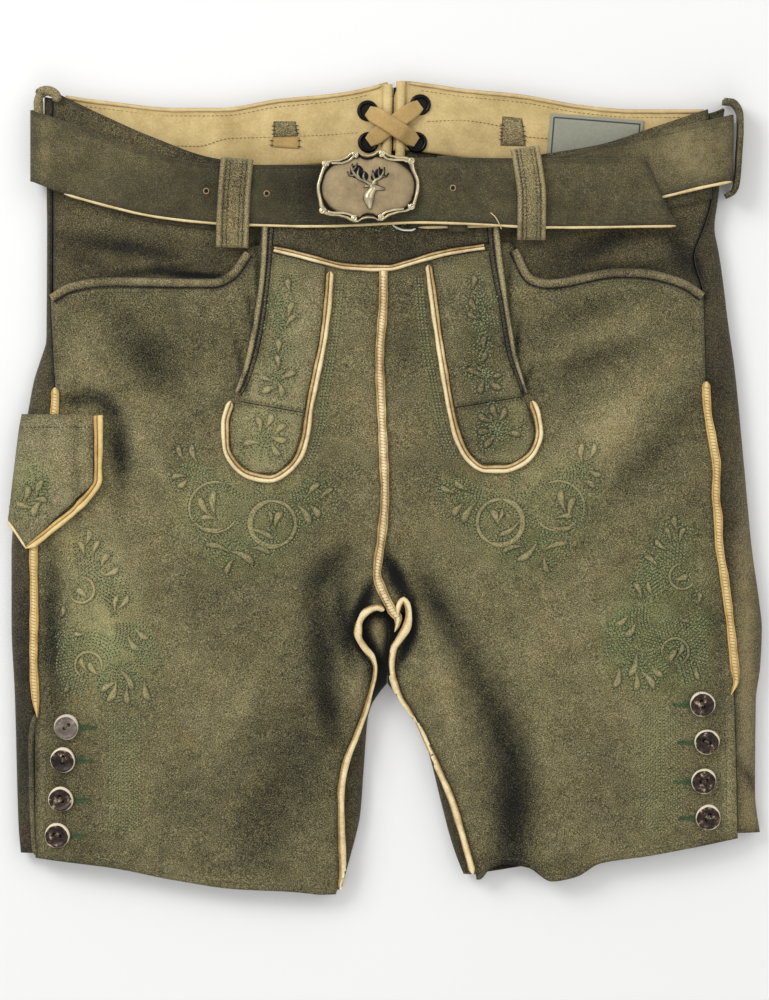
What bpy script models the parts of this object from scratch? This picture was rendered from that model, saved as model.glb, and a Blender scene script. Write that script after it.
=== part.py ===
"""Lederhosen: men's short leather trousers with their own belt, laid flat on their back.

The tables are in millimetres and the model is in metres. X runs towards the wearer's
left, Y up the body towards the waist, and Z up from the surface that the trousers lie on.
The names say right and left as the wearer does, so right is at -X. The origin is below
the middle of the garment's box.

Every panel is an open sheet of points on the garment's outer face, thickened inwards.
The back panels wrap round the side folds and show as strips in front. What lies on a
panel is made from that panel's points, moved out along its normal.
"""
import math

import bmesh
import bpy
import numpy as np
from mathutils import Matrix, Vector

MM = 0.001

# ---------------------------------------------------------------- driving sizes
HIDE = 2.0               # leather of the panels
STRIP = 1.6              # leather of the flaps, loops and bands
BELT = 2.6               # leather of the belt
SEAM = 0.3               # gap between two pieces that are sewn edge to edge
BENT_SEAM = 0.6          # the same at an inseam, where the walls lean towards each other
REST = 0.5               # gap between a piece and what it lies on

SIDE_FOLD = 7.0          # height of the fold line at the sides, over the surface
FOLD_REACH = 45.0        # how far in from a side fold the upper layer still rises
UNDER_REACH = 12.0       # how far in from a fold the underside touches down
INSEAM_REACH = 38.0      # the same as FOLD_REACH, for the folds between the legs
LOOP_BED = 2.2           # room under the belt for a loop that passes there
BELT_BED = LOOP_BED + BELT + 0.5  # room under the back panels for the belt and its loops

APEX_Y = -130.0          # top of the gap between the legs
CROTCH_Y = -78.0         # where the centre seam meets both inseams

FACING_DROP = -2.7       # outer face of the pocket facings, below the front panels' face
BAND_DROP = -0.5         # outer face of the front waistband, below the same face
FLAP_LIFT = REST + STRIP  # outer face of the drop front and its tongues, above it
KNIFE_REST = 3.0         # underside of the knife flap, above it, over the side piping
LINING_LIFT = 4.2        # upper face of the tan inner waistband, above the belt's bed

PIPE_WIDTH = 5.5
LOOP_WIDTH = 19.0
BUTTON_RADIUS = 8.35
EYELET_RADIUS = 7.0
EYELET_HOLE = 4.5
LACE_WIDTH = 10.0
ROLL_WIDTH = 6.4         # rolled edges of the opening at the centre back

# ---------------------------------------------------------------- outlines
# Lines that run up the body: rows of (y, x).
SIDE_FOLDS = {
    "right": [(-246, -243), (-226, -244.5), (-138, -247), (-90, -249.2), (-42, -249.2), (-8, -246),
              (18, -243), (38, -240.5), (54, -237.5), (70, -234.5), (86, -229.5), (98, -226),
              (198, -225.5), (225, -227), (263, -227)],
    "left": [(-238, 249), (-202, 245), (-142, 245.5), (-118, 248.5), (-94, 249.5), (-74, 247.5),
             (-42, 243), (22, 237), (78, 231.5), (110, 227), (142, 223), (158, 220.5), (172, 218),
             (195, 220.5), (225, 223), (256, 225)],
}
SIDE_SEAMS = {
    "right": [(-245, -233), (-195, -233), (-113, -232.5), (-44, -233), (-15, -230.5), (18, -224.5),
              (51, -219), (95, -221.5), (127, -223), (198, -222.5), (262, -220.5)],
    "left": [(-231, 233), (-142, 230.5), (-94, 227.5), (-59, 223), (-20, 218), (13, 218),
             (30, 215.5), (52, 212), (128, 210), (153, 204), (172, 211), (190, 216),
             (218, 216), (254, 213)],
}
INSEAMS = {
    "right": [(-270, -33), (-257, -29.5), (-203, -30.5), (-188, -28.5), (-165, -21), (-152, -15.5),
              (-139, -10.5), (-128, -8.5), (-114, -8.5), (-98, -18.5), (-88, -15.5), (-78, -2),
              (-70, -2), (-53, -5.5), (-35, -3.5), (-5, -1), (25, -2), (56, -3.5), (86, -4.5),
              (125, -2), (162, -2)],
    "left": [(-258, 59), (-222, 48.5), (-206, 43.5), (-165, 25), (-147, 16), (-137, 9.5),
             (-128, 5), (-115, 4), (-105, 7), (-90, 14.5), (-84, 12), (-78, 0), (-70, -2),
             (-53, -5.5), (-35, -3.5), (-5, -1), (25, -2), (56, -3.5), (86, -4.5), (125, -2),
             (162, -2)],
}
INNER_FOLDS = {
    "right": [(-270, -30), (-250, -25), (-234, -21), (-218, -17.5), (-186, -15), (-154, -12.5),
              (-146, -10.5), (-138, -6), (APEX_Y, 0.3)],
    "left": [(-262, 52), (-242, 45), (-210, 36.5), (-178, 28.5), (-162, 23), (-154, 17.5),
             (-146, 12), (-138, 6.5), (APEX_Y, 0.7)],
}
CENTRE_BACK = [(APEX_Y, 0.5), (262, 4.5)]
BINDING_OUTER = {
    "right": [(60, -101.5), (84, -93.5), (117, -87.5), (148, -83.5), (196, -82)],
    "left": [(59, 94.5), (86, 87), (117, 81.5), (148, 77.5), (196, 72)],
}
BINDING_INNER = {
    "right": [(58, -97), (74, -89), (105, -81.5), (140, -77), (196, -73)],
    "left": [(58, 91), (72, 86), (86, 80.5), (120, 74.5), (152, 68.5), (196, 65)],
}
TONGUE_INNER = {
    "right": [(48, -52), (74, -46.5), (99, -41.5), (125, -38.5), (150, -37)],
    "left": [(50, 42.5), (74, 38.5), (102, 34), (128, 30.5), (152, 27)],
}
TIP_OUTER = {
    "right": [(60, -101.5), (53, -104.5), (41, -107), (25, -106), (15, -100), (8, -90.5), (5, -80)],
    "left": [(60, 94.5), (47, 99), (36, 101.5), (24, 97.5), (16, 89.5), (12, 79), (11.5, 74)],
}
TIP_INNER = {
    "right": [(51, -51), (36, -53), (22, -57), (12, -64.5), (6.5, -72), (5, -76)],
    "left": [(53, 42.5), (33, 47), (19, 54.5), (12.5, 63.5), (11.5, 69)],
}
# The knife pocket's flap without its edging, with straight sides.
KNIFE_OUTER = [(48, -245), (16, -247.5), (-20, -249), (-33, -242)]
KNIFE_INNER = [(48, -193.3), (2.6, -193.3), (-33, -233.3)]

# Lines that run across the body: rows of (x, y).
HEMS = {
    "right": [(-243, -244), (-221, -247), (-181, -252), (-141, -260), (-101, -266), (-61, -268),
              (-41, -270), (-29, -270)],
    "left": [(45, -258), (61.5, -260), (69.5, -252), (77.5, -250), (93.5, -252), (109.5, -261),
             (125.5, -258), (141.5, -249), (173.5, -244), (205.5, -238), (249, -229)],
}
POCKET_MOUTHS = {
    "right": [(-223.5, 126), (-217, 132), (-201.5, 137), (-183, 139), (-130.5, 138), (-113, 138),
              (-103, 142.5), (-96.5, 149), (-89.5, 159), (-70, 162), (0, 162)],
    "left": [(-5, 162), (70, 162), (82.5, 162), (87.5, 150), (93.5, 142), (99.5, 138), (111, 137.5),
             (124.5, 140), (155, 145), (172.5, 144), (189, 140), (201, 135), (210.5, 128)],
}
BACK_TOP = [(-227, 263), (-211, 260), (-181, 256), (-141, 252), (-111, 252), (-71, 258), (-31, 262),
            (-11, 266), (0, 269), (9, 270), (29, 268), (49, 265), (89, 261), (129, 254), (165, 251),
            (209, 251), (226, 255)]
FRONT_TOP = [(-222, 263), (-189, 247), (-155, 232), (-114.5, 218), (-60, 211), (50, 213),
             (106, 221), (141.5, 227), (175.5, 238), (214, 251)]
DROP_FRONT_EDGE = [(-74.3, 157.5), (-63, 155), (-47.5, 151), (-26.5, 146), (-8, 145), (1, 145),
                   (13.5, 148), (30.5, 153), (44, 156), (64.6, 159)]
FRONT_BAND_EDGE = [(-222, 197), (-213, 194), (-184, 184), (-155, 176), (-113, 171), (-60, 170),
                   (60, 170), (107, 168), (150, 175), (185, 184), (219, 192)]
CROSS_SEAMS = {
    "right": [(-104, 58), (-54, 49)],
    "left": [(42, 52), (97, 61)],
}
STRAP_TOP = [(-236, 250), (-221, 245), (-189.5, 233), (-155.5, 221), (-138.5, 217), (-109.5, 213),
             (-43.5, 213), (20.5, 217), (169.5, 217)]
STRAP_BOTTOM = [(-236, 203), (-221, 197), (-189.5, 188), (-155.5, 180), (-113, 175), (-93, 174),
                (-45, 173), (19.5, 175), (57, 174), (107.5, 172), (191, 173)]
BUCKLE_STRAP_TOP = [(12, 214), (101, 218), (141.5, 226), (192.5, 238), (230, 247)]
BUCKLE_STRAP_BOTTOM = [(12, 172), (60, 173), (107, 177), (150, 185), (184, 193), (209.5, 199),
                       (230, 203)]
BELT_BACK_TOP = [(-236, 249), (-150, 246), (0, 244), (150, 246), (230, 247)]
BELT_BACK_BOTTOM = [(-236, 203), (-150, 202), (0, 201), (150, 202), (230, 203)]

# ---------------------------------------------------------------- heights
# Outer face of the upper layer, away from the folds: rows of (y, height).
LOFT = [(-270, 15), (-200, 17), (-100, 20), (-40, 21), (50, 19.5), (150, 18), (230, 17.5),
        (265, 17)]
# How far the fold between the legs has opened into the upper layer: rows of (y, share).
OPENING_OUT = [(APEX_Y, 0.0), (-118, 0.18), (-104, 0.42), (-88, 0.8), (-72, 1.0)]
# Undersides of the two straps over the front panels' face: rows of (x, height).
BUCKLE_STRAP_LIFT = [(16, 2.6), (30, 4.1), (56, 4.1), (75, 2.8), (100, 2.6), (125, 1.2), (230, 1.2)]
STRAP_LIFT = [(-236, 1.2), (-112, 1.2), (-86, 2.6), (-46, 2.6), (-12, 3.6), (12, 6.0), (30, 8.7),
              (56, 8.7), (78, 6.2), (100, 5.7), (125, 4.3), (191, 4.3)]
# Broad folds of the upper layer: x, y, direction in degrees, half length, half width, height.
CREASES = [
    (-170, -150, 80, 90, 26, 1.6),
    (-95, -170, 70, 80, 24, -1.6),
    (-60, -90, 40, 60, 16, -1.8),
    (-120, 20, 20, 70, 26, 1.4),
    (60, -90, 140, 60, 16, -1.8),
    (100, -180, 105, 80, 24, -1.6),
    (165, -140, 100, 90, 26, 1.6),
    (150, 60, 155, 70, 26, 1.6),
    (-190, 90, 60, 50, 18, -1.4),
    (185, 30, 100, 60, 16, -1.4),
]

BUTTONS = {
    "right": [(-211, -158), (-213.5, -180), (-215, -206), (-217.5, -230)],
    "left": [(208.5, -143), (211.5, -168), (209.5, -194), (212.5, -218)],
}
EYELETS = {
    "upper_right": (-12.5, 250), "upper_left": (22.5, 254),
    "lower_right": (-12, 229), "lower_left": (20, 229),
}
BACK_LOOPS = {"right": -68.0, "left": 84.0}
SIDE_LOOP_X = -216.0

BUCKLE_CENTRE = (-12.0, 197.3)
BUCKLE_SIZE = (69.0, 48.5)
BUCKLE_LIFT = 10.4       # underside of the plate over the front panels' face

OLIVE = (0.135, 0.115, 0.062)
OLIVE_LIGHT = (0.205, 0.178, 0.098)
OLIVE_DARK = (0.075, 0.062, 0.030)
TAN = (0.510, 0.360, 0.160)
PIPE_TAN = (0.620, 0.450, 0.220)
BELT_OLIVE = (0.110, 0.085, 0.045)
BRONZE = (0.300, 0.250, 0.180)
HORN = (0.045, 0.030, 0.022)
BLACK = (0.010, 0.010, 0.011)
LABEL_GREY = (0.300, 0.295, 0.230)


# ---------------------------------------------------------------- curves
def smooth(rows):
    """A smooth line through (place, value) rows that never overshoots, as value(place)."""
    place, value = (np.array(column, float) for column in zip(*sorted(rows)))
    slope = np.diff(value) / np.diff(place)
    tangent = np.concatenate([slope[:1], np.zeros(len(slope) - 1), slope[-1:]])
    both = slope[:-1] * slope[1:]
    same = both > 0
    tangent[1:-1][same] = (2 * both / np.where(same, slope[:-1] + slope[1:], 1.0))[same]

    def read(at):
        at = np.clip(at, place[0], place[-1])
        row = np.clip(np.searchsorted(place, at) - 1, 0, len(place) - 2)
        step = place[row + 1] - place[row]
        t = (at - place[row]) / step
        return (value[row] * (1 + 2 * t) * (1 - t) ** 2 + tangent[row] * step * t * (1 - t) ** 2
                + value[row + 1] * t * t * (3 - 2 * t) + tangent[row + 1] * step * t * t * (t - 1))

    return read


def straight(rows):
    """A line with corners through (place, value) rows, as value(place)."""
    place, value = zip(*sorted(rows))
    return lambda at: np.interp(at, place, value)


def inset(line, distance):
    """The line x(y) moved aside by a distance measured square to itself."""
    def read(y):
        slope = np.clip(line(y + 1.0) - line(y - 1.0), -3.6, 3.6) / 2
        return line(y) + distance * np.sqrt(1 + slope ** 2)

    return read


def level(value):
    """A straight line at one value."""
    return lambda at: value + 0.0 * at


def both_sides(tables):
    return {side: smooth(rows) for side, rows in tables.items()}


def lerp(a, b, share):
    return a + (b - a) * share


def ramp(value, start, end):
    """0 before start, 1 after end, and a soft step between."""
    t = np.clip((value - start) / (end - start), 0.0, 1.0)
    return t * t * (3 - 2 * t)


def rise(distance, reach):
    """Height of a quarter ellipse, 0 at its end and 1 where it runs level."""
    t = np.clip(distance / reach, 0.0, 1.0)
    return np.sqrt(1 - (1 - t) ** 2)


side_fold = both_sides(SIDE_FOLDS)
side_seam = both_sides(SIDE_SEAMS)
inseam = both_sides(INSEAMS)
inner_fold = both_sides(INNER_FOLDS)
hem = both_sides(HEMS)
mouth = both_sides(POCKET_MOUTHS)
binding_outer = both_sides(BINDING_OUTER)
binding_inner = both_sides(BINDING_INNER)
tongue_inner = both_sides(TONGUE_INNER)
tip_outer = both_sides(TIP_OUTER)
tip_inner = both_sides(TIP_INNER)
cross_seam = both_sides(CROSS_SEAMS)
centre_back = smooth(CENTRE_BACK)
back_top = smooth(BACK_TOP)
front_top = smooth(FRONT_TOP)
front_band_edge = smooth(FRONT_BAND_EDGE)
drop_front_edge = smooth(DROP_FRONT_EDGE)
loft = smooth(LOFT)
opening_out = smooth(OPENING_OUT)

INWARD = {"right": 1.0, "left": -1.0}     # the way from a side fold to the body's middle


# ---------------------------------------------------------------- surfaces
def belt_bed(x, y):
    """Height of the back panels' underside: on the floor, or on the belt under the waist."""
    return ramp(y, 172, 196) * BELT_BED + 0.0 * x


def loop_bed(x):
    """Height of the belt's underside at the back, where it lies on its loops."""
    loops = sum(np.exp(-((x - at) / 26) ** 2) for at in (SIDE_LOOP_X, *BACK_LOOPS.values()))
    return LOOP_BED * np.minimum(1.8 * loops, 1.0)


def fold_height(y):
    return SIDE_FOLD + 0.6 * BELT_BED * ramp(y, 172, 196)


def creases(x, y):
    height = 0.0
    for at_x, at_y, degrees, long, wide, high in CREASES:
        turn = math.radians(degrees)
        along = (x - at_x) * math.cos(turn) + (y - at_y) * math.sin(turn)
        across = (y - at_y) * math.cos(turn) - (x - at_x) * math.sin(turn)
        height = height + high * np.exp(-(along / long) ** 2 - (across / wide) ** 2)
    return height


def upper(x, y):
    """Height of the front panels' outer face, with the folds at the sides and inseams."""
    is_right = x < centre_line(y)
    outside = np.where(is_right, x - side_fold["right"](y), side_fold["left"](y) - x)
    inside = np.where(is_right, inner_line("right", y) - x, x - inner_line("left", y))
    low = fold_height(y)
    top = loft(y) + creases(x, y) * ramp(outside, 0, 30)
    between_legs = (top - low) * (1 - opening_out(y)) * (1 - rise(inside, INSEAM_REACH))
    return low + (top - low) * rise(outside, FOLD_REACH) - between_legs


def centre_line(y):
    return np.where(y < CROTCH_Y, 0.5, inseam["right"](y))


def inner_line(side, y):
    """The fold between the legs, and above it the middle line of the crotch."""
    return np.where(y < APEX_Y, inner_fold[side](y), 0.5 - 0.15 * INWARD[side])


def lining(x, y):
    """Upper face of the inner waistband, which lies inside the back panels."""
    return belt_bed(x, y) + LINING_LIFT


def moved_out(surface, x, y, lift):
    """The point over (x, y) on a surface, moved out along its normal."""
    step = 0.05
    slope_x = (surface(x + step, y) - surface(x - step, y)) / (2 * step)
    slope_y = (surface(x, y + step) - surface(x, y - step)) / (2 * step)
    normal = Vector((-float(slope_x), -float(slope_y), 1.0)).normalized()
    return Vector((float(x), float(y), float(surface(x, y)))) + normal * float(lift)


# ---------------------------------------------------------------- making pieces
def new_material(name, colour, roughness, metallic=0.0):
    material = bpy.data.materials.new(name)
    material.use_nodes = True
    shader = material.node_tree.nodes["Principled BSDF"]
    shader.inputs["Base Color"].default_value = (*colour, 1.0)
    shader.inputs["Roughness"].default_value = roughness
    shader.inputs["Metallic"].default_value = metallic
    return material


def add_object(name, data, material):
    data.materials.append(material)
    piece = bpy.data.objects.new(name, data)
    bpy.data.collections["Lederhosen"].objects.link(piece)
    return piece


def mesh_object(name, bm, material, sharp_degrees=50):
    mesh = bpy.data.meshes.new(name)
    bm.to_mesh(mesh)
    bm.free()
    mesh.shade_smooth()
    mesh.set_sharp_from_angle(angle=math.radians(sharp_degrees))
    return add_object(name, mesh, material)


def add_grid(bm, columns, rows, place):
    """A grid whose point (column, row) is put where place says, in millimetres."""
    made = bmesh.ops.create_grid(bm, x_segments=columns, y_segments=rows, size=1.0)["verts"]
    for vert in made:
        column = round((vert.co.x + 1) / 2 * columns)
        row = round((vert.co.y + 1) / 2 * rows)
        vert.co = Vector(place(column, row)) * MM


def thicken(piece, thickness):
    wall = piece.modifiers.new("Leather", "SOLIDIFY")
    wall.thickness = thickness * MM
    wall.offset = -1.0
    wall.use_even_offset = True
    wall.use_quality_normals = True
    return piece


def sheet(name, columns, rows, place, thickness, material, flip=False):
    bm = bmesh.new()
    add_grid(bm, columns, rows, place)
    bmesh.ops.remove_doubles(bm, verts=bm.verts, dist=1e-7)
    if flip:
        bmesh.ops.reverse_faces(bm, faces=bm.faces)
    return thicken(mesh_object(name, bm, material), thickness)


def panel_point(u, v, left, right, bottom, top):
    """(x, y) at shares u and v of a panel between two upright lines and two level ones."""
    y = lerp(float(bottom(0.0)), float(top(0.0)), v)
    for _ in range(40):
        x = lerp(float(left(y)), float(right(y)), u)
        y = lerp(float(bottom(x)), float(top(x)), v)
    return x, y


def laid_panel(name, columns, rows, lines, lift, thickness, material, surface=upper):
    """A piece that lies on a surface, with its outer face at that lift."""
    def place(column, row):
        x, y = panel_point(column / columns, row / rows, *lines)
        return moved_out(surface, x, y, lift)

    return sheet(name, columns, rows, place, thickness, material)


def path_points(path, count):
    """Evenly spaced points and directions on a smooth path through the given (x, y) rows."""
    corners = np.array(path, float)
    reach = np.concatenate([[0.0], np.cumsum(np.hypot(*np.diff(corners, axis=0).T))])
    along = np.linspace(0.0, reach[-1], count)
    run = [smooth(list(zip(reach, corners[:, axis]))) for axis in (0, 1)]
    points = np.stack([run[0](along), run[1](along)], axis=1)
    direction = np.gradient(points, axis=0)
    return points, direction / np.linalg.norm(direction, axis=1)[:, None]


def laid_strip(name, path, count, width, lift, thickness, material, crown=0.4, surface=upper):
    """A strip along a path on a surface; width and lift are numbers or lines over (0..1)."""
    points, direction = path_points(path, count)
    width_at = width if callable(width) else (lambda share: width)
    lift_at = lift if callable(lift) else (lambda share: lift)

    def place(column, row):
        share = row / (count - 1)
        side = (column - 1) * width_at(share) / 2
        x = points[row][0] + direction[row][1] * side
        y = points[row][1] - direction[row][0] * side
        height = lift_at(share) + thickness + (crown if column == 1 else 0.0)
        return moved_out(surface, x, y, height)

    return sheet(name, 2, count - 1, place, thickness, material)


def turned(name, profile, material, at, up):
    """A round piece: its profile runs down the outside, in (radius, height) rows."""
    bm = bmesh.new()
    ring = [bm.verts.new((radius * MM, 0.0, height * MM)) for radius, height in profile]
    for first, second in zip(ring, ring[1:]):
        bm.edges.new((first, second))
    if profile[0][0] > 0:
        bm.edges.new((ring[-1], ring[0]))
    piece = mesh_object(name, bm, material)
    spin = piece.modifiers.new("Turn", "SCREW")
    spin.steps = spin.render_steps = ROUND_STEPS
    spin.use_merge_vertices = True
    spin.merge_threshold = 0.00001
    piece.matrix_world = Matrix.Translation(at * MM) @ up.to_track_quat("Z", "Y").to_matrix().to_4x4()
    return piece


def uneven(columns, crowding=0.45):
    """Shares from 0 to 1, closer together at both ends, where a panel bends."""
    even = np.linspace(0.0, 1.0, columns + 1)
    return crowding * (0.5 - 0.5 * np.cos(math.pi * even)) + (1 - crowding) * even


# ---------------------------------------------------------------- leg and body panels
# Rows of the panels, from the hem up: y at the side, y at the inner edge, rows to here.
FRONT_BREAKS = {
    "right": [(-245.4, -269.9, 0), (-128, APEX_Y, 8), (-77, CROTCH_Y, 4), (126, 162, 10)],
    "left": [(-231.9, -259.5, 0), (-128, APEX_Y, 8), (-77, CROTCH_Y, 4), (128, 162, 10)],
}
BACK_BREAKS = {
    "right": [(205, 214, 4), (258.5, 258, 4)],
    "left": [(198, 214, 4), (250.5, 258, 4)],
}
FRONT_COLUMNS = 12
HEM_ROWS = 4             # rows over which the hem's wave dies out
MOUTH_ROWS = 3           # rows over which the pocket mouth's curve dies out
BACK_HEM_RISE = 3.0      # the back hem stays this far inside the front one


def row_ends(breaks):
    """The y of each row at the side and at the inner edge."""
    ends = [breaks[0][:2]]
    for start, end in zip(breaks, breaks[1:]):
        count = end[2]
        ends += [(lerp(start[0], end[0], k / count), lerp(start[1], end[1], k / count))
                 for k in range(1, count + 1)]
    return ends


def inner_gap(y):
    """Half the gap at a front panel's inner edge: the centre seam, or an inseam below it."""
    return SEAM if y >= CROTCH_Y else BENT_SEAM


def front_panel(side, material):
    ends = row_ends(FRONT_BREAKS[side])
    shares = uneven(FRONT_COLUMNS)
    inward = INWARD[side]

    def place(column, row):
        share = shares[column]
        y_side, y_inner = ends[row]
        x = lerp(float(side_seam[side](y_side)) + inward * SEAM,
                 float(inseam[side](y_inner)) - inward * inner_gap(y_inner), share)
        y = lerp(y_side, y_inner, share)
        near_hem = max(0.0, 1 - row / HEM_ROWS)
        near_mouth = max(0.0, 1 - (len(ends) - 1 - row) / MOUTH_ROWS)
        y += near_hem * (float(hem[side](x)) - lerp(*ends[0], share))
        y += near_mouth * (float(mouth[side](x)) - lerp(*ends[-1], share))
        return x, y, float(upper(x, y))

    sheet(f"front_{side}", FRONT_COLUMNS, len(ends) - 1, place, HIDE, material, side == "left")


def back_stations():
    """Places round a back panel: from the side seam, under the body, to the inner fold."""
    quarter = (30.0, 60.0, 90.0)
    return ([("over", share) for share in (1.0, 0.67, 0.33, 0.0)]
            + [("under", degrees) for degrees in quarter]
            + [("flat", k / 6) for k in range(1, 7)]
            + [("inner", degrees) for degrees in (60.0, 30.0, 0.0)])


def back_point(side, station, y_side, y_inner, near_hem, near_top):
    """A point of the back panel's outer face."""
    zone, amount = station
    inward = INWARD[side]
    fold_x = float(side_fold[side](y_side))
    seam_x = float(side_seam[side](y_side)) - inward * SEAM
    middle_x = float(inner_line(side, y_inner) if y_inner < APEX_Y + 1
                     else centre_back(y_inner) - inward * SEAM / 2)
    if zone == "over":
        reach = math.acos(1 - min(1.0, abs(seam_x - fold_x) / FOLD_REACH))
        x = fold_x + inward * FOLD_REACH * (1 - math.cos(reach * amount))
        return x, y_side, float(upper(x, y_side))
    turn = math.radians(amount)
    if zone == "under":
        x = fold_x + inward * UNDER_REACH * (1 - math.cos(turn))
        bed = float(belt_bed(x, y_side))
        return x, y_side, lerp(float(fold_height(y_side)), bed, math.sin(turn))
    if zone == "inner":
        x = middle_x - inward * UNDER_REACH * (1 - math.cos(turn))
        tip = SIDE_FOLD * (1 - float(ramp(y_inner, APEX_Y, APEX_Y + 22)))
        y = y_inner
        z = max(tip * (1 - math.sin(turn)), 0.0)
    else:
        x = lerp(fold_x + inward * UNDER_REACH, middle_x - inward * UNDER_REACH, amount)
        y = lerp(y_side, y_inner, amount)
        z = 0.0
    y += near_hem * BACK_HEM_RISE
    y = lerp(y, float(back_top(x)) - 4.0, near_top)
    return x, y, z + float(belt_bed(x, y))


def back_panel(side, material):
    ends = row_ends(FRONT_BREAKS[side] + BACK_BREAKS[side])
    stations = back_stations()
    crotch_row = sum(row[2] for row in FRONT_BREAKS[side][:3])
    last = len(ends) - 1
    over_columns = 3

    def around(column, row):
        near_hem = max(0.0, 1 - row / 2)
        near_top = max(0.0, 1 - (last - row) / 4)
        return back_point(side, stations[column], *ends[row], near_hem, near_top)

    def between_legs(column, row):
        """From the inner fold over to the inseam, on the upper side."""
        inward = INWARD[side]
        y = ends[row][1]
        start = float(inner_line(side, y))
        end = float(inseam[side](y)) + inward * BENT_SEAM
        reach = math.acos(1 - min(1.0, max(0.0, inward * (start - end)) / INSEAM_REACH))
        x = start - inward * INSEAM_REACH * (1 - math.cos(reach * column / over_columns))
        near_hem = max(0.0, 1 - row / 2)
        return x, y + near_hem * BACK_HEM_RISE, float(upper(x, y))

    bm = bmesh.new()
    add_grid(bm, len(stations) - 1, last, around)
    add_grid(bm, over_columns, crotch_row - 1, between_legs)
    bmesh.ops.remove_doubles(bm, verts=bm.verts, dist=2e-5)
    if side == "right":
        bmesh.ops.reverse_faces(bm, faces=bm.faces)
    thicken(mesh_object(f"back_{side}", bm, material), HIDE)


def pocket_facing(side, material):
    """The yoke that shows between the waistband and the pocket mouth."""
    inward = INWARD[side]
    outer = lambda y: side_seam[side](y) + inward * 1.6
    inner = level(-72.0 * inward)
    lines = [outer, inner] if side == "right" else [inner, outer]
    bottom = lambda x: mouth[side](x) - 12.0
    top = lambda x: front_band_edge(x) + 12.0
    laid_panel(f"pocket_facing_{side}", 9, 5, [*lines, bottom, top], FACING_DROP, STRIP, material)


def pocket_welt(side, material):
    """The bound edge of the pocket mouth."""
    xs = np.linspace(-221.0, -91.0, 12) if side == "right" else np.linspace(84.0, 208.5, 12)
    path = [(x, float(mouth[side](x)) - 3.4) for x in xs]
    laid_strip(f"pocket_welt_{side}", path, 16, 6.0, REST, 1.3, material)


def front_waistband(side, material):
    outer = lambda y: side_seam[side](y) + INWARD[side] * 1.2
    inner = level(-INWARD[side] * SEAM / 2 - 1.0)
    lines = [outer, inner] if side == "right" else [inner, outer]
    laid_panel(f"waistband_front_{side}", 12, 3, [*lines, front_band_edge, front_top], BAND_DROP,
               STRIP, material)


def back_waistband(side, material):
    """The tan inner band at the back, with its end rolled at the notch in the middle."""
    inward = INWARD[side]
    outer = lambda y: side_fold[side](y) + inward * 14.0

    def inner(y):
        return centre_back(y) - inward * (0.4 + 3.4 * ramp(y, 258, 270))

    lines = [outer, inner] if side == "right" else [inner, outer]
    bottom = lambda x: back_top(x) - 46.0
    laid_panel(f"waistband_back_{side}", 14, 4, [*lines, bottom, back_top], 0.0, STRIP, material,
               lining)


# ---------------------------------------------------------------- drop front and flaps
BIB_TOP = 190.0          # the drop front's upper end, hidden by the belt
TIP_ROOM = 0.9           # gap left where the rounded tips turn inside their edging
BINDING_END = 62.5       # lower end of the binding, where the tongue's edging takes over


def drop_front(material):
    lines = [lambda y: binding_inner["right"](y) + SEAM, lambda y: binding_inner["left"](y) - SEAM,
             lambda x: drop_front_edge(x) + PIPE_WIDTH / 2 + SEAM, level(BIB_TOP)]
    laid_panel("drop_front", 12, 3, lines, FLAP_LIFT, STRIP, material)


def tongue(side, material, dark):
    """A side of the drop front, its bound outer edge and its rounded tip."""
    inward = INWARD[side]
    edge = PIPE_WIDTH / 2 + SEAM

    def ordered(outer, inner):
        return [outer, inner] if side == "right" else [inner, outer]

    over = lambda x: drop_front_edge(x) - edge
    under = lambda x: cross_seam[side](x) + SEAM
    body = ordered(lambda y: binding_inner[side](y) + inward * SEAM,
                   lambda y: tongue_inner[side](y) - inward * edge)
    laid_panel(f"tongue_{side}", 4, 8, [*body, under, over], FLAP_LIFT, STRIP, material)
    strip = ordered(binding_outer[side], lambda y: binding_inner[side](y) - inward * SEAM)
    laid_panel(f"binding_{side}", 2, 9, [*strip, level(BINDING_END), level(BIB_TOP)],
               FLAP_LIFT + 0.4, STRIP, dark)
    tip_edge = edge + TIP_ROOM
    tip = ordered(inset(tip_outer[side], inward * tip_edge),
                  inset(tip_inner[side], -inward * tip_edge))
    floor_y = min(row[0] for row in TIP_OUTER[side]) + tip_edge + TIP_ROOM
    laid_panel(f"tongue_tip_{side}", 5, 7,
               [*tip, level(floor_y), lambda x: cross_seam[side](x) - SEAM],
               FLAP_LIFT, STRIP, dark)


def knife_flap(material):
    """The flap of the knife pocket, over the side piping and round the side fold."""
    outer, inner = straight(KNIFE_OUTER), straight(KNIFE_INNER)
    lines = [lambda y: np.maximum(outer(y), side_fold["right"](y) + 0.6), inner,
             level(KNIFE_OUTER[-1][0]), level(KNIFE_OUTER[0][0])]
    laid_panel("knife_flap", 7, 8, lines, KNIFE_REST + STRIP, STRIP, material)


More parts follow.
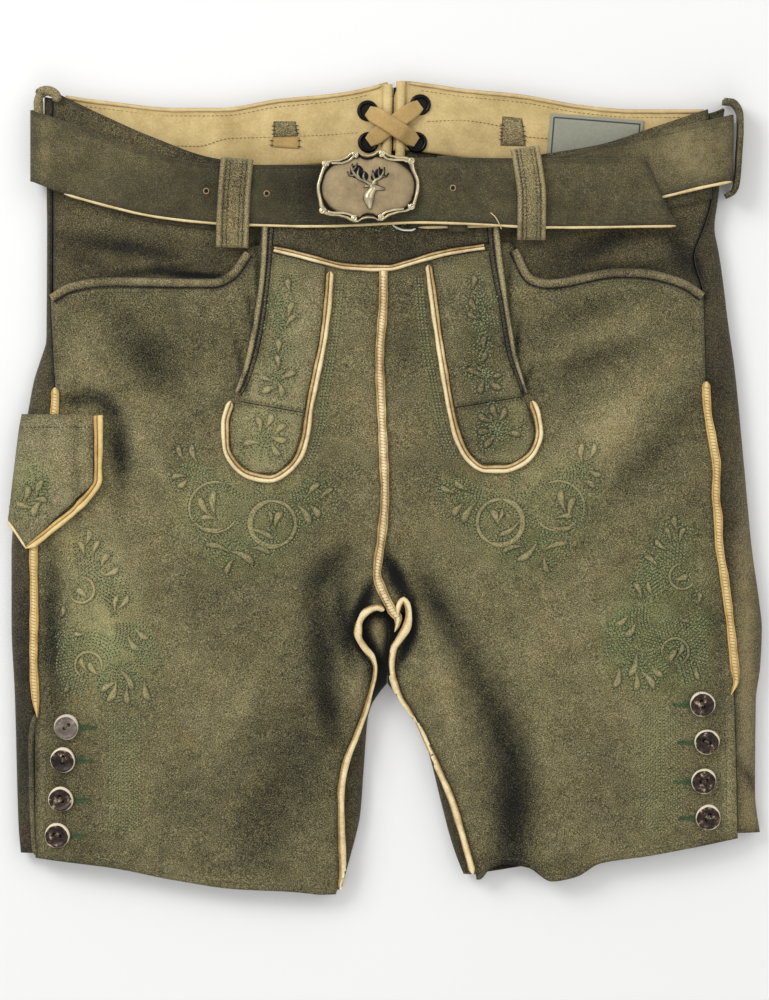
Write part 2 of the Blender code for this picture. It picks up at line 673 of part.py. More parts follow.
# Edgings: name, points (x, y), points on the strip, underside over the front face, thickness.
PIPING = [
    ("piping_drop_front", DROP_FRONT_EDGE, 18, REST, 2.6),
    ("piping_tongue_right",
     [(-37.3, 142.5), (-38.5, 125), (-41.5, 99), (-46.5, 74), (-51, 51), (-53, 36), (-57, 22),
      (-64.5, 12), (-77, 5.5), (-90.5, 8), (-100, 15), (-106, 27), (-106.5, 42), (-102.5, 57)],
     28, REST, 2.4),
    ("piping_tongue_left",
     [(27.8, 147), (30.5, 128), (34, 102), (38.5, 74), (42.5, 51), (47, 33), (54.5, 19),
      (65.5, 12), (77.5, 12), (89.5, 16.5), (97.5, 24.5), (101, 36), (99.5, 47), (96, 57)],
     28, REST, 2.4),
    ("piping_centre", [(-2, 141), (-2, 125), (-4.5, 86), (-3.5, 56), (-2, 25), (-1, -5),
                       (-3.5, -35), (-5.5, -53), (-2, -70), (3, -79), (5, -88)], 22, REST, 1.5),
    ("piping_side_right", [(-219, 62), (-219.3, 51), (-224.5, 18), (-230.5, -15), (-233, -44),
                           (-232.5, -113), (-232, -150)], 18, REST, 1.5),
    ("piping_side_left", [(211, 70), (212, 52), (215.5, 30), (218, 13), (218, -20), (219.5, -36),
                          (223, -59), (227.5, -94), (230, -122), (229, -138)], 20, REST, 1.5),
    ("piping_inseam_right", [(-3.5, -82), (-12, -84.5), (-18.3, -92), (-18.5, -100), (-10, -113),
                             (-8.7, -126), (-10.6, -139), (-15.5, -152), (-21, -165),
                             (-28.5, -188), (-30.5, -203), (-30, -257), (-32, -266)],
     28, 2.3, 1.5),
    ("piping_inseam_left", [(13.5, -79), (15.2, -89), (8, -104), (4.2, -115), (5, -128), (9.5, -137),
                            (16, -147), (25, -165), (43.5, -206), (48.5, -222), (58, -256)],
     26, 1.5, 1.5),
]
# Middle line of the knife flap's edging, along its inner and its slanting lower side.
KNIFE_EDGE = [(-190.3, 47.0), (-190.3, 1.2), (-233.5, -37.0)]


def pipings(material):
    for name, path, count, lift, thickness in PIPING:
        laid_strip(name, path, count, PIPE_WIDTH, lift, thickness, material)
    corner = KNIFE_EDGE[1]
    turn = [(corner[0], corner[1] + 4.0), (corner[0] - 3.0, corner[1] - 2.6)]
    laid_strip("piping_knife_flap", [KNIFE_EDGE[0], *turn, KNIFE_EDGE[2]], 14, PIPE_WIDTH,
               KNIFE_REST, STRIP, material)


# ---------------------------------------------------------------- belt
WRAP_HEIGHT = 12.0       # height of the belt's outermost line at the sides
WRAP_UNDER = 18.0        # how far in from that line the belt touches down
WRAP_OVER = 38.0         # how far in from it the belt reaches the front's height
WRAP_EDGE = 1.7          # upright stretch at each end of the belt's front and back pieces
BELT_LEFT_END = 230.0
BELT_RIGHT_END = -236.0


def wrap_stations(reach, count=4):
    """A quarter turn from upright to level: (distance in, share of the height) rows."""
    turns = [math.pi / 2 * k / count for k in range(1, count + 1)]
    return [(0.0, None), (0.0, 0.0)] + [(reach * (1 - math.cos(a)), math.sin(a)) for a in turns]


def belt_over(x, y):
    """The front's height under the stiff belt, which doesn't follow the side folds."""
    return loft(y) + 0.0 * x


def strap(name, start, end, run_columns, edges, lift, wrapped, material):
    """A stretch of belt over the front, curled down where it turns round the side.

    start and end are x at the upper and lower corner; wrapped is the end at the side fold.
    """
    top_edge, bottom_edge = edges
    rows = 3
    wrap_x = (start if wrapped == "start" else end)[0]
    way = 1 if wrapped == "start" else -1
    wrap = wrap_stations(WRAP_OVER)
    inner = wrap_x + way * WRAP_OVER
    other = end if wrapped == "start" else start
    columns = len(wrap) - 1 + run_columns

    def station(column, share):
        """x and the share of the full height, counted from the side fold."""
        if column < len(wrap):
            distance, height = wrap[column]
            return wrap_x + way * distance, height
        along = (column - len(wrap) + 1) / run_columns
        return lerp(inner, lerp(other[0], other[1], share), along), 1.0

    def place(column, row):
        share = 1 - row / rows
        x, height = station(column if wrapped == "start" else columns - column, share)
        y = lerp(float(top_edge(x)), float(bottom_edge(x)), share)
        high = float(belt_over(x, y)) + float(lift(x)) + BELT
        if height is None:
            return x, y, WRAP_HEIGHT + SEAM / 2
        low = WRAP_HEIGHT + SEAM / 2 + WRAP_EDGE
        return x, y, lerp(low, high, height)

    return sheet(name, columns, rows, place, BELT, material)


def belt(material):
    strap("belt_front", (BELT_RIGHT_END, BELT_RIGHT_END), (169.5, 191.0), 26,
          (smooth(STRAP_TOP), smooth(STRAP_BOTTOM)), smooth(STRAP_LIFT), "start", material)
    strap("belt_buckle_end", (16.0, 16.0), (BELT_LEFT_END, BELT_LEFT_END), 13,
          (smooth(BUCKLE_STRAP_TOP), smooth(BUCKLE_STRAP_BOTTOM)), smooth(BUCKLE_STRAP_LIFT),
          "end", material)
    top_edge, bottom_edge = smooth(BELT_BACK_TOP), smooth(BELT_BACK_BOTTOM)
    wrap = wrap_stations(WRAP_UNDER, 3)
    flat_columns, rows = 28, 2
    turn_columns = len(wrap) - 1
    columns = 2 * turn_columns + flat_columns

    def place(column, row):
        from_end = min(column, columns - column)
        left = column > columns / 2
        if from_end <= turn_columns:
            distance, share = wrap[from_end]
            x = BELT_LEFT_END - distance if left else BELT_RIGHT_END + distance
        else:
            share = 1.0
            x = lerp(BELT_RIGHT_END + WRAP_UNDER, BELT_LEFT_END - WRAP_UNDER,
                     (column - turn_columns) / flat_columns)
        y = lerp(float(bottom_edge(x)), float(top_edge(x)), row / rows)
        high = WRAP_HEIGHT - SEAM / 2
        if share is None:
            return x, y, high
        return x, y, lerp(high - WRAP_EDGE, float(loop_bed(x)), share)

    sheet("belt_back", columns, rows, place, BELT, material, flip=True)


def belt_keeper(material):
    """A closed band round the buckle's strap, under the free end."""
    centre_y, half_width, around, power = 193.8, 24.8, 24, 8.0
    low, high = 2.3, 8.4
    x_from, x_to = 33.5, 52.5

    def place(column, row):
        turn = 2 * math.pi * column / around
        cos, sin = math.cos(turn), math.sin(turn)
        size = (abs(cos) ** power + abs(sin) ** power) ** (-1 / power)
        x = lerp(x_from, x_to, row)
        y = centre_y + half_width * size * cos
        return x, y, float(belt_over(x, y)) + lerp(low, high, 0.5 + 0.5 * size * sin)

    sheet("belt_keeper", around, 1, place, 1.2, material)


# Front belt loops: side, lower end, upper end, underside where it passes over the belt.
FRONT_LOOPS = [("right", (-103.5, 158), (-98.5, 225.5), 5.9), ("left", (97, 160.5), (87.5, 230), 9.5)]


def belt_loops(material):
    for side, start, end, high in FRONT_LOOPS:
        lift = smooth([(0.0, -1.6), (0.04, -0.4), (0.09, high * 0.5), (0.13, high - 0.6), (0.16, high),
                       (0.85, high), (0.88, high - 0.6), (0.94, high * 0.4), (1.0, -0.1)])
        laid_strip(f"belt_loop_front_{side}", [start, lerp_point(start, end, 0.5), end], 22,
                   LOOP_WIDTH, lift, STRIP, material, 0.2)
    under_loop("belt_loop_back_right", BACK_LOOPS["right"], LOOP_WIDTH, (193.5, 255.0), material)
    under_loop("belt_loop_back_left", BACK_LOOPS["left"], LOOP_WIDTH, (193.5, 256.0), material)
    under_loop("belt_loop_side_right", SIDE_LOOP_X, 13.0, (196.5, 258.5), material)
    side_loop(material)


def under_loop(name, x_middle, width, ends, material):
    """A loop on the back: it passes under the belt, with its ends sewn to the back panel."""
    (y_low, y_top), rows = ends, 10

    def place(column, row):
        x = x_middle + (column - 1) * width / 2
        y = lerp(y_low, y_top, row / rows)
        under_belt = ramp(y, y_low, 201) * (1 - ramp(y, 247, y_top))
        sewn = max(0.0, float(belt_bed(x_middle, y)) - 2 * REST - STRIP)
        return x, y, lerp(sewn, 0.0, float(under_belt))

    sheet(name, 2, rows, place, STRIP, material, flip=True)


# Outline of the left side loop, seen from in front, and the heights of its two edges.
SIDE_LOOP = [(226.0, 192.0), (230.5, 194.3), (233.3, 199), (234.4, 206), (235.5, 221), (236.4, 238),
             (236.2, 247), (233.8, 253.5), (229.4, 257.2), (223.5, 257.8)]
SIDE_LOOP_HEIGHTS = (3.0, 17.0)
SIDE_LOOP_FOLDED = 3.4   # its leather lies double


def side_loop(material):
    """The loop at the left side fold, standing on its edge round the belt."""
    points, _ = path_points(SIDE_LOOP, 16)
    low, high = SIDE_LOOP_HEIGHTS

    def place(column, row):
        x, y = points[row]
        return x, y, lerp(high, low, column / 2)

    sheet("belt_loop_side_left", 2, 15, place, SIDE_LOOP_FOLDED, material)


def lerp_point(a, b, share):
    return tuple(lerp(p, q, share) for p, q in zip(a, b))


# ---------------------------------------------------------------- metal and small pieces
# Ears of the scrolled frame: angle in degrees from the middle, reach, half width in degrees.
BUCKLE_EARS = [(30, 0.07, 6), (150, 0.07, 6), (210, 0.07, 6), (330, 0.07, 6),
               (66, 0.03, 6), (114, 0.03, 6), (246, 0.03, 6), (294, 0.03, 6)]
BUCKLE_POWER = 2.3       # 2 is an oval, more is squarer


def buckle_outline(turn):
    """The frame's outline at an angle: a squarish oval with ears."""
    cos, sin = math.cos(turn), math.sin(turn)
    size = (abs(cos) ** BUCKLE_POWER + abs(sin) ** BUCKLE_POWER) ** (-1 / BUCKLE_POWER)
    for degrees, reach, wide in BUCKLE_EARS:
        apart = (math.degrees(turn) - degrees + 180) % 360 - 180
        size += reach * math.exp(-(apart / wide) ** 2)
    return size * 0.985


# Section of the buckle from its middle, underneath, out round the rim to its middle on top:
# share of the outline, height over the underside.
BUCKLE_SECTION = [(0.0, 0.0), (0.92, 0.0), (1.0, 1.0), (1.0, 2.6), (0.93, 3.8), (0.84, 3.4),
                  (0.79, 2.2), (0.45, 2.6), (0.0, 2.8)]
# Head of a stag, seen from its right: points (x, y) round the outline, from the throat on.
STAG = [(1.5, -13.0), (1.9, -6.2), (3.8, -6.0), (6.0, -5.8), (6.2, -4.2), (3.4, -1.6),
        (1.8, 1.2), (2.2, 3.8), (6.0, 5.8), (10.0, 8.0), (6.0, 7.6), (5.0, 12.0),
        (4.6, 8.2), (2.0, 6.8), (-0.2, 11.5), (0.4, 6.0), (-0.6, 3.4), (-1.6, 3.6), (-2.9, 6.2),
        (-4.8, 10.5), (-4.6, 5.8), (-7.2, 6.3), (-9.2, 10.5), (-8.8, 6.2), (-12.5, 7.5),
        (-9.0, 4.0), (-6.0, 3.5), (-3.5, 1.5), (-4.0, -0.6), (-6.5, -1.5), (-4.5, -3.5),
        (-5.0, -8.0), (-4.0, -13.0)]


def buckle(metal):
    centre = Vector((*BUCKLE_CENTRE, float(belt_over(*BUCKLE_CENTRE)) + BUCKLE_LIFT))
    bm = bmesh.new()
    rows = len(BUCKLE_SECTION) - 1
    bmesh.ops.create_uvsphere(bm, u_segments=44, v_segments=rows, radius=1.0)
    for vert in bm.verts:
        row = round((math.asin(max(-1.0, min(1.0, vert.co.z))) / math.pi + 0.5) * rows)
        share, height = BUCKLE_SECTION[row]
        turn = math.atan2(vert.co.y, vert.co.x)
        size = share * buckle_outline(turn)
        offset = Vector((size * BUCKLE_SIZE[0] / 2 * math.cos(turn),
                         size * BUCKLE_SIZE[1] / 2 * math.sin(turn), height))
        vert.co = (centre + offset) * MM
    mesh_object("buckle_plate", bm, metal, 35)

    outline = bpy.data.curves.new("buckle_stag", "CURVE")
    outline.dimensions = "2D"
    outline.fill_mode = "BOTH"
    thick = 1.2
    outline.extrude = thick / 2 * MM
    spline = outline.splines.new("POLY")
    spline.points.add(len(STAG) - 1)
    for point, (x, y) in zip(spline.points, STAG):
        point.co = (x * MM, y * MM, 0.0, 1.0)
    spline.use_cyclic_u = True
    stag = add_object("buckle_stag", outline, metal)
    stag.location = (centre + Vector((0.0, 0.5, BUCKLE_SECTION[-1][1] + SEAM + thick / 2))) * MM

    hook = bpy.data.curves.new("buckle_hook", "CURVE")
    hook.dimensions = "3D"
    hook.bevel_depth = 0.9 * MM
    hook.bevel_resolution = 1
    hook.use_fill_caps = True
    height = float(belt_over(10, 170)) + 3.6
    route = [(4.5, 170.9), (4.9, 168.0), (7.0, 166.6), (11.0, 166.0), (15.0, 166.6), (17.2, 168.0),
             (17.6, 170.9)]
    spline = hook.splines.new("POLY")
    spline.points.add(len(route) - 1)
    for point, (x, y) in zip(spline.points, route):
        point.co = (x * MM, y * MM, height * MM, 1.0)
    add_object("buckle_hook", hook, metal)


# Profiles down the outside: (radius, height) rows.
BUTTON_PROFILE = [(0.0, 2.5), (4.6, 2.6), (6.6, 3.4), (BUTTON_RADIUS, 2.0), (7.2, 0.0), (0.0, 0.0)]
EYELET_PROFILE = [(EYELET_HOLE, 0.6), (5.7, 1.6), (EYELET_RADIUS, 0.5), (5.7, 0.0)]
ROUND_STEPS = 14


def buttons(material):
    for side, places in BUTTONS.items():
        for number, (x, y) in enumerate(places, 1):
            at = moved_out(upper, x, y, 0.9)
            up = moved_out(upper, x, y, 2.0) - moved_out(upper, x, y, 1.0)
            turned(f"button_{side}_{number}", BUTTON_PROFILE, material, at, up)


def eyelets(material):
    for name, (x, y) in EYELETS.items():
        at = Vector((x, y, float(lining(x, y)) + SEAM))
        turned(f"eyelet_{name}", EYELET_PROFILE, material, at, Vector((0, 0, 1)))


def back_rolls(material):
    """Rolled edges on both sides of the laced opening at the centre back."""
    for side, middle, y_top in (("right", 0.4, 267.5), ("left", 9.4, 269.5)):
        path = [(middle - 0.6, 207.0), (middle, 240.0), (middle + 0.4, y_top)]
        laid_strip(f"back_roll_{side}", path, 8, ROLL_WIDTH, SEAM, 1.2, material, 1.0, lining)


LACE_HIGH = {"lace_under": 3.3, "lace_over": 5.3}   # undersides where the laces cross the rolls


def laces(material):
    """Two crossing strips, whose narrowed ends go down into the eyelets."""
    width = smooth([(0.0, 4.4), (0.12, 5.4), (0.3, LACE_WIDTH), (0.7, LACE_WIDTH), (0.88, 5.4),
                    (1.0, 4.4)])
    runs = [("lace_under", "lower_right", "upper_left"),
            ("lace_over", "upper_right", "lower_left")]
    for name, start, end in runs:
        middle = LACE_HIGH[name]
        half = [(0.0, 0.5), (0.07, 1.5), (0.14, 2.5), (0.30, middle), (0.40, middle)]
        lift = smooth(half + [(1 - share, height) for share, height in half])
        path = [EYELETS[start], lerp_point(EYELETS[start], EYELETS[end], 0.5), EYELETS[end]]
        laid_strip(name, path, 22, width, lift, 1.4, material, 0.1, lining)


def label(material):
    """A bare woven label on the inner waistband."""
    size, turn, corner = (62.0, 34.0), math.radians(-4.6), (109.0, 248.3)

    def place(column, row):
        across = size[0] * column / 4
        down = size[1] * (1 - row / 2)
        x = corner[0] + across * math.cos(turn) + down * math.sin(turn)
        y = corner[1] + across * math.sin(turn) - down * math.cos(turn)
        return x, y, float(lining(x, y)) + SEAM + 0.6

    sheet("label", 4, 2, place, 0.6, material)


def main():
    for old in list(bpy.data.objects):
        bpy.data.objects.remove(old, do_unlink=True)
    bpy.context.scene.collection.children.link(bpy.data.collections.new("Lederhosen"))

    olive = new_material("olive suede", OLIVE, 0.9)
    light = new_material("light olive suede", OLIVE_LIGHT, 0.9)
    dark = new_material("dark suede", OLIVE_DARK, 0.9)
    tan = new_material("tan lining leather", TAN, 0.8)
    pipe = new_material("tan edging", PIPE_TAN, 0.75)
    strap_leather = new_material("belt suede", BELT_OLIVE, 0.9)
    bronze = new_material("antique bronze", BRONZE, 0.4, 0.9)
    horn = new_material("horn", HORN, 0.35)
    black = new_material("blackened eyelet", BLACK, 0.4, 0.6)
    grey = new_material("woven label", LABEL_GREY, 0.8)

    for side in ("right", "left"):
        front_panel(side, olive)
        back_panel(side, light)
        pocket_facing(side, dark)
        pocket_welt(side, dark)
        front_waistband(side, dark)
        back_waistband(side, tan)
        tongue(side, light, olive)
    drop_front(dark)
    knife_flap(light)
    pipings(pipe)
    belt(strap_leather)
    belt_keeper(strap_leather)
    belt_loops(olive)
    buckle(bronze)
    buttons(horn)
    eyelets(black)
    back_rolls(tan)
    laces(tan)
    label(grey)


main()
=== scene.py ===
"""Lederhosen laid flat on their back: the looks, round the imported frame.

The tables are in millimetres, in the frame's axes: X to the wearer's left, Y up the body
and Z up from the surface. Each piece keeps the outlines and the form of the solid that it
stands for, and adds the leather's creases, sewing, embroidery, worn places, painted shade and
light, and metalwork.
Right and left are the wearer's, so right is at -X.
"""
import math

import bmesh
import bpy
import numpy as np
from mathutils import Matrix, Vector

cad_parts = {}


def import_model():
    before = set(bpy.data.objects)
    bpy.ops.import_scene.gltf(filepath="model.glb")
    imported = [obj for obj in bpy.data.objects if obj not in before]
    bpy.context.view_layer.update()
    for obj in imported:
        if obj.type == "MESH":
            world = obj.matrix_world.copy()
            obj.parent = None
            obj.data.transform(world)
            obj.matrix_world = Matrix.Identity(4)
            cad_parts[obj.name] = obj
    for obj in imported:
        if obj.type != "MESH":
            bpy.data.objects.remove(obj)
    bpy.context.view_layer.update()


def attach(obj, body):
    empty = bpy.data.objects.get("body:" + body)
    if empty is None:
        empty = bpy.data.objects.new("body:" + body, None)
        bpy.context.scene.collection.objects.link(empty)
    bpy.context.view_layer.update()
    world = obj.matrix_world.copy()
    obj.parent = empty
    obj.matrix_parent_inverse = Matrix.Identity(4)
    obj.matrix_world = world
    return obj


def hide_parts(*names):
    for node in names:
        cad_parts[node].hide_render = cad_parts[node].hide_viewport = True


MM = 0.001
SIDES = ("right", "left")
INWARD = {"right": 1.0, "left": -1.0}     # the way from a side fold to the body's middle

# ---------------------------------------------------------------- sizes
HIDE = 2.0               # thickness of the panels' leather
STRIP = 1.6              # the same for the flaps, loops and bands
BELT = 2.6               # the same for the belt
SEAM = 0.3               # gap between two pieces that are sewn edge to edge
BENT_SEAM = 0.6          # the same at an inseam
REST = 0.5               # gap between a piece and what it lies on
SIDE_FOLD = 7.0          # height of the fold line at the sides
FOLD_REACH = 45.0        # how far in from a side fold the upper layer still rises
UNDER_REACH = 12.0       # how far in from a fold the underside touches down
INSEAM_REACH = 38.0      # the same as FOLD_REACH, between the legs
BROAD_FADE = 30.0        # the broad folds die out this far from a side fold
SIDE_FADE = 20.0         # the finer ones die out this far from it
INNER_FADE = 14.0        # and this far from the fold between the legs
SHOULDER = 2.8           # an inseam's edging lies level from here over the fold
LOOP_BED = 2.2           # room under the belt for a loop
BELT_BED = LOOP_BED + BELT + 0.5   # how high the back panels lie where the belt passes under them
WAIST_RISE = (172, 196)  # the panels rise onto the belt between these y
FINE_SHARE = 0.55        # how much of the fine creases' height the front has
APEX_Y = -130.0          # top of the gap between the legs
CROTCH_Y = -78.0         # where the centre seam meets both inseams
FACING_DROP = -2.7       # outer face of the pocket facings, below the front's face
BAND_DROP = -0.5         # outer face of the front waistband, below it
FLAP_LIFT = REST + STRIP  # outer face of the drop front and its tongues, above it
KNIFE_REST = 3.0         # underside of the knife flap, above it
KNIFE_LIFT = KNIFE_REST + STRIP   # outer face of the knife flap, above it
LINING_LIFT = 4.2        # upper face of the inner waistband, above the belt's bed
PIPE_WIDTH = 5.5         # folded edging of the flaps
LOOP_WIDTH = 19.0        # belt loops at the back
BUTTON_RADIUS = 8.35
EYELET_RADIUS = 7.0
EYELET_HOLE = 4.5        # radius of the hole through an eyelet
LACE_WIDTH = 11.4
ROLL_WIDTH = 6.4         # rolled edges of the laced opening

# ---------------------------------------------------------------- outlines
# Lines that run up the body: rows of (y, x).
SIDE_FOLDS = {
    "right": [(-246, -243), (-226, -244.5), (-138, -247), (-90, -249.2), (-42, -249.2), (-8, -246),
              (18, -243), (38, -240.5), (54, -237.5), (70, -234.5), (86, -229.5), (98, -226),
              (198, -225.5), (225, -227), (263, -227)],
    "left": [(-238, 249), (-202, 245), (-142, 245.5), (-118, 248.5), (-94, 249.5), (-74, 247.5),
             (-42, 243), (22, 237), (78, 231.5), (110, 227), (142, 223), (158, 220.5), (172, 218),
             (195, 220.5), (225, 223), (256, 225)],
}
SIDE_SEAMS = {
    "right": [(-245, -233), (-195, -233), (-113, -232.5), (-44, -233), (-15, -230.5), (18, -224.5),
              (51, -219), (95, -221.5), (127, -223), (198, -222.5), (262, -220.5)],
    "left": [(-231, 233), (-142, 230.5), (-94, 227.5), (-59, 223), (-20, 218), (13, 218),
             (30, 215.5), (52, 212), (128, 210), (153, 204), (172, 211), (190, 216),
             (218, 216), (254, 213)],
}
INSEAMS = {
    "right": [(-270, -33), (-257, -29.5), (-203, -30.5), (-188, -28.5), (-165, -21), (-152, -15.5),
              (-139, -10.5), (-128, -8.5), (-114, -8.5), (-98, -18.5), (-88, -15.5), (-78, -2),
              (-70, -2), (-53, -5.5), (-35, -3.5), (-5, -1), (25, -2), (56, -3.5), (86, -4.5),
              (125, -2), (162, -2)],
    "left": [(-258, 59), (-222, 48.5), (-206, 43.5), (-165, 25), (-147, 16), (-137, 9.5),
             (-128, 5), (-115, 4), (-105, 7), (-90, 14.5), (-84, 12), (-78, 0), (-70, -2),
             (-53, -5.5), (-35, -3.5), (-5, -1), (25, -2), (56, -3.5), (86, -4.5), (125, -2),
             (162, -2)],
}
INNER_FOLDS = {
    "right": [(-270, -30), (-250, -25), (-234, -21), (-218, -17.5), (-186, -15), (-154, -12.5),
              (-146, -10.5), (-138, -6), (APEX_Y, 0.3)],
    "left": [(-262, 52), (-242, 45), (-210, 36.5), (-178, 28.5), (-162, 23), (-154, 17.5),
             (-146, 12), (-138, 6.5), (APEX_Y, 0.7)],
}
CENTRE_BACK = [(APEX_Y, 0.5), (262, 4.5)]
BINDING_OUTER = {
    "right": [(60, -101.5), (84, -93.5), (117, -87.5), (148, -83.5), (196, -82)],
    "left": [(59, 94.5), (86, 87), (117, 81.5), (148, 77.5), (196, 72)],
}
BINDING_INNER = {
    "right": [(58, -97), (74, -89), (105, -81.5), (140, -77), (196, -73)],
    "left": [(58, 91), (72, 86), (86, 80.5), (120, 74.5), (152, 68.5), (196, 65)],
}
TONGUE_INNER = {
    "right": [(48, -52), (74, -46.5), (99, -41.5), (125, -38.5), (150, -37)],
    "left": [(50, 42.5), (74, 38.5), (102, 34), (128, 30.5), (152, 27)],
}
TIP_OUTER = {
    "right": [(60, -101.5), (53, -104.5), (41, -107), (25, -106), (15, -100), (8, -90.5), (5, -80)],
    "left": [(60, 94.5), (47, 99), (36, 101.5), (24, 97.5), (16, 89.5), (12, 79), (11.5, 74)],
}
TIP_INNER = {
    "right": [(51, -51), (36, -53), (22, -57), (12, -64.5), (6.5, -72), (5, -76)],
    "left": [(53, 42.5), (33, 47), (19, 54.5), (12.5, 63.5), (11.5, 69)],
}
# The knife pocket's flap without its edging, with straight sides.
KNIFE_OUTER = [(48, -245), (16, -247.5), (-20, -249), (-38.5, -237.2)]
KNIFE_INNER = [(48, -193.3), (2.6, -193.3), (-38.5, -236.6)]

# Lines that run across the body: rows of (x, y).
HEMS = {
    "right": [(-243, -244), (-221, -247), (-181, -252), (-141, -260), (-101, -266), (-61, -268),
              (-41, -270), (-29, -270)],
    "left": [(45, -258), (61.5, -260), (69.5, -252), (77.5, -250), (93.5, -252), (109.5, -261),
             (125.5, -258), (141.5, -249), (173.5, -244), (205.5, -238), (249, -229)],
}
POCKET_MOUTHS = {
    "right": [(-223.5, 126), (-217, 132), (-201.5, 137), (-183, 139), (-130.5, 138), (-113, 138),
              (-103, 142.5), (-96.5, 149), (-89.5, 159), (-70, 162), (0, 162)],
    "left": [(-5, 162), (70, 162), (82.5, 162), (87.5, 150), (93.5, 142), (99.5, 138), (111, 137.5),
             (124.5, 140), (155, 145), (172.5, 144), (189, 140), (201, 135), (210.5, 128)],
}
BACK_TOP = [(-227, 263), (-211, 260), (-181, 256), (-141, 252), (-111, 252), (-71, 258), (-31, 262),
            (-11, 266), (0, 269), (9, 270), (29, 268), (49, 265), (89, 261), (129, 254), (165, 251),
            (209, 251), (226, 255)]
FRONT_TOP = [(-222, 263), (-189, 247), (-155, 232), (-114.5, 218), (-60, 211), (50, 213),
             (106, 221), (141.5, 227), (175.5, 238), (214, 251)]
DROP_FRONT_EDGE = [(-74.3, 157.5), (-63, 155), (-47.5, 151), (-26.5, 146), (-8, 145), (1, 145),
                   (13.5, 148), (30.5, 153), (44, 156), (64.6, 159)]
FRONT_BAND_EDGE = [(-222, 197), (-213, 194), (-184, 184), (-155, 176), (-113, 171), (-60, 170),
                   (60, 170), (107, 168), (150, 175), (185, 184), (219, 192)]
CROSS_SEAMS = {
    "right": [(-104, 58), (-54, 49)],
    "left": [(42, 52), (97, 61)],
}
STRAP_TOP = [(-236, 250), (-221, 245), (-189.5, 233), (-155.5, 221), (-138.5, 217), (-109.5, 213),
             (-43.5, 213), (20.5, 217), (169.5, 217)]
STRAP_BOTTOM = [(-236, 203), (-221, 197), (-189.5, 188), (-155.5, 180), (-113, 175), (-93, 174),
                (-45, 173), (19.5, 175), (57, 174), (107.5, 172), (191, 173)]
BUCKLE_STRAP_TOP = [(12, 214), (101, 218), (141.5, 226), (192.5, 238), (230, 247)]
BUCKLE_STRAP_BOTTOM = [(12, 172), (60, 173), (107, 177), (150, 185), (184, 193), (209.5, 199),
                       (230, 203)]
BELT_BACK_TOP = [(-236, 249), (-150, 246), (0, 244), (150, 246), (230, 247)]
BELT_BACK_BOTTOM = [(-236, 203), (-150, 202), (0, 201), (150, 202), (230, 203)]

# ---------------------------------------------------------------- heights
# Outer face of the upper layer, away from the folds: rows of (y, height).
LOFT = [(-270, 15), (-200, 17), (-100, 20), (-40, 21), (50, 19.5), (150, 18), (230, 17.5),
        (265, 17)]
# How far the fold between the legs has opened into the upper layer: rows of (y, share).
OPENING_OUT = [(APEX_Y, 0.0), (-118, 0.18), (-104, 0.42), (-88, 0.8), (-72, 1.0)]
# Undersides of the two straps over the front panels' face: rows of (x, height).
BUCKLE_STRAP_LIFT = [(16, 2.6), (30, 4.1), (56, 4.1), (75, 2.8), (100, 2.6), (125, 1.2), (230, 1.2)]
STRAP_LIFT = [(-236, 1.2), (-112, 1.2), (-86, 2.6), (-46, 2.6), (-12, 3.6), (12, 6.0), (30, 8.7),
              (56, 8.7), (78, 6.2), (100, 5.7), (125, 4.3), (191, 4.3)]
# Broad folds of the upper layer: x, y, direction in degrees, half length, half width, height.
CREASES = [
    (-170, -150, 80, 90, 26, 1.6),
    (-95, -170, 70, 80, 24, -1.6),
    (-60, -90, 40, 60, 16, -1.8),
    (-120, 20, 20, 70, 26, 1.4),
    (60, -90, 140, 60, 16, -1.8),
    (100, -180, 105, 80, 24, -1.6),
    (165, -140, 100, 90, 26, 1.6),
    (150, 60, 155, 70, 26, 1.6),
    (-190, 90, 60, 50, 18, -1.4),
    (185, 30, 100, 60, 16, -1.4),
]

BUTTONS = {
    "right": [(-211, -158), (-213.5, -180), (-215, -206), (-217.5, -230)],
    "left": [(208.5, -143), (211.5, -168), (209.5, -194), (212.5, -218)],
}
EYELETS = {
    "upper_right": (-12.5, 250), "upper_left": (22.5, 254),
    "lower_right": (-12, 229), "lower_left": (20, 229),
}
BACK_LOOPS = {"right": -68.0, "left": 84.0}
SIDE_LOOP_X = -216.0

BUCKLE_CENTRE = (-12.0, 197.3)
BUCKLE_LIFT = 10.4       # underside of the plate over the front panels' face


# ---------------------------------------------------------------- curves
def smooth(rows):
    """A smooth line through (place, value) rows that never overshoots, as value(place)."""
    place, value = (np.array(values, float) for values in zip(*sorted(rows)))
    slope = np.diff(value) / np.diff(place)
    tangent = np.concatenate([slope[:1], np.zeros(len(slope) - 1), slope[-1:]])
    both = slope[:-1] * slope[1:]
    same = both > 0
    tangent[1:-1][same] = (2 * both / np.where(same, slope[:-1] + slope[1:], 1.0))[same]

    def read(at):
        at = np.clip(at, place[0], place[-1])
        row = np.clip(np.searchsorted(place, at) - 1, 0, len(place) - 2)
        step = place[row + 1] - place[row]
        t = (at - place[row]) / step
        return (value[row] * (1 + 2 * t) * (1 - t) ** 2 + tangent[row] * step * t * (1 - t) ** 2
                + value[row + 1] * t * t * (3 - 2 * t) + tangent[row + 1] * step * t * t * (t - 1))

    return read


def straight(rows):
    """A line with corners through (place, value) rows, as value(place)."""
    place, value = zip(*sorted(rows))
    return lambda at: np.interp(at, place, value)


def inset(line, distance):
    """The line x(y) moved aside by a distance measured square to itself."""
    def read(y):
        slope = np.clip(line(y + 1.0) - line(y - 1.0), -3.6, 3.6) / 2
        return line(y) + distance * np.sqrt(1 + slope ** 2)

    return read


def level(value):
    """A straight line at one value."""
    return lambda at: value + 0.0 * at


def both_sides(tables):
    """The smooth lines of a table for the right and the left."""
    return {side: smooth(rows) for side, rows in tables.items()}


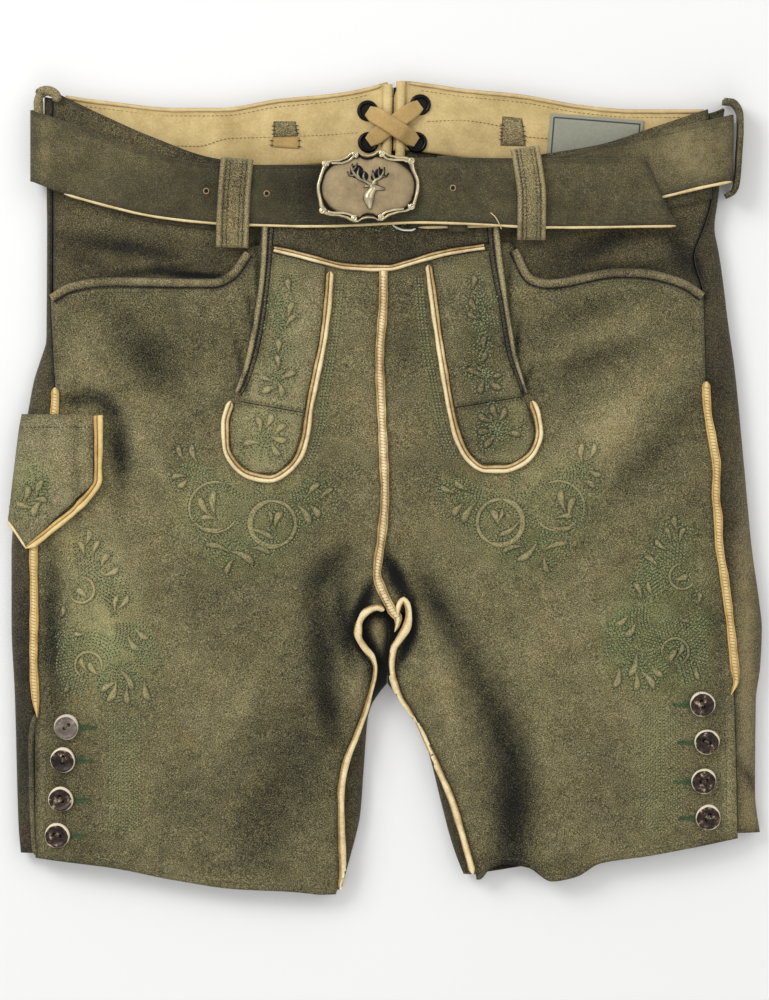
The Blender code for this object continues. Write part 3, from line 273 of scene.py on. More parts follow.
def lerp(a, b, share):
    """What lies a share of the way from a to b."""
    return a + (b - a) * share


def ramp(value, start, end):
    """0 before start, 1 after end, and a soft step between."""
    t = np.clip((value - start) / (end - start), 0.0, 1.0)
    return t * t * (3 - 2 * t)


def rise(distance, reach):
    """Height of a quarter ellipse, 0 at its end and 1 where it runs level."""
    t = np.clip(distance / reach, 0.0, 1.0)
    return np.sqrt(1 - (1 - t) ** 2)


side_fold = both_sides(SIDE_FOLDS)
side_seam = both_sides(SIDE_SEAMS)
inseam = both_sides(INSEAMS)
inner_fold = both_sides(INNER_FOLDS)
hem = both_sides(HEMS)
mouth = both_sides(POCKET_MOUTHS)
binding_outer = both_sides(BINDING_OUTER)
binding_inner = both_sides(BINDING_INNER)
tongue_inner = both_sides(TONGUE_INNER)
tip_outer = both_sides(TIP_OUTER)
tip_inner = both_sides(TIP_INNER)
cross_seam = both_sides(CROSS_SEAMS)
centre_back = smooth(CENTRE_BACK)
back_top = smooth(BACK_TOP)
front_top = smooth(FRONT_TOP)
front_band_edge = smooth(FRONT_BAND_EDGE)
drop_front_edge = smooth(DROP_FRONT_EDGE)
loft = smooth(LOFT)
opening_out = smooth(OPENING_OUT)


# ---------------------------------------------------------------- surfaces
# Fine creases of the front's leather: x, y, direction in degrees, half length, half width, height.
FINE_CREASES = [
    (-196, 62, 62, 26, 7, -1.3), (-182, 58, 70, 30, 8, 0.9), (-214, 96, 84, 26, 5, -0.9),
    (-160, 104, 12, 40, 9, 0.7), (-120, 92, 25, 46, 9, -0.6), (-146, 66, 48, 34, 8, 0.6),
    (-44, -66, 58, 34, 6, -1.0), (-66, -84, 36, 44, 8, 0.9), (-92, -104, 24, 50, 9, -0.8),
    (-130, -132, 16, 44, 10, 0.7), (-50, -128, 66, 40, 7, 0.8), (-74, -176, 60, 50, 9, -0.7),
    (-150, -196, 75, 40, 10, 0.6), (-190, -96, 88, 46, 9, 0.6), (-110, -232, 14, 36, 8, 0.6),
    (30, -58, 118, 30, 6, -1.0), (48, -78, 140, 40, 8, 0.9), (76, -98, 150, 50, 9, -0.8),
    (120, -122, 160, 46, 10, 0.7), (44, -150, 108, 44, 7, 0.8), (86, -176, 112, 48, 9, -0.7),
    (120, -214, 96, 34, 9, 1.0), (98, -228, 80, 22, 7, -1.0), (76, -226, 92, 22, 6, 0.9),
    (150, -206, 100, 34, 9, 0.6), (188, -60, 92, 50, 9, 0.6), (196, 44, 104, 34, 8, -1.0),
    (180, 96, 150, 30, 8, 0.7), (130, 108, 168, 46, 9, 0.5), (110, 40, 20, 40, 10, 0.6),
    (60, 6, 96, 34, 8, -0.5), (-20, 60, 88, 60, 6, 0.4), (24, 44, 92, 60, 6, 0.4),
]
# Larger folds of the front: x, y, direction in degrees, half length, half width, height, and
# the painted light (+) or painted shade (-) on the leather there.
FOLDS = [
    (-156, 84, 132, 36, 13, -3.6, -0.62), (-130, 96, 150, 40, 18, -1, -0.25),
    (-174, 46, 128, 52, 9, 3.2, 0.4), (-176, 26, 94, 26, 7, -5, -1.25), (-185, 54, 135, 13, 6, -3, -1),
    (-203, 58, 4, 16, 5, -2.4, -0.9), (-38, -54, 54, 22, 8, -4.08, -0.86),
    (-44, -104, 95, 38, 9, -4.42, -0.9), (-37, -152, 102, 26, 7, -2.72, -0.65),
    (-27, -118, 95, 28, 6, 2.72, 0.2), (-94, -143, 61, 62, 8, 2.04, 0.25),
    (-66, -192, 62, 60, 26, -2.04, -0.5), (33, -76, 121, 26, 8, -3.74, -0.79),
    (57, -117, 118, 30, 10, -5.5, -0.72), (77, -163, 112, 32, 11, -5.5, -0.75),
    (84, -220, 91, 42, 13, -7, -1.35), (42, -152, 105, 44, 8, 3.06, 0.4),
    (112, -184, 105, 56, 13, 2.38, 0.2), (152, 44, 40, 64, 16, 2.72, 0.5),
    (142, 100, 24, 50, 12, 2.04, 0.3), (138, 84, 20, 34, 9, -2.72, -0.5),
    (132, 116, 20, 34, 8, -1.7, -0.35), (166, 12, 48, 60, 10, -2.38, -0.45),
    (-190, -95, 90, 60, 20, 1.36, 0.45), (-221, -92, 91, 66, 6, -1.4, -0.75),
    (-15.5, -78, 68, 15, 3.6, -2.4, -2.7), (-26, -102, 95, 24, 5, -1.6, -0.9),
    (7, -60, 116, 16, 4.6, -2.8, -2.6), (17, -87, 92, 13, 3.4, -2, -2.6),
    (13, -105, 70, 12, 3.2, -1.6, -2.4), (-9, -46, 84, 22, 4, 0.8, 0.2),
    (-18, -104, 118, 10, 2.6, -1.4, -2.4), (-21, -131, 100, 17, 6, 1.02, 0.5),
    (-9, -105, 120, 13, 3.4, -0.6, -2.6), (8, -88, 62, 10, 3.2, -0.6, -2.6),
    (-12, -90, 80, 9, 2.4, -0.4, -2), (-30, -80, 80, 30, 6, -1.7, -0.43),
    (-3, -121, 100, 14, 7.5, -1.02, -2.02), (-166, 92, 132, 40, 12, -1.02, -0.2),
    (-84, 70, 88, 20, 9, 1.02, 0.4), (-205, 14, 90, 40, 3, -0.6, -0.4),
]


def belt_bed(x, y):
    """Height of the back panels' underside: on the floor, or on the belt under the waist."""
    return ramp(y, *WAIST_RISE) * BELT_BED + 0.0 * x


def loop_bed(x):
    """Height of the belt's underside at the back, where it lies on its loops."""
    reach, steepness = 26, 1.8
    loops = sum(np.exp(-((x - at) / reach) ** 2) for at in (SIDE_LOOP_X, *BACK_LOOPS.values()))
    return LOOP_BED * np.minimum(steepness * loops, 1.0)


def fold_height(y):
    """Height of the fold line at the sides."""
    return SIDE_FOLD + 0.6 * BELT_BED * ramp(y, *WAIST_RISE)


def creases(x, y, rows):
    """Height of soft ridges and furrows at x and y; the rows are as in CREASES."""
    height = 0.0 * x
    for at_x, at_y, degrees, long, wide, high in rows:
        turn = math.radians(degrees)
        along = (x - at_x) * math.cos(turn) + (y - at_y) * math.sin(turn)
        across = (y - at_y) * math.cos(turn) - (x - at_x) * math.sin(turn)
        height = height + high * np.exp(-(along / long) ** 2 - (across / wide) ** 2)
    return height


def centre_line(y):
    """x that divides the front into its right and left halves."""
    return np.where(y < CROTCH_Y, 0.5, inseam["right"](y))


def inner_line(side, y):
    """The fold between the legs, and above it the middle line of the crotch."""
    return np.where(y < APEX_Y, inner_fold[side](y), 0.5 - 0.15 * INWARD[side])


def skin(x, y):
    """Height of the front panels' outer face; what lies on the front follows it."""
    is_right = x < centre_line(y)
    outside = np.where(is_right, x - side_fold["right"](y), side_fold["left"](y) - x)
    inside = np.where(is_right, inner_line("right", y) - x, x - inner_line("left", y))
    low = fold_height(y)
    top = loft(y) + creases(x, y, CREASES) * ramp(outside, 0, BROAD_FADE)
    between_legs = (top - low) * (1 - opening_out(y)) * (1 - rise(inside, INSEAM_REACH))
    height = low + (top - low) * rise(outside, FOLD_REACH) - between_legs
    folds = creases(x, y, [row[:6] for row in FOLDS])
    fade = lerp(ramp(inside, 0, INNER_FADE), 1.0, opening_out(y)) * ramp(outside, 0, SIDE_FADE)
    return height + (FINE_SHARE * creases(x, y, FINE_CREASES) + folds) * fade


def lining(x, y):
    """Upper face of the inner waistband, which lies inside the back panels."""
    return belt_bed(x, y) + LINING_LIFT


def belt_over(x, y):
    """The front's height under the stiff belt, which doesn't follow the side folds."""
    return loft(y) + 0.0 * x


def normals_of(surface, x, y):
    """Unit normals of a surface over arrays of x and y."""
    step = 0.05
    slope_x = (surface(x + step, y) - surface(x - step, y)) / (2 * step)
    slope_y = (surface(x, y + step) - surface(x, y - step)) / (2 * step)
    normal = np.stack([-slope_x, -slope_y, np.ones_like(slope_x)], axis=-1)
    return normal / np.linalg.norm(normal, axis=-1, keepdims=True)


def laid(surface, x, y, lift):
    """Points over (x, y) on a surface, moved out along its normal."""
    x, y = np.broadcast_arrays(np.asarray(x, float), np.asarray(y, float))
    points = np.stack([x, y, surface(x, y)], axis=-1)
    return points + normals_of(surface, x, y) * np.asarray(lift, float)[..., None]


def grid_faces(rows, columns, flip=False, closed=False):
    """Quads of a grid of points; closed joins the last column to the first."""
    across = np.arange(columns if closed else columns - 1)
    start = (np.arange(rows - 1)[:, None] * columns + across).ravel()
    beside = (np.arange(rows - 1)[:, None] * columns + (across + 1) % columns).ravel()
    quads = np.stack([start, beside, beside + columns, start + columns], axis=1)
    return quads[:, ::-1] if flip else quads


def merge_points(mesh, apart=0.02):
    """Joins a mesh's points that lie on each other."""
    bm = bmesh.new()
    bm.from_mesh(mesh)
    bmesh.ops.remove_doubles(bm, verts=bm.verts, dist=apart * MM)
    bm.to_mesh(mesh)
    bm.free()


def new_piece(name, points, faces, material, node=None, slot=None, attributes=None, sharp=40,
              merge=False):
    """An object from points in millimetres, which stands for a node, if one is given.

    The attributes are values for each point, which its material reads. Edges sharper than so
    many degrees stay sharp, and with 0 none does.
    """
    mesh = bpy.data.meshes.new(name)
    mesh.from_pydata((np.asarray(points).reshape(-1, 3) * MM).tolist(), [], [list(f) for f in faces])
    mesh.materials.append(MATERIALS[material])
    for key, values in (attributes or {}).items():
        layer = mesh.attributes.new(key, "FLOAT", "POINT")
        layer.data.foreach_set("value", np.asarray(values, float).ravel())
    if merge:
        merge_points(mesh)
    mesh.shade_smooth()
    if sharp:
        mesh.set_sharp_from_angle(angle=math.radians(sharp))
    piece = bpy.data.objects.new(name, mesh)
    bpy.context.scene.collection.objects.link(piece)
    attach(piece, "root")
    if node:
        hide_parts(node)
    return piece


def wall(piece, thickness):
    """Gives a sheet its thickness, inwards."""
    solid = piece.modifiers.new("Leather", "SOLIDIFY")
    solid.thickness = thickness * MM
    solid.offset = -1.0
    solid.use_quality_normals = True


def edge_share(points, reach=4.0):
    """0 on a grid's outline and 1 from reach millimetres inside it."""
    rows, columns = points.shape[:2]
    across = np.linalg.norm(np.diff(points, axis=1), axis=-1)
    along = np.linalg.norm(np.diff(points, axis=0), axis=-1)
    left = np.concatenate([np.zeros((rows, 1)), np.cumsum(across, axis=1)], axis=1)
    low = np.concatenate([np.zeros((1, columns)), np.cumsum(along, axis=0)], axis=0)
    near = np.minimum(np.minimum(left, left[:, -1:] - left), np.minimum(low, low[-1:] - low))
    return np.clip(near / reach, 0.0, 1.0)


def hide_piece(name, points, thickness, material, node, slot, flip=False, light=0.0):
    """A leather sheet on a grid of points; light, painted highlight and shade, is added to its tone."""
    rows, columns = points.shape[:2]
    piece = new_piece(name, points, grid_faces(rows, columns, flip), material, node, slot,
                      {"worn_and_painted_light": worn_and_painted_light_at(points[..., 0], points[..., 1]) + light,
                       "green": green_at(points[..., 0], points[..., 1]),
                       "edge": edge_share(points)})
    wall(piece, thickness)
    return piece


def panel_grid(columns, rows, lines):
    """x and y arrays between two upright lines and two level ones."""
    left, right, bottom, top = lines
    u, v = np.meshgrid(np.linspace(0, 1, columns + 1), np.linspace(0, 1, rows + 1))
    x = 0.0 * u
    for _ in range(40):
        y = lerp(bottom(x), top(x), v)
        x = lerp(left(y), right(y), u)
    return x, y


def path_points(path, count):
    """Evenly spaced points and directions on a smooth path through the given (x, y) rows."""
    corners = np.array(path, float)
    reach = np.concatenate([[0.0], np.cumsum(np.hypot(*np.diff(corners, axis=0).T))])
    along = np.linspace(0.0, reach[-1], count)
    run = [smooth(list(zip(reach, corners[:, axis]))) for axis in (0, 1)]
    points = np.stack([run[0](along), run[1](along)], axis=1)
    direction = np.gradient(points, axis=0)
    return points, direction / np.linalg.norm(direction, axis=1)[:, None]


def path_length(path):
    """Length of a path of (x, y) points."""
    return float(np.hypot(*np.diff(np.array(path, float), axis=0).T).sum())


def beside(line, span, count, offset):
    """(x, y) points along a line y(x) between two x, moved up by an offset."""
    return [(x, float(line(x)) + offset) for x in np.linspace(*span, count)]


def turned(direction, degrees):
    """Level directions turned to the left."""
    cos, sin = math.cos(math.radians(degrees)), math.sin(math.radians(degrees))
    return np.stack([direction[:, 0] * cos - direction[:, 1] * sin,
                     direction[:, 0] * sin + direction[:, 1] * cos], axis=1)


# ---------------------------------------------------------------- sewing
# Along a stitch: share of its length from its middle, shares of its width and height.
STITCH_SECTIONS = [(-0.5, 0.35, 0.45), (-0.25, 1.0, 1.0), (0.25, 1.0, 1.0), (0.5, 0.35, 0.45)]
STITCH_POINTS = 3 * len(STITCH_SECTIONS)


class Threads:
    """Collects stitches, each a small closed ridge, and makes them one object."""

    def __init__(self):
        self.points, self.tints = [], []
        self.random = np.random.default_rng(7)

    def add(self, middle, direction, normal, length, width, height):
        """Stitches at arrays of middle points, with their directions and normals."""
        side = np.cross(normal, direction)
        side /= np.linalg.norm(side, axis=-1, keepdims=True)
        sink = normal * (-0.25 * height)
        for at, wide, high in STITCH_SECTIONS:
            base = middle + direction * (at * length)
            self.points.append(base - side * (wide * width / 2) + sink)
            self.points.append(base + normal * (high * height))
            self.points.append(base + side * (wide * width / 2) + sink)
        self.tints.append(self.random.uniform(0.0, 1.0, len(middle)))

    def along(self, path, surface, lift, pitch=3.0, length=2.1, width=0.8, height=0.45, slant=0):
        """A row of stitches along a path on a surface, turned from it by slant degrees.

        The pitch is the distance from one stitch to the next.
        """
        count = max(2, int(path_length(path) / pitch) + 1)
        points, direction = path_points(path, count)
        if slant:
            direction = turned(direction, slant)
        self.at(points, direction, surface, lift, length, width, height)

    def at(self, points, direction, surface, lift, length, width, height):
        """Stitches at (x, y) points on a surface, with level directions."""
        x, y = points[:, 0], points[:, 1]
        ahead = laid(surface, x + direction[:, 0] * 0.4, y + direction[:, 1] * 0.4, lift)
        middle = laid(surface, x, y, lift)
        along = ahead - middle
        along /= np.linalg.norm(along, axis=1, keepdims=True)
        self.add(middle, along, normals_of(surface, x, y), length, width, height)

    def make(self, name, material, slot):
        """One object of all the stitches, with a tint for each."""
        groups = [np.stack(self.points[start:start + STITCH_POINTS], axis=1)
                  for start in range(0, len(self.points), STITCH_POINTS)]
        points = np.concatenate(groups)
        first = np.arange(len(points)) * STITCH_POINTS
        sides = grid_faces(len(STITCH_SECTIONS), 3, closed=True)
        faces = (first[:, None, None] + sides).reshape(-1, 4).tolist()
        for start in first.tolist():
            faces.append((start + 2, start + 1, start))
            faces.append((start + 9, start + 10, start + 11))
        tint = np.repeat(np.concatenate(self.tints), STITCH_POINTS)
        new_piece(name, points, faces, material, None, slot, {"tint": tint}, 0)


# The groups of stitches: name of the piece, material, slot.
STITCHES = {
    "edging": ("stitches_edging", "brown thread", "tan_edging"),
    "belt": ("stitches_belt", "olive thread", "belt_suede"),
    "panels": ("stitches_panels", "olive thread", "suede_olive"),
    "dark": ("stitches_dark", "dark thread", "suede_dark"),
    "pale": ("stitches_lining", "brown thread", "tan_leather"),
    "holes": ("buttonholes", "buttonhole thread", "suede_olive"),
    "embroidery": ("embroidery", "green thread", "suede_olive"),
    "bright": ("embroidery_tips", "bright green thread", "suede_olive"),
    "pit_shades": ("embroidery_pit_shades", "pit", "suede_olive"),
}
SEWING = {group: Threads() for group in STITCHES}


# ---------------------------------------------------------------- materials
MATERIALS = {}


def linear(red, green, blue):
    """A colour that a screen shows as these values of 0 to 255."""
    def one(value):
        value /= 255
        return value / 12.92 if value <= 0.04045 else ((value + 0.055) / 1.055) ** 2.4

    return (one(red), one(green), one(blue), 1.0)


class Graph:
    """A material's nodes, made and joined with short calls."""

    def __init__(self, name):
        self.material = bpy.data.materials.new(name)
        self.material.use_nodes = True
        self.nodes = self.material.node_tree.nodes
        self.links = self.material.node_tree.links
        self.shader = self.nodes["Principled BSDF"]
        self.place = self.nodes.new("ShaderNodeTexCoord").outputs["Object"]
        MATERIALS[name] = self.material

    def node(self, kind, inputs=None, **settings):
        """A new node with its settings and its inputs' values or sources."""
        made = self.nodes.new(kind)
        for key, value in settings.items():
            setattr(made, key, value)
        for key, value in (inputs or {}).items():
            self.put(made.inputs[key], value)
        return made

    def put(self, socket, value):
        """Links a socket to its source, or sets its value."""
        if isinstance(value, bpy.types.NodeSocket):
            self.links.new(value, socket)
        else:
            socket.default_value = value

    def noise(self, size, detail=2.0, rough=0.5):
        """Noise of 0 to 1 whose patches are about size millimetres across."""
        made = self.node("ShaderNodeTexNoise", {"Vector": self.place, "Scale": 1.0 / (size * MM),
                                                "Detail": detail, "Roughness": rough})
        return made.outputs["Fac"]

    def math(self, operation, a, b=0.0, clamp=False):
        """The result of one sum on two values."""
        return self.node("ShaderNodeMath", {0: a, 1: b}, operation=operation,
                         use_clamp=clamp).outputs[0]

    def attribute(self, name):
        """The value that a piece's points carry under this name."""
        return self.node("ShaderNodeAttribute", attribute_name=name).outputs["Fac"]

    def total(self, base, *terms):
        """base plus each weight times (value - middle)."""
        value = base
        for weight, source, middle in terms:
            moved = self.math("SUBTRACT", source, middle)
            value = self.math("ADD", value, self.math("MULTIPLY", moved, weight))
        return value

    def ramp(self, factor, stops):
        """A colour ramp; stops are (position, colour as a screen shows it)."""
        made = self.node("ShaderNodeValToRGB", {"Fac": factor})
        ramp = made.color_ramp
        while len(ramp.elements) < len(stops):
            ramp.elements.new(0.5)
        for element, (position, colour) in zip(ramp.elements, stops):
            element.position = position
            element.color = linear(*colour)
        return made.outputs["Color"]

    def mix(self, factor, a, b, blend="MIX"):
        """Two colours mixed by a factor."""
        made = self.node("ShaderNodeMix", data_type="RGBA", blend_type=blend)
        self.put(made.inputs[0], factor)
        self.put(made.inputs[6], a)
        self.put(made.inputs[7], b)
        return made.outputs[2]

    def bump(self, height, strength, distance):
        """Fine relief of the surface, its height given in millimetres."""
        made = self.node("ShaderNodeBump", {"Height": height, "Strength": strength,
                                            "Distance": distance * MM})
        self.put(self.shader.inputs["Normal"], made.outputs[0])

    def finish(self, colour, roughness, **sockets):
        """Joins colour and roughness to the shader, and sets its other sockets."""
        self.put(self.shader.inputs["Base Color"], colour)
        self.put(self.shader.inputs["Roughness"], roughness)
        for key, value in sockets.items():
            self.shader.inputs[key.replace("_", " ")].default_value = value


# Painted shade of the deepest folds, at the dark end of the suede's ramp.
PAINTED_FOLD_SHADE = (4, 4, 3)       # the depth of the deepest folds


def suede(name, dark, middle, light, worn_and_painted_light_weight=0.36, nap_weight=1.75, edge_weight=0.12):
    """Brushed hide: speckled nap, faint clouds, and the worn places, painted shade and light of the
    piece.
    """
    graph = Graph(name)
    worn_and_painted_light, edge, green = (graph.attribute(key) for key in ("worn_and_painted_light", "edge", "green"))
    nap = graph.noise(0.72, 2.0, 0.7)
    grain = graph.noise(0.42, 1.0)
    cloud = graph.noise(9.0, 3.0, 0.6)
    patch = graph.noise(45.0, 2.0, 0.5)
    # Tone: worn places with painted shade and light; edge darkens a sheet near its outline, and on a
    # strip it is its section's painted highlight and shade.
    tone = graph.total(0.47, (worn_and_painted_light_weight, worn_and_painted_light, 0.0), (nap_weight, nap, 0.5),
                       (0.6 * nap_weight, grain, 0.5), (0.3, cloud, 0.5), (0.35, patch, 0.5),
                       (edge_weight, edge, 1.0))
    colour = graph.ramp(tone, [(0.0, PAINTED_FOLD_SHADE), (0.1, dark), (0.5, middle), (1.0, light)])
    warm = graph.math("MULTIPLY", graph.math("SUBTRACT", graph.noise(24.0, 3.0), 0.42), 1.8, True)
    colour = graph.mix(warm, colour, (1.0, 0.92, 0.80, 1.0), "MULTIPLY")
    thread_tint = graph.math("MULTIPLY", green, 0.7, True)
    colour = graph.mix(thread_tint, colour, (0.80, 0.98, 0.80, 1.0), "MULTIPLY")
    graph.bump(graph.total(0.5, (0.6, nap, 0.5), (0.5, grain, 0.5)), 0.8, 0.6)
    graph.finish(colour, 0.92, Sheen_Weight=0.15, Sheen_Roughness=0.6, Specular_IOR_Level=0.15)


def smooth_leather(name, dark, light):
    """Tan leather with a fine grain and soft stains, and the painted shade and light of a piece."""
    graph = Graph(name)
    worn_and_painted_light, edge = graph.attribute("worn_and_painted_light"), graph.attribute("edge")
    grain = graph.noise(1.3, 3.0, 0.6)
    stain = graph.noise(22.0, 4.0, 0.6)
    tone = graph.total(0.55, (0.5, grain, 0.5), (0.9, stain, 0.5), (0.2, worn_and_painted_light, 0.0), (0.3, edge, 1.0))
    colour = graph.ramp(tone, [(0.1, dark), (0.85, light)])
    graph.bump(grain, 0.35, 0.4)
    graph.finish(colour, 0.7, Sheen_Weight=0.1, Specular_IOR_Level=0.25)


def edging(name, dark, middle, light):
    """Folded leather edging: cream on its roll and brown on its lip, with painted shade in its groove.
    """
    graph = Graph(name)
    edge = graph.attribute("edge")
    grain = graph.noise(1.1, 3.0, 0.6)
    stain = graph.noise(8.0, 3.0, 0.6)
    worn = graph.noise(30.0, 2.0, 0.5)
    tone = graph.total(0.0, (0.9, edge, 0.0), (0.6, grain, 0.5), (0.6, stain, 0.5), (0.6, worn, 0.5))
    colour = graph.ramp(tone, [(0.0, dark), (0.5, middle), (1.0, light)])
    graph.bump(grain, 0.5, 0.3)
    graph.finish(colour, 0.7, Sheen_Weight=0.1, Specular_IOR_Level=0.25)


def thread(name, dark, light):
    """Sewing thread, each stitch with its own tint."""
    graph = Graph(name)
    tone = graph.total(0.5, (0.6, graph.attribute("tint"), 0.5), (0.6, graph.noise(0.5, 2.0), 0.5))
    graph.finish(graph.ramp(tone, [(0.0, dark), (1.0, light)]), 0.75, Sheen_Weight=0.2,
                 Specular_IOR_Level=0.3)


def antique_metal(name, dark, light, roughness, patina):
    """Cast metal with dark patina where the noise and the recesses hold it."""
    graph = Graph(name)
    cloud = graph.noise(7.0, 4.0, 0.65)
    fine = graph.noise(0.9, 3.0, 0.6)
    hollow = graph.attribute("hollow")
    tone = graph.total(0.62, (patina, cloud, 0.5), (0.35, fine, 0.5), (-0.75, hollow, 0.0))
    colour = graph.ramp(tone, [(0.0, dark), (0.75, light)])
    shine = graph.total(roughness, (0.35, cloud, 0.5), (0.25, hollow, 0.0))
    graph.bump(fine, 0.15, 0.15)
    graph.finish(colour, shine, Metallic=0.85)


def horn(name, dark, middle, light, base=0.33, marbling=2.3):
    """Stag horn: mottled face, with a paler bark along part of the rim and painted shade in its holes.
    """
    graph = Graph(name)
    tint = graph.attribute("tint")
    marble = graph.noise(3.8, 4.0, 0.6)
    fibre = graph.noise(0.6, 2.0)
    tone = graph.total(base, (marbling, marble, 0.5), (0.4, fibre, 0.5), (0.85, tint, 0.0))
    colour = graph.ramp(tone, [(0.1, dark), (0.5, middle), (0.95, light)])
    graph.bump(marble, 0.6, 0.7)
    graph.finish(colour, 0.42, Specular_IOR_Level=0.3, Coat_Weight=0.08)


def plain(name, colour, roughness, metallic=0.0, grain=0.0):
    """One colour, with a darker grain where asked for."""
    graph = Graph(name)
    noise = graph.noise(2.0, 3.0)
    base = graph.mix(graph.math("MULTIPLY", noise, grain), linear(*colour),
                     linear(*[c * 0.55 for c in colour]))
    graph.finish(base, roughness, Metallic=metallic)


def make_materials():
    """All materials: their colours are those of the screen, from dark to light."""
    suede("olive suede", (22, 21, 12), (99, 94, 64), (188, 174, 128))
    suede("light suede", (26, 24, 15), (108, 102, 70), (194, 181, 138))
    suede("back suede", (20, 18, 11), (80, 73, 50), (156, 142, 102))
    suede("dark suede", (18, 17, 10), (78, 72, 49), (156, 142, 103))
    suede("belt suede", (24, 22, 14), (79, 74, 51), (164, 149, 106), 0.42, 1.05)
    suede("welt suede", (24, 22, 15), (108, 99, 70), (190, 175, 130), edge_weight=0.22)
    suede("loop suede", (24, 22, 15), (138, 126, 88), (206, 188, 140), edge_weight=0.2)
    smooth_leather("tan lining", (154, 127, 76), (230, 205, 145))
    smooth_leather("lace leather", (142, 110, 62), (206, 174, 112))
    edging("lip leather", (96, 74, 44), (186, 158, 106), (222, 198, 146))
    edging("cut leather", (82, 64, 40), (200, 170, 118), (240, 220, 168))
    edging("pale edging", (52, 42, 26), (180, 146, 92), (250, 233, 184))
    edging("golden edging", (108, 80, 38), (200, 164, 98), (242, 218, 154))
    thread("green thread", (102, 112, 68), (172, 176, 124))
    thread("bright green thread", (96, 122, 68), (168, 188, 124))
    thread("buttonhole thread", (26, 54, 20), (92, 132, 70))
    # Painted shade in the gaps between embroidery stitches.
    thread("pit", (22, 26, 14), (58, 60, 38))
    thread("olive thread", (44, 40, 28), (112, 103, 76))
    thread("dark thread", (22, 20, 14), (56, 51, 38))
    thread("pale thread", (186, 152, 92), (236, 214, 160))
    thread("brown thread", (96, 68, 32), (148, 112, 62))
    antique_metal("antique bronze", (24, 20, 15), (236, 222, 184), 0.28, 0.75)
    antique_metal("buckle ground", (46, 37, 31), (196, 174, 134), 0.45, 0.4)
    plain("wire", (226, 222, 210), 0.18, 1.0)
    horn("horn", (16, 10, 6), (66, 43, 28), (230, 218, 190))
    horn("grey horn", (52, 43, 34), (112, 100, 88), (206, 194, 176), 0.5, 0.8)
    plain("black metal", (16, 16, 19), 0.25, 0.6, 0.3)
    plain("woven label", (160, 160, 142), 0.85, 0.0, 0.35)
    plain("label border", (60, 66, 62), 0.85)
    # Painted shade inside the holes of the belt and the eyelets.
    plain("dark inside", (14, 13, 10), 0.95)


# ---------------------------------------------------------------- worn places and painted light
# Patches painted lighter (+) or darker (-) on the leather, in the creases' form: x, y, direction in
# degrees, half length, half width, strength. Some are its worn places and tone. The darkest are
# painted shade: under the pocket mouths, beside the tongues' bindings and the edgings, and in the
# yokes' folds.
WORN_AND_PAINTED_LIGHT = [
    (-196, 122, 0, 26, 10, -0.2), (-150, 50, 0, 40, 20, 0.1), (-205, 100, 60, 22, 9, 0.15),
    (-120, -22, 0, 60, 40, 0.25), (-60, 30, 90, 60, 20, 0.15), (-140, -110, 90, 60, 30, 0.3),
    (-110, -60, 0, 50, 16, -0.1), (-200, -210, 90, 40, 20, -0.15), (-130, -262, -6, 100, 5, 0.35),
    (-222, -80, 90, 60, 10, -0.2), (-214, -190, 90, 40, 4, -0.3), (-228, -195, 90, 45, 3, 0.1),
    (-20, 100, 90, 50, 14, 0.2), (14, 100, 90, 60, 14, -0.2), (-16, 0, 90, 60, 12, 0.2),
    (12, 0, 90, 60, 12, 0.05), (-62, 80, 90, 40, 14, 0.1), (60, 100, 90, 50, 14, -0.45),
    (-78, 30, 0, 20, 16, -0.05), (72, 34, 0, 22, 18, -0.4), (110, -100, 0, 60, 40, 0.2),
    (120, 20, 40, 70, 40, 0.2), (-80, 36, 90, 34, 22, 0.45), (-60, 100, 96, 44, 14, 0.2),
    (80, 34, 90, 26, 20, 0.25), (238, -110, 90, 130, 9, 1.2), (-4, -100, 90, 24, 9, 0.2),
    (170, -90, 90, 70, 34, 0.2), (150, -200, 100, 50, 30, 0.05), (226, -200, 90, 40, 3, 0.4),
    (240, -192, 122, 14, 3, -0.9), (241, -214, 90, 16, 7, 0.6), (222, -100, 90, 70, 8, -0.35),
    (96, -250, 0, 40, 8, -0.4), (170, -246, 4, 60, 5, 0.3), (40, -210, 110, 50, 8, -0.2),
    (130, 20, 0, 30, 20, -0.1), (100, 60, 90, 40, 10, -0.2), (0, 160, 0, 70, 10, -0.35),
    (-178, 160, -10, 34, 6, -1.2), (-150, 170, -6, 50, 5, 0.1), (-127, 140.6, -3, 18, 2.2, -2.4),
    (-160, 143, 8, 30, 3, -0.8), (-200, 150, -30, 20, 8, -0.6), (138, 158, 25, 26, 7, -0.9),
    (-86, 145, 92, 24, 1.8, -0.9), (-89, 112, 99, 16, 1.8, -0.9), (-96.5, 82, 104, 22, 1.8, -0.9),
    (82, 140, 87, 26, 1.8, -0.9), (86.5, 96, 82, 20, 1.8, -0.9), (92.5, 70, 71, 12, 1.8, -0.9),
    (198, 152, -60, 16, 8, -1.0), (165, 166, 8, 30, 5, -0.2), (150, 144, 4, 36, 4, -0.7),
    (-190, 222, -14, 50, 22, 0.15), (-120, 200, 0, 40, 26, -0.3), (-52, 196, 0, 30, 26, -0.5),
    (60, 196, 0, 34, 26, -0.1), (140, 204, 0, 40, 26, 0.1), (205, 222, 0, 26, 24, 0.7),
    (-225, 225, 90, 24, 5, 0.4), (-220, 6, 90, 50, 34, 0.5), (-240, -150, 90, 100, 8, -0.5),
    (-184, -96, 90, 44, 26, 0.3), (-173, -186, 90, 44, 16, 0.3), (180, -186, 90, 44, 18, 0.3),
]
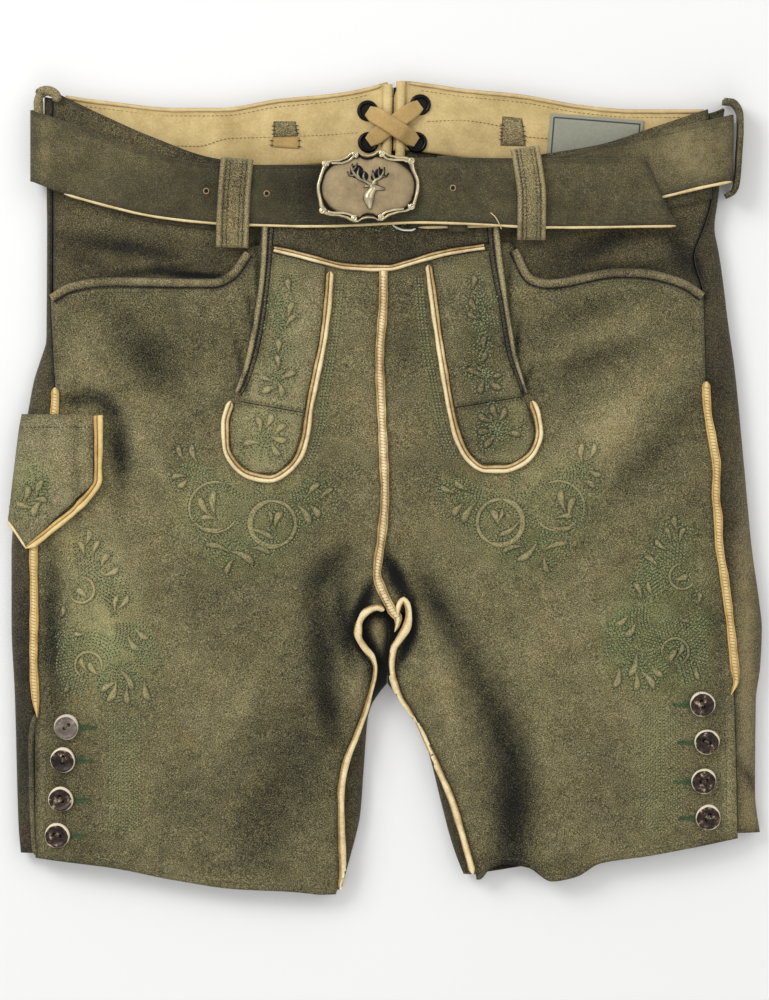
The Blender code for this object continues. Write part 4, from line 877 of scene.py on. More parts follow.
# Where close embroidery tints the leather: x, y, reach across, reach up, strength.
GREEN = [
    (-120, -10, 26, 30, 0.7), (-75, -22, 26, 26, 0.6), (-95, -46, 26, 16, 0.6), (-50, -6, 16, 18, 0.5),
    (120, -10, 26, 30, 0.6), (75, -22, 26, 26, 0.6), (95, -46, 26, 16, 0.6), (50, -6, 16, 18, 0.5),
    (190, -40, 20, 22, 0.8), (180, -82, 34, 26, 1.0), (166, -108, 28, 24, 1.0),
    (192, -112, 22, 28, 1.0), (-196, -48, 20, 22, 0.4), (-190, -92, 32, 26, 0.45),
    (-172, -118, 28, 24, 0.4), (-196, -120, 22, 28, 0.4), (-173, -188, 13, 44, 0.35),
    (175, -185, 13, 46, 0.4), (-236, 0, 14, 20, 0.9), (-70, 100, 16, 44, 0.4), (66, 102, 16, 44, 0.4),
    (-80, 34, 20, 20, 0.6), (77, 38, 20, 20, 0.6), (0, 178, 40, 8, 0.5), (-40, 90, 5, 50, 0.5),
    (30, 92, 5, 50, 0.4),
]


def green_at(x, y):
    """How green the embroidery tints the leather at x and y."""
    total = 0.0 * x
    for at_x, at_y, across, up, strength in GREEN:
        total = total + strength * np.exp(-((x - at_x) / across) ** 4 - ((y - at_y) / up) ** 4)
    return np.clip(total, 0.0, 1.0)


def worn_and_painted_light_at(x, y):
    """How much lighter or darker the leather is at x and y: worn places, painted shade and light."""
    # The folds' last column: painted shade in their furrows and painted light on their ridges.
    folds = [(*row[:5], row[6]) for row in FOLDS]
    return np.clip(creases(x, y, WORN_AND_PAINTED_LIGHT) + creases(x, y, folds), -2.6, 1.2)


# ---------------------------------------------------------------- leg and body panels
# Rows of the panels, from the hem up: y at the side, y at the inner edge, coarse rows to here.
FRONT_BREAKS = {
    "right": [(-245.4, -269.9, 0), (-128, APEX_Y, 8), (-77, CROTCH_Y, 4), (126, 162, 10)],
    "left": [(-231.9, -259.5, 0), (-128, APEX_Y, 8), (-77, CROTCH_Y, 4), (128, 162, 10)],
}
BACK_BREAKS = {
    "right": [(205, 214, 4), (258.5, 258, 4)],
    "left": [(198, 214, 4), (250.5, 258, 4)],
}
FRONT_COLUMNS = 92
FRONT_FINE = 8           # fine rows for each coarse row of the front
BACK_FINE = 4            # the same at the back
HEM_ROWS = 4.0           # coarse rows over which the hem's wave dies out
MOUTH_ROWS = 3.0         # coarse rows over which the pocket mouth's curve dies out
BACK_HEM_RISE = 3.0      # the back hem stays this far inside the front one
BACK_TOP_DROP = 4.0      # the back's upper edge stays this far inside its lining
OVER_COLUMNS = 12        # columns of the back panel from the side seam to the fold
TURN_COLUMNS = 9         # round a fold
UNDER_COLUMNS = 25       # under the body, and between the legs


def column(values):
    """Values as a column, one for each row of a grid."""
    return np.asarray(values)[:, None]


def from_right(side, outer, inner):
    """A panel's outer and inner line in the order of their x."""
    return [outer, inner] if side == "right" else [inner, outer]


def uneven(columns, crowding=0.45):
    """Shares from 0 to 1, closer together at both ends, where a panel bends."""
    even = np.linspace(0.0, 1.0, columns + 1)
    return crowding * (0.5 - 0.5 * np.cos(math.pi * even)) + (1 - crowding) * even


def row_ends(breaks, fine):
    """The coarse row number of each fine row, with its y at the side and at the inner edge."""
    marks = np.cumsum([row[2] for row in breaks])
    rows = np.linspace(0, marks[-1], marks[-1] * fine + 1)
    return (rows, np.interp(rows, marks, [row[0] for row in breaks]),
            np.interp(rows, marks, [row[1] for row in breaks]))


def front_plan(side):
    """x and y of a front panel's grid."""
    rows, y_side, y_inner = row_ends(FRONT_BREAKS[side], FRONT_FINE)
    share = uneven(FRONT_COLUMNS)[None, :]
    inward = INWARD[side]
    gap = np.where(y_inner >= CROTCH_Y, SEAM, BENT_SEAM)
    at_side = side_seam[side](y_side) + inward * SEAM
    at_inner = inseam[side](y_inner) - inward * gap
    x = lerp(column(at_side), column(at_inner), share)
    y = lerp(column(y_side), column(y_inner), share)
    first, last = lerp(y_side[0], y_inner[0], share), lerp(y_side[-1], y_inner[-1], share)
    near_hem = column(np.clip(1 - rows / HEM_ROWS, 0, 1))
    near_mouth = column(np.clip(1 - (rows[-1] - rows) / MOUTH_ROWS, 0, 1))
    return x, y + near_hem * (hem[side](x) - first) + near_mouth * (mouth[side](x) - last)


def front_panel(side):
    """A front panel, from the side seam to the inseam and the centre."""
    x, y = front_plan(side)
    points = np.stack([x, y, skin(x, y)], axis=-1)
    hide_piece(f"leg_front_{side}", points, HIDE, "olive suede", f"front_{side}", "suede_olive",
               flip=side == "left")


def back_around(side, rows, y_side, y_inner):
    """The back panel from the side seam round the fold and under the body to its inner edge."""
    inward = INWARD[side]
    fold_x, seam_x = side_fold[side](y_side), side_seam[side](y_side) - inward * SEAM
    above = centre_back(y_inner) - inward * SEAM / 2
    middle_x = np.where(y_inner < APEX_Y + 1, inner_line(side, y_inner), above)
    reach = np.arccos(1 - np.minimum(1.0, np.abs(seam_x - fold_x) / FOLD_REACH))
    over = np.linspace(1.0, 0.0, OVER_COLUMNS)[None, :]
    x = column(fold_x) + inward * FOLD_REACH * (1 - np.cos(column(reach) * over))
    y = column(y_side) + 0 * x
    parts = [np.stack([x, y, skin(x, y)], axis=-1)]

    turn = np.radians(np.linspace(0, 90, TURN_COLUMNS)[1:])[None, :]
    x = column(fold_x) + inward * UNDER_REACH * (1 - np.cos(turn))
    y = column(y_side) + 0 * x
    z = lerp(column(fold_height(y_side)), belt_bed(x, y), np.sin(turn) + 0 * x)
    parts.append(np.stack([x, y, z], axis=-1))

    share = np.linspace(0.0, 1.0, UNDER_COLUMNS)[None, 1:]
    x = lerp(column(fold_x + inward * UNDER_REACH), column(middle_x - inward * UNDER_REACH), share)
    y = lerp(column(y_side), column(y_inner), share)
    parts.append(np.stack([x, y, 0 * x], axis=-1))

    turn = turn[:, ::-1] - turn[:, :1]
    x = column(middle_x) - inward * UNDER_REACH * (1 - np.cos(turn))
    y = column(y_inner) + 0 * x
    tip = SIDE_FOLD * (1 - ramp(y_inner, APEX_Y, APEX_Y + 22))
    z = np.maximum(column(tip) * (1 - np.sin(turn)), 0.0)
    parts.append(np.stack([x, y, z], axis=-1))
    points = np.concatenate(parts, axis=1)

    near_hem = column(np.clip(1 - rows / 2, 0, 1))
    near_top = column(np.clip(1 - (rows[-1] - rows) / 4, 0, 1))
    points[..., 1] += near_hem * BACK_HEM_RISE
    points[..., 1] = lerp(points[..., 1], back_top(points[..., 0]) - BACK_TOP_DROP, near_top)
    under = slice(OVER_COLUMNS + TURN_COLUMNS - 1, None)
    points[:, under, 2] += belt_bed(points[:, under, 0], points[:, under, 1])
    return points


SADDLE_DEPTH = 6.0       # depth of the hollow at the crotch, between the inseams
# The leather that shows in that hollow: its form, and the painted light on it, in the creases' form.
SADDLE_FORM = [(-6, -93, 100, 12, 9, 5.0), (-3, -110, 100, 12, 4, 2.5)]
SADDLE_PAINTED_LIGHT = [(-5.5, -94, 105, 11, 7.5, 3.6), (-3.5, -106, 100, 9, 4, 1.6),
                (-14, -176, 0, 80, 36, 2.3)]
# Painted shade of that leather elsewhere in the hollow.
SADDLE_PAINTED_SHADE = -2.6       # how dark that leather is elsewhere
BACK_DARK = -0.3         # how much darker than the front the back is


def back_between(side, rows, y_inner):
    """The back panel from the inner fold over to the inseam, on the upper side."""
    inward = INWARD[side]
    start, end = inner_line(side, y_inner), inseam[side](y_inner) + inward * BENT_SEAM
    reach = np.arccos(1 - np.clip(inward * (start - end) / INSEAM_REACH, 0, 1))
    share = np.linspace(0.0, 1.0, UNDER_COLUMNS)[None, :]
    x = column(start) - inward * INSEAM_REACH * (1 - np.cos(column(reach) * share))
    y = column(y_inner + np.clip(1 - rows / 2, 0, 1) * BACK_HEM_RISE) + 0 * x
    sunk = SADDLE_DEPTH * ramp(y, APEX_Y, APEX_Y + 20) - creases(x, y, SADDLE_FORM)
    return np.stack([x, y, skin(x, y) - np.clip(sunk, 0.0, SADDLE_DEPTH)], axis=-1)


def back_panel(side):
    """A back panel: the part round the side fold and the part between the legs, as one piece."""
    rows, y_side, y_inner = row_ends(FRONT_BREAKS[side] + BACK_BREAKS[side], BACK_FINE)
    around = back_around(side, rows, y_side, y_inner)
    crotch = sum(row[2] for row in FRONT_BREAKS[side][:3]) * BACK_FINE + 1
    between = back_between(side, rows[:crotch], y_inner[:crotch])
    flip = side == "right"
    faces = grid_faces(*around.shape[:2], flip).tolist()
    start = around.shape[0] * around.shape[1]
    faces += (grid_faces(*between.shape[:2], flip) + start).tolist()
    points = np.concatenate([around.reshape(-1, 3), between.reshape(-1, 3)])
    edge = np.concatenate([edge_share(around).ravel(), np.ones(between.shape[:2]).ravel()])
    worn_and_painted_light = worn_and_painted_light_at(points[:, 0], points[:, 1]) + BACK_DARK
    inner = points[start:]
    # Near the crotch the leather between the legs carries painted shade, with painted light where it
    # rises.
    light = np.clip(creases(inner[:, 0], inner[:, 1], SADDLE_PAINTED_LIGHT) + SADDLE_PAINTED_SHADE, SADDLE_PAINTED_SHADE, 0.9)
    worn_and_painted_light[start:] = np.where(inner[:, 1] > APEX_Y - 12, light, worn_and_painted_light[start:])
    piece = new_piece(f"leg_back_{side}", points, faces, "back suede", f"back_{side}", "suede_light",
                      {"worn_and_painted_light": worn_and_painted_light, "edge": edge}, merge=True)
    wall(piece, HIDE)


FACING_INSET = 0.2       # a facing's outer edge lies this far inside the side seam
FACING_END = 72.0        # and its inner edge this far from the middle
FACING_HIDDEN = 12.0     # how far it reaches under the front and the waistband
# Folds of the yokes: x, y, direction, half length, half width, height.
YOKE_CREASES = {
    "right": [(-172, 163, -12, 30, 5, -2.2), (-150, 171, -8, 34, 5, 1.4), (-140, 142, 2, 30, 4.5, -2.4),
              (-200, 158, -40, 14, 5, 1.2), (-196, 148, -30, 16, 5, -1.6), (-122, 156, -20, 18, 5, 1.0)],
    "left": [(128, 158, 32, 18, 5, -2.2), (142, 150, 20, 26, 5, 1.4), (165, 168, 8, 30, 5, -1.2),
             (176, 152, -14, 22, 5, 1.2), (192, 160, -50, 16, 5, -1.6), (150, 146, 4, 26, 4, -1.6)],
}


def pocket_facing(side):
    """The yoke that shows between the waistband and the pocket mouth."""
    inward = INWARD[side]
    outer = lambda y: side_seam[side](y) + inward * FACING_INSET
    bottom, top = lambda x: mouth[side](x) - FACING_HIDDEN, lambda x: front_band_edge(x) + FACING_HIDDEN
    x, y = panel_grid(64, 36, [*from_right(side, outer, level(-FACING_END * inward)), bottom, top])
    points = laid(skin, x, y, FACING_DROP)
    points[..., 2] += creases(x, y, YOKE_CREASES[side])
    hide_piece(f"yoke_{side}", points, STRIP, "dark suede", f"pocket_facing_{side}", "suede_dark")


# Across the welt, from its roll down to its sewn edge: place, height, and painted light: a
# painted highlight on the roll, painted shade in the sewn groove.
WELT_SECTION = [(-1, 0.4, 0.2), (-0.9, 1.3, 0.9), (-0.65, 1.9, 1.5), (-0.3, 2.2, 1.5), (0.1, 2.1, 1.2),
                (0.4, 1.7, 1.0), (0.58, 1.2, 0.3), (0.7, 0.8, -1.4), (0.88, 0.7, -1.4), (1, 0.3, 0.4)]
WELT_WIDTH = 6.8
WELT_SPAN = {"right": (-221.0, -91.0), "left": (84.0, 208.5)}


def pocket_welt(side):
    """The bound edge of the pocket mouth, with two rows of sewing."""
    path = beside(mouth[side], WELT_SPAN[side], 12, -WELT_WIDTH / 2)
    strip_piece(f"mouth_welt_{side}", path, WELT_WIDTH, REST, WELT_SECTION, "welt suede",
                f"pocket_welt_{side}", "suede_dark")


def front_waistband(side):
    """The front waistband, above the pocket facings and mostly under the belt."""
    inward = INWARD[side]
    outer = lambda y: side_seam[side](y) + inward * FACING_INSET
    inner = level(-inward * SEAM / 2 - 1.0)
    x, y = panel_grid(80, 26, [*from_right(side, outer, inner), front_band_edge, front_top])
    hide_piece(f"band_front_{side}", laid(skin, x, y, BAND_DROP), STRIP, "dark suede",
               f"waistband_front_{side}", "suede_dark")


LINING_WIDTH = 46.0
LINING_WAVE = 0.5        # share of the slack's full height
# Slack of the inner band: x, y, direction, half length, half width, height.
LINING_CREASES = [
    (-180, 238, 20, 40, 8, 0.9), (-120, 228, -6, 40, 7, -0.7), (-60, 240, 12, 30, 8, 0.7),
    (-30, 222, 80, 24, 7, 0.6), (48, 240, 96, 24, 7, 0.7), (90, 236, -8, 40, 8, -0.6),
    (140, 228, 14, 40, 8, 0.8), (190, 236, 30, 26, 7, -0.6),
]


def back_waistband(side):
    """The tan inner band at the back."""
    inward = INWARD[side]
    outer = lambda y: side_fold[side](y) + inward * 14.0
    inner = lambda y: centre_back(y) - inward * (0.4 + 3.4 * ramp(y, 258, 270))
    bottom = lambda x: back_top(x) - LINING_WIDTH
    x, y = panel_grid(96, 30, [*from_right(side, outer, inner), bottom, back_top])
    points = laid(lining, x, y, 0.0)
    points[..., 2] += LINING_WAVE * creases(x, y, LINING_CREASES)
    hide_piece(f"band_inside_{side}", points, STRIP, "tan lining", f"waistband_back_{side}",
               "tan_leather")


# ---------------------------------------------------------------- drop front and flaps
BIB_TOP = 190.0          # the drop front's upper end, hidden by the belt
TIP_ROOM = 0.9           # gap left where the rounded tips turn inside their edging
# Painted light across the binding: a painted highlight on its roll, painted shade in its sewn
# furrow and at its outer edge. Share from its outer edge, lightness.
BINDING_PAINTED_LIGHT = [(0.0, -1.2), (0.06, -0.4), (0.14, 0.7), (0.3, 1.1), (0.46, 0.7), (0.56, -0.2),
                 (0.62, -1.8), (0.7, -1.2), (0.78, 0.1), (0.9, 0.2), (1.0, 0.0)]
BINDING_ROLL = 2.1       # height of the roll along the binding
ROLL_MIDDLE = 0.3        # where the roll is highest, as a share of the width from the outer edge
ROLL_REACH = 0.32        # how far it reaches to both sides
BINDING_COLUMNS = 22
BINDING_END = 62.5       # lower end of the binding, where the tongue's edging takes over
PIPE_EDGE = PIPE_WIDTH / 2 + SEAM   # from an edging's middle line to the leather beside it


def drop_front():
    """The drop front's upper part, between the tongues' bindings."""
    lines = [lambda y: binding_inner["right"](y) + SEAM, lambda y: binding_inner["left"](y) - SEAM,
             lambda x: drop_front_edge(x) + PIPE_EDGE, level(BIB_TOP)]
    x, y = panel_grid(76, 26, lines)
    hide_piece("bib", laid(skin, x, y, FLAP_LIFT), STRIP, "dark suede", "drop_front", "suede_dark")


def tongue(side):
    """A side of the drop front, with its bound outer edge and its rounded tip."""
    tongue_middle(side)
    tongue_binding(side)
    tongue_tip(side)


def tongue_middle(side):
    """The embroidered leather between the binding and the inner edging."""
    inward = INWARD[side]
    over = lambda x: drop_front_edge(x) - PIPE_EDGE
    under = lambda x: cross_seam[side](x) + SEAM
    sides = from_right(side, lambda y: binding_inner[side](y) + inward * SEAM,
                       lambda y: tongue_inner[side](y) - inward * PIPE_EDGE)
    x, y = panel_grid(34, 56, [*sides, under, over])
    hide_piece(f"flap_{side}", laid(skin, x, y, FLAP_LIFT), STRIP, "light suede", f"tongue_{side}",
               "suede_light")


def tongue_binding(side):
    """The binding of a tongue's outer edge: a roll with a sewn furrow beside it."""
    inner = lambda y: binding_inner[side](y) - INWARD[side] * SEAM
    sides = from_right(side, binding_outer[side], inner)
    x, y = panel_grid(BINDING_COLUMNS, 80, [*sides, level(BINDING_END), level(BIB_TOP)])
    share = np.linspace(0, 1, BINDING_COLUMNS + 1)[None, :]
    from_outer = share if side == "right" else 1 - share
    bulge = np.clip(1 - ((from_outer - ROLL_MIDDLE) / ROLL_REACH) ** 2, 0, 1)
    roll = BINDING_ROLL * np.sqrt(bulge) - 0.35
    # Painted highlight on the roll, painted shade in the furrow and at the outer edge.
    light = smooth(BINDING_PAINTED_LIGHT)(from_outer) + 0 * x
    hide_piece(f"flap_binding_{side}", laid(skin, x, y, FLAP_LIFT + 0.4 + roll + 0 * x), STRIP,
               "welt suede", f"binding_{side}", "suede_olive", light=light)


def tongue_tip(side):
    """A tongue's rounded tip, below its cross seam."""
    inward = INWARD[side]
    tip_edge = PIPE_EDGE + TIP_ROOM
    sides = from_right(side, inset(tip_outer[side], inward * tip_edge),
                       inset(tip_inner[side], -inward * tip_edge))
    floor_y = min(row[0] for row in TIP_OUTER[side]) + tip_edge + TIP_ROOM
    x, y = panel_grid(44, 44, [*sides, level(floor_y), lambda x: cross_seam[side](x) - SEAM])
    hide_piece(f"flap_tip_{side}", laid(skin, x, y, FLAP_LIFT), STRIP, "light suede",
               f"tongue_tip_{side}", "suede_olive")


def knife_flap():
    """The flap of the knife pocket, over the side piping and round the side fold."""
    outer, inner = straight(KNIFE_OUTER), straight(KNIFE_INNER)
    lines = [lambda y: np.maximum(outer(y), side_fold["right"](y) + 0.6), inner,
             level(KNIFE_OUTER[-1][0]), level(KNIFE_OUTER[0][0])]
    x, y = panel_grid(48, 60, lines)
    hide_piece("knife_pocket_flap", laid(skin, x, y, KNIFE_LIFT), STRIP, "light suede", "knife_flap",
               "suede_light")


# ---------------------------------------------------------------- edgings
# Sections: place across -1..1, height as a share of the thickness, and brightness: the edging's
# own cream and brown, with a painted highlight on its roll and painted shade in its grooves and
# at its sides.
ROLLED = [(-1.0, 0.1, 0.3), (-0.97, 0.55, 0.75), (-0.86, 0.95, 0.95), (-0.6, 1.2, 1.0),
          (-0.3, 1.2, 1.0), (-0.06, 0.95, 0.85), (0.05, 0.6, 0.2), (0.14, 0.5, 0.15),
          (0.28, 0.7, 0.6), (0.55, 0.74, 0.68), (0.86, 0.6, 0.5), (1.0, 0.1, 0.0)]
FLAT = [(-1.0, 0.15, 0.35), (-0.94, 0.7, 0.6), (-0.8, 0.95, 0.7), (-0.64, 0.75, 0.42),
        (-0.5, 1.05, 0.8), (-0.1, 1.3, 0.95), (0.3, 1.25, 0.95), (0.5, 0.95, 0.78),
        (0.62, 0.72, 0.42), (0.78, 0.9, 0.7), (0.94, 0.7, 0.6), (1.0, 0.15, 0.35)]
CORD = [(-1.0, 0.1, 0.25), (-0.93, 0.65, 0.6), (-0.6, 1.15, 0.95), (-0.1, 1.35, 1.0),
        (0.4, 1.2, 0.9), (0.62, 0.9, 0.55), (0.74, 0.75, 0.4), (0.9, 0.6, 0.5), (1.0, 0.1, 0.25)]
# Width of the inseams' edgings: share of the length, width.
INSEAM_WIDTH_RIGHT = [(0.0, 4.0), (0.14, 4.8), (0.22, 3.6), (0.27, 2.6), (0.4, 2.5), (0.5, 3.4),
                      (0.6, 4.5), (0.8, 4.4), (1.0, 4.2)]
INSEAM_WIDTH_LEFT = [(0.0, 3.4), (0.06, 4.2), (0.25, 4.8), (0.33, 4.2), (0.4, 3.1), (0.5, 2.9),
                     (0.58, 4.0), (0.8, 4.4), (1.0, 4.2)]
# Name, underside over the front, thickness, width, lengths that taper at the start and the end,
# section, points (x, y). A rolled edging's path has the flap on its right hand.
EDGINGS = [
    ("drop_front", REST, 2.4, 4.2, (0, 0), ROLLED, DROP_FRONT_EDGE[::-1]),
    ("tongue_right", REST, 2.4, 5.2, (2, 3), ROLLED,
     [(-37.3, 142.5), (-38.5, 125), (-41.5, 99), (-46.5, 74), (-51, 51), (-53, 36), (-57, 22),
      (-64.5, 12), (-77, 5.5), (-90.5, 8), (-100, 15), (-106, 27), (-106.5, 42), (-102.5, 57)]),
    ("tongue_left", REST, 2.4, 5.2, (3, 2), ROLLED,
     [(96, 57), (99.5, 47), (101, 36), (97.5, 24.5), (89.5, 16.5), (77.5, 12), (65.5, 12),
      (54.5, 19), (47, 33), (42.5, 51), (38.5, 74), (34, 102), (30.5, 128), (27.8, 147)]),
    ("centre", REST, 2.2, 6.0, (0, 9), FLAT,
     [(-2, 143), (-2, 125), (-4.5, 86), (-3.5, 56), (-2, 25), (-1, -5), (-3.5, -35), (-5.7, -48),
      (-6.3, -57), (-3.2, -67), (1, -76), (4.5, -82), (7.8, -86.5), (7.6, -90), (6.0, -95)]),
    ("side_right", REST, 1.6, 5.4, (3, 14), FLAT,
     [(-219, 66), (-219.3, 51), (-224.5, 18), (-230.5, -15), (-233, -44), (-232.7, -80),
      (-233.2, -113), (-232, -138), (-230.6, -152)]),
    ("side_left", REST, 1.6, 5.6, (3, 16), FLAT,
     [(211, 70), (212, 52), (215.5, 30), (218, 13), (217.5, -6), (219, -20), (219.5, -36),
      (223, -59), (227.5, -94), (230, -118), (231, -128), (227.5, -137)]),
    ("inseam_right", 2.3, 1.8, INSEAM_WIDTH_RIGHT, (2, 4), CORD,
     [(-1.5, -80.5), (-6.3, -79), (-13.5, -83), (-18.2, -90.5), (-18.8, -97.5), (-15, -105.5),
      (-10, -112), (-8.3, -119), (-9, -126), (-11, -133), (-15.5, -148), (-21, -165),
      (-28.5, -188), (-30.5, -203), (-30, -257), (-32, -266)]),
    ("inseam_left", 1.5, 1.8, INSEAM_WIDTH_LEFT, (3, 4), CORD,
     [(7.4, -83), (8, -78), (10.6, -74.4), (13.6, -77.5), (14.6, -84), (13.4, -91), (9, -99.5),
      (5, -107), (3.8, -115), (4.3, -123), (6.9, -132), (10.8, -140), (16, -147.5), (25, -165),
      (43.5, -206), (48.5, -222), (58, -256)]),
]
KNIFE_EDGE = [(-190.3, 47.0), (-190.3, 5.2), (-193.3, -1.4), (-233.5, -37.5), (-237, -40)]
KNIFE_POINT = [(-249.5, -19.5), (-243, -30), (-236.5, -40.5)]


def strip_piece(name, path, width, lift, section, material, node, slot, surface=skin,
                step=1.6):
    """A leather strip with a section, along a path on a surface.

    Width and lift are numbers or functions of the share of its length.
    """
    count = max(4, int(path_length(path) / step))
    points, direction = path_points(path, count)
    share = np.linspace(0.0, 1.0, count)
    width_at = width(share) if callable(width) else np.full(count, float(width))
    lift_at = lift(share) if callable(lift) else np.full(count, float(lift))
    # The section's third column goes to the edge attribute: painted light and shade across the strip.
    across, height, tone = (np.array(values, float) for values in zip(*section))
    across = np.concatenate([across, across[[-1, 0]]])
    height = np.concatenate([height, [0.0, 0.0]])
    tone = np.concatenate([tone, [0.2, 0.2]])
    side = across[None, :] * column(width_at) / 2
    x = points[:, :1] + direction[:, 1:] * side
    y = points[:, 1:] - direction[:, :1] * side
    base = laid(surface, x, y, column(lift_at) + height[None, :])
    columns = len(across)
    faces = grid_faces(count, columns, closed=True).tolist()
    faces.append(list(range(columns))[::-1])
    faces.append([(count - 1) * columns + k for k in range(columns)])
    piece = new_piece(name, base, faces, material, node, slot,
                      {"worn_and_painted_light": worn_and_painted_light_at(base[..., 0], base[..., 1]),
                       "green": green_at(base[..., 0], base[..., 1]),
                       "edge": np.broadcast_to(tone, base.shape[:2])}, 60)


def scaled(section, thickness):
    """A section whose heights are shares of this thickness."""
    return [(across, height * thickness, tone) for across, height, tone in section]


def hand_cut(width, length, tapers):
    """Width along a strip, as width(share): a little uneven, and narrowing at its tapered ends."""
    def read(share):
        at = share * length
        wide = smooth(width)(share) if isinstance(width, list) else width
        uneven_by = 1 + 0.06 * np.sin(at / 7.3 + length) + 0.05 * np.sin(at / 3.1 + 1.7 * length)
        start = np.clip((at + 0.6) / max(tapers[0], 0.1), 0.0, 1.0) ** 0.7
        end = np.clip((length - at + 0.3) / max(tapers[1], 0.1), 0.0, 1.0) ** 0.7
        return wide * uneven_by * start * end

    return read


def inseam_bed(side):
    """The front beside an inseam, carried level over the fold between the legs."""
    inward = INWARD[side]

    def read(x, y):
        shoulder = inner_line(side, y) - inward * SHOULDER
        return skin(inward * np.minimum(inward * x, inward * shoulder), y)

    return read


def edgings():
    """The folded leather edgings of the seams and flaps; the flat ones are overcast."""
    beds = {f"inseam_{side}": inseam_bed(side) for side in SIDES}
    for name, lift, thickness, width, tapers, section, path in EDGINGS:
        material = "golden edging" if name.startswith("side") else "pale edging"
        strip_piece(f"edging_{name}", path, hand_cut(width, path_length(path), tapers), lift,
                    scaled(section, thickness), material, f"piping_{name}", "tan_edging",
                    beds.get(name, skin))
        if section is FLAT:
            overcast(path, lift + thickness * 1.2, width)
    strip_piece("edging_knife_flap", KNIFE_EDGE, hand_cut(PIPE_WIDTH, path_length(KNIFE_EDGE), (0, 5)),
                KNIFE_REST, scaled(ROLLED, STRIP), "golden edging", "piping_knife_flap", "tan_edging")
    strip_piece("edging_knife_point", KNIFE_POINT, hand_cut(1.7, path_length(KNIFE_POINT), (3, 3)),
                KNIFE_LIFT - 0.6, scaled(CORD, 0.9), "pale edging", None, "tan_edging")


def overcast(path, lift, width):
    """Overcast stitches across an edging."""
    points, direction = path_points(path, int(path_length(path) / 2.1))
    points, direction = points[2:-5], direction[2:-5]
    aside = np.stack([direction[:, 1], -direction[:, 0]], axis=1) * (0.05 * width / 2)
    SEWING["edging"].at(points + aside, turned(direction, 74), skin, lift, 0.5 * width, 0.7, 0.3)


# ---------------------------------------------------------------- belt and loops
WRAP_HEIGHT = 12.0       # height of the belt's outermost line at the sides
WRAP_UNDER = 18.0        # how far in from that line the belt touches down
WRAP_OVER = 38.0         # how far in from it the belt reaches the front's height
WRAP_EDGE = 1.7          # upright stretch at each end of the belt's front and back pieces
BELT_LEFT_END = 230.0
BELT_RIGHT_END = -236.0
BELT_TIP = (169.5, 191.0)    # x of the slanted tip, at its upper and its lower edge
BUCKLE_END = 16.0        # x where the other stretch ends, behind the buckle
FRONT_BELT_WIDTH = 41.0
BACK_BELT_WIDTH = 44.0
# Distance from the belt's edge and height of the face there: rounded edge, then a sewn groove.
BELT_FACE = [(0.0, -0.5), (0.5, -0.15), (1.2, 0.0), (2.6, 0.05), (3.2, -0.35), (3.8, 0.0), (5.5, 0.1)]
BELT_ROWS = 12           # rows between the sewn grooves
BELT_GROOVE = 4          # the row of BELT_FACE in which the sewing lies
BELT_PITCH = 3.0         # from one of its stitches to the next
BELT_STITCH = (2.1, 0.8, 0.4)    # their length, width and height
STEEP = 0.9              # it ends where the belt curls down more steeply than this slope
STRAP_COLUMNS = 90       # columns along a stretch over the front
STRAP_TURN_COLUMNS = 12  # and round its curled end
BACK_BELT_COLUMNS = 120  # the same behind the body
BACK_TURN_COLUMNS = 9
# Slack of the belt: x, y, direction, half length, half width, height.
BELT_CREASES = [
    (-150, 205, 96, 30, 9, 0.5), (-118, 196, 70, 24, 7, -0.5), (-60, 196, 84, 26, 8, 0.4),
    (58, 192, 100, 26, 8, 0.5), (110, 200, 74, 26, 9, -0.5), (140, 204, 104, 26, 9, 0.5),
    (190, 218, 84, 26, 9, 0.5),
]


def band_shares(width):
    """Shares across a belt of that width, close together at its edges and sewn grooves."""
    edge = np.array([row[0] for row in BELT_FACE]) / width
    middle = np.linspace(edge[-1], 1 - edge[-1], BELT_ROWS)[1:-1]
    return column(np.concatenate([edge, middle, 1 - edge[::-1]]))


def band_relief(share, width):
    """Height of the belt's face at these shares across it."""
    place, height = zip(*BELT_FACE)
    return np.interp(np.minimum(share, 1 - share) * width, place, height)


def strap_points(start, end, edges, lift, wrapped):
    """Outer face of a stretch of belt over the front, curled down at the side fold."""
    top_edge, bottom_edge = edges
    wrap_x = (start if wrapped == "start" else end)[0]
    way = 1 if wrapped == "start" else -1
    other = end if wrapped == "start" else start
    turn = np.linspace(0, math.pi / 2, STRAP_TURN_COLUMNS)
    distance = np.concatenate([[0.0], WRAP_OVER * (1 - np.cos(turn))])
    share = band_shares(FRONT_BELT_WIDTH)
    inner = wrap_x + way * WRAP_OVER
    far = lerp(*other, share)
    run = np.linspace(0, 1, STRAP_COLUMNS)[None, 1:]
    x = np.concatenate([wrap_x + way * distance[None, :] + 0 * share, lerp(inner, far, run)], axis=1)
    height = np.concatenate([[0.0], np.sin(turn), np.ones(run.shape[1])])[None, :] + 0 * x
    y = lerp(top_edge(x), bottom_edge(x), share)
    high = belt_over(x, y) + lift(x) + BELT
    z = lerp(WRAP_HEIGHT + SEAM / 2 + WRAP_EDGE, high, height)
    z[:, 0] = WRAP_HEIGHT + SEAM / 2
    slack = 0.8 * creases(x, y, BELT_CREASES)
    z = z + (band_relief(share, FRONT_BELT_WIDTH) + slack) * height
    points = np.stack([x, y, z], axis=-1)
    return points if way > 0 else points[:, ::-1]


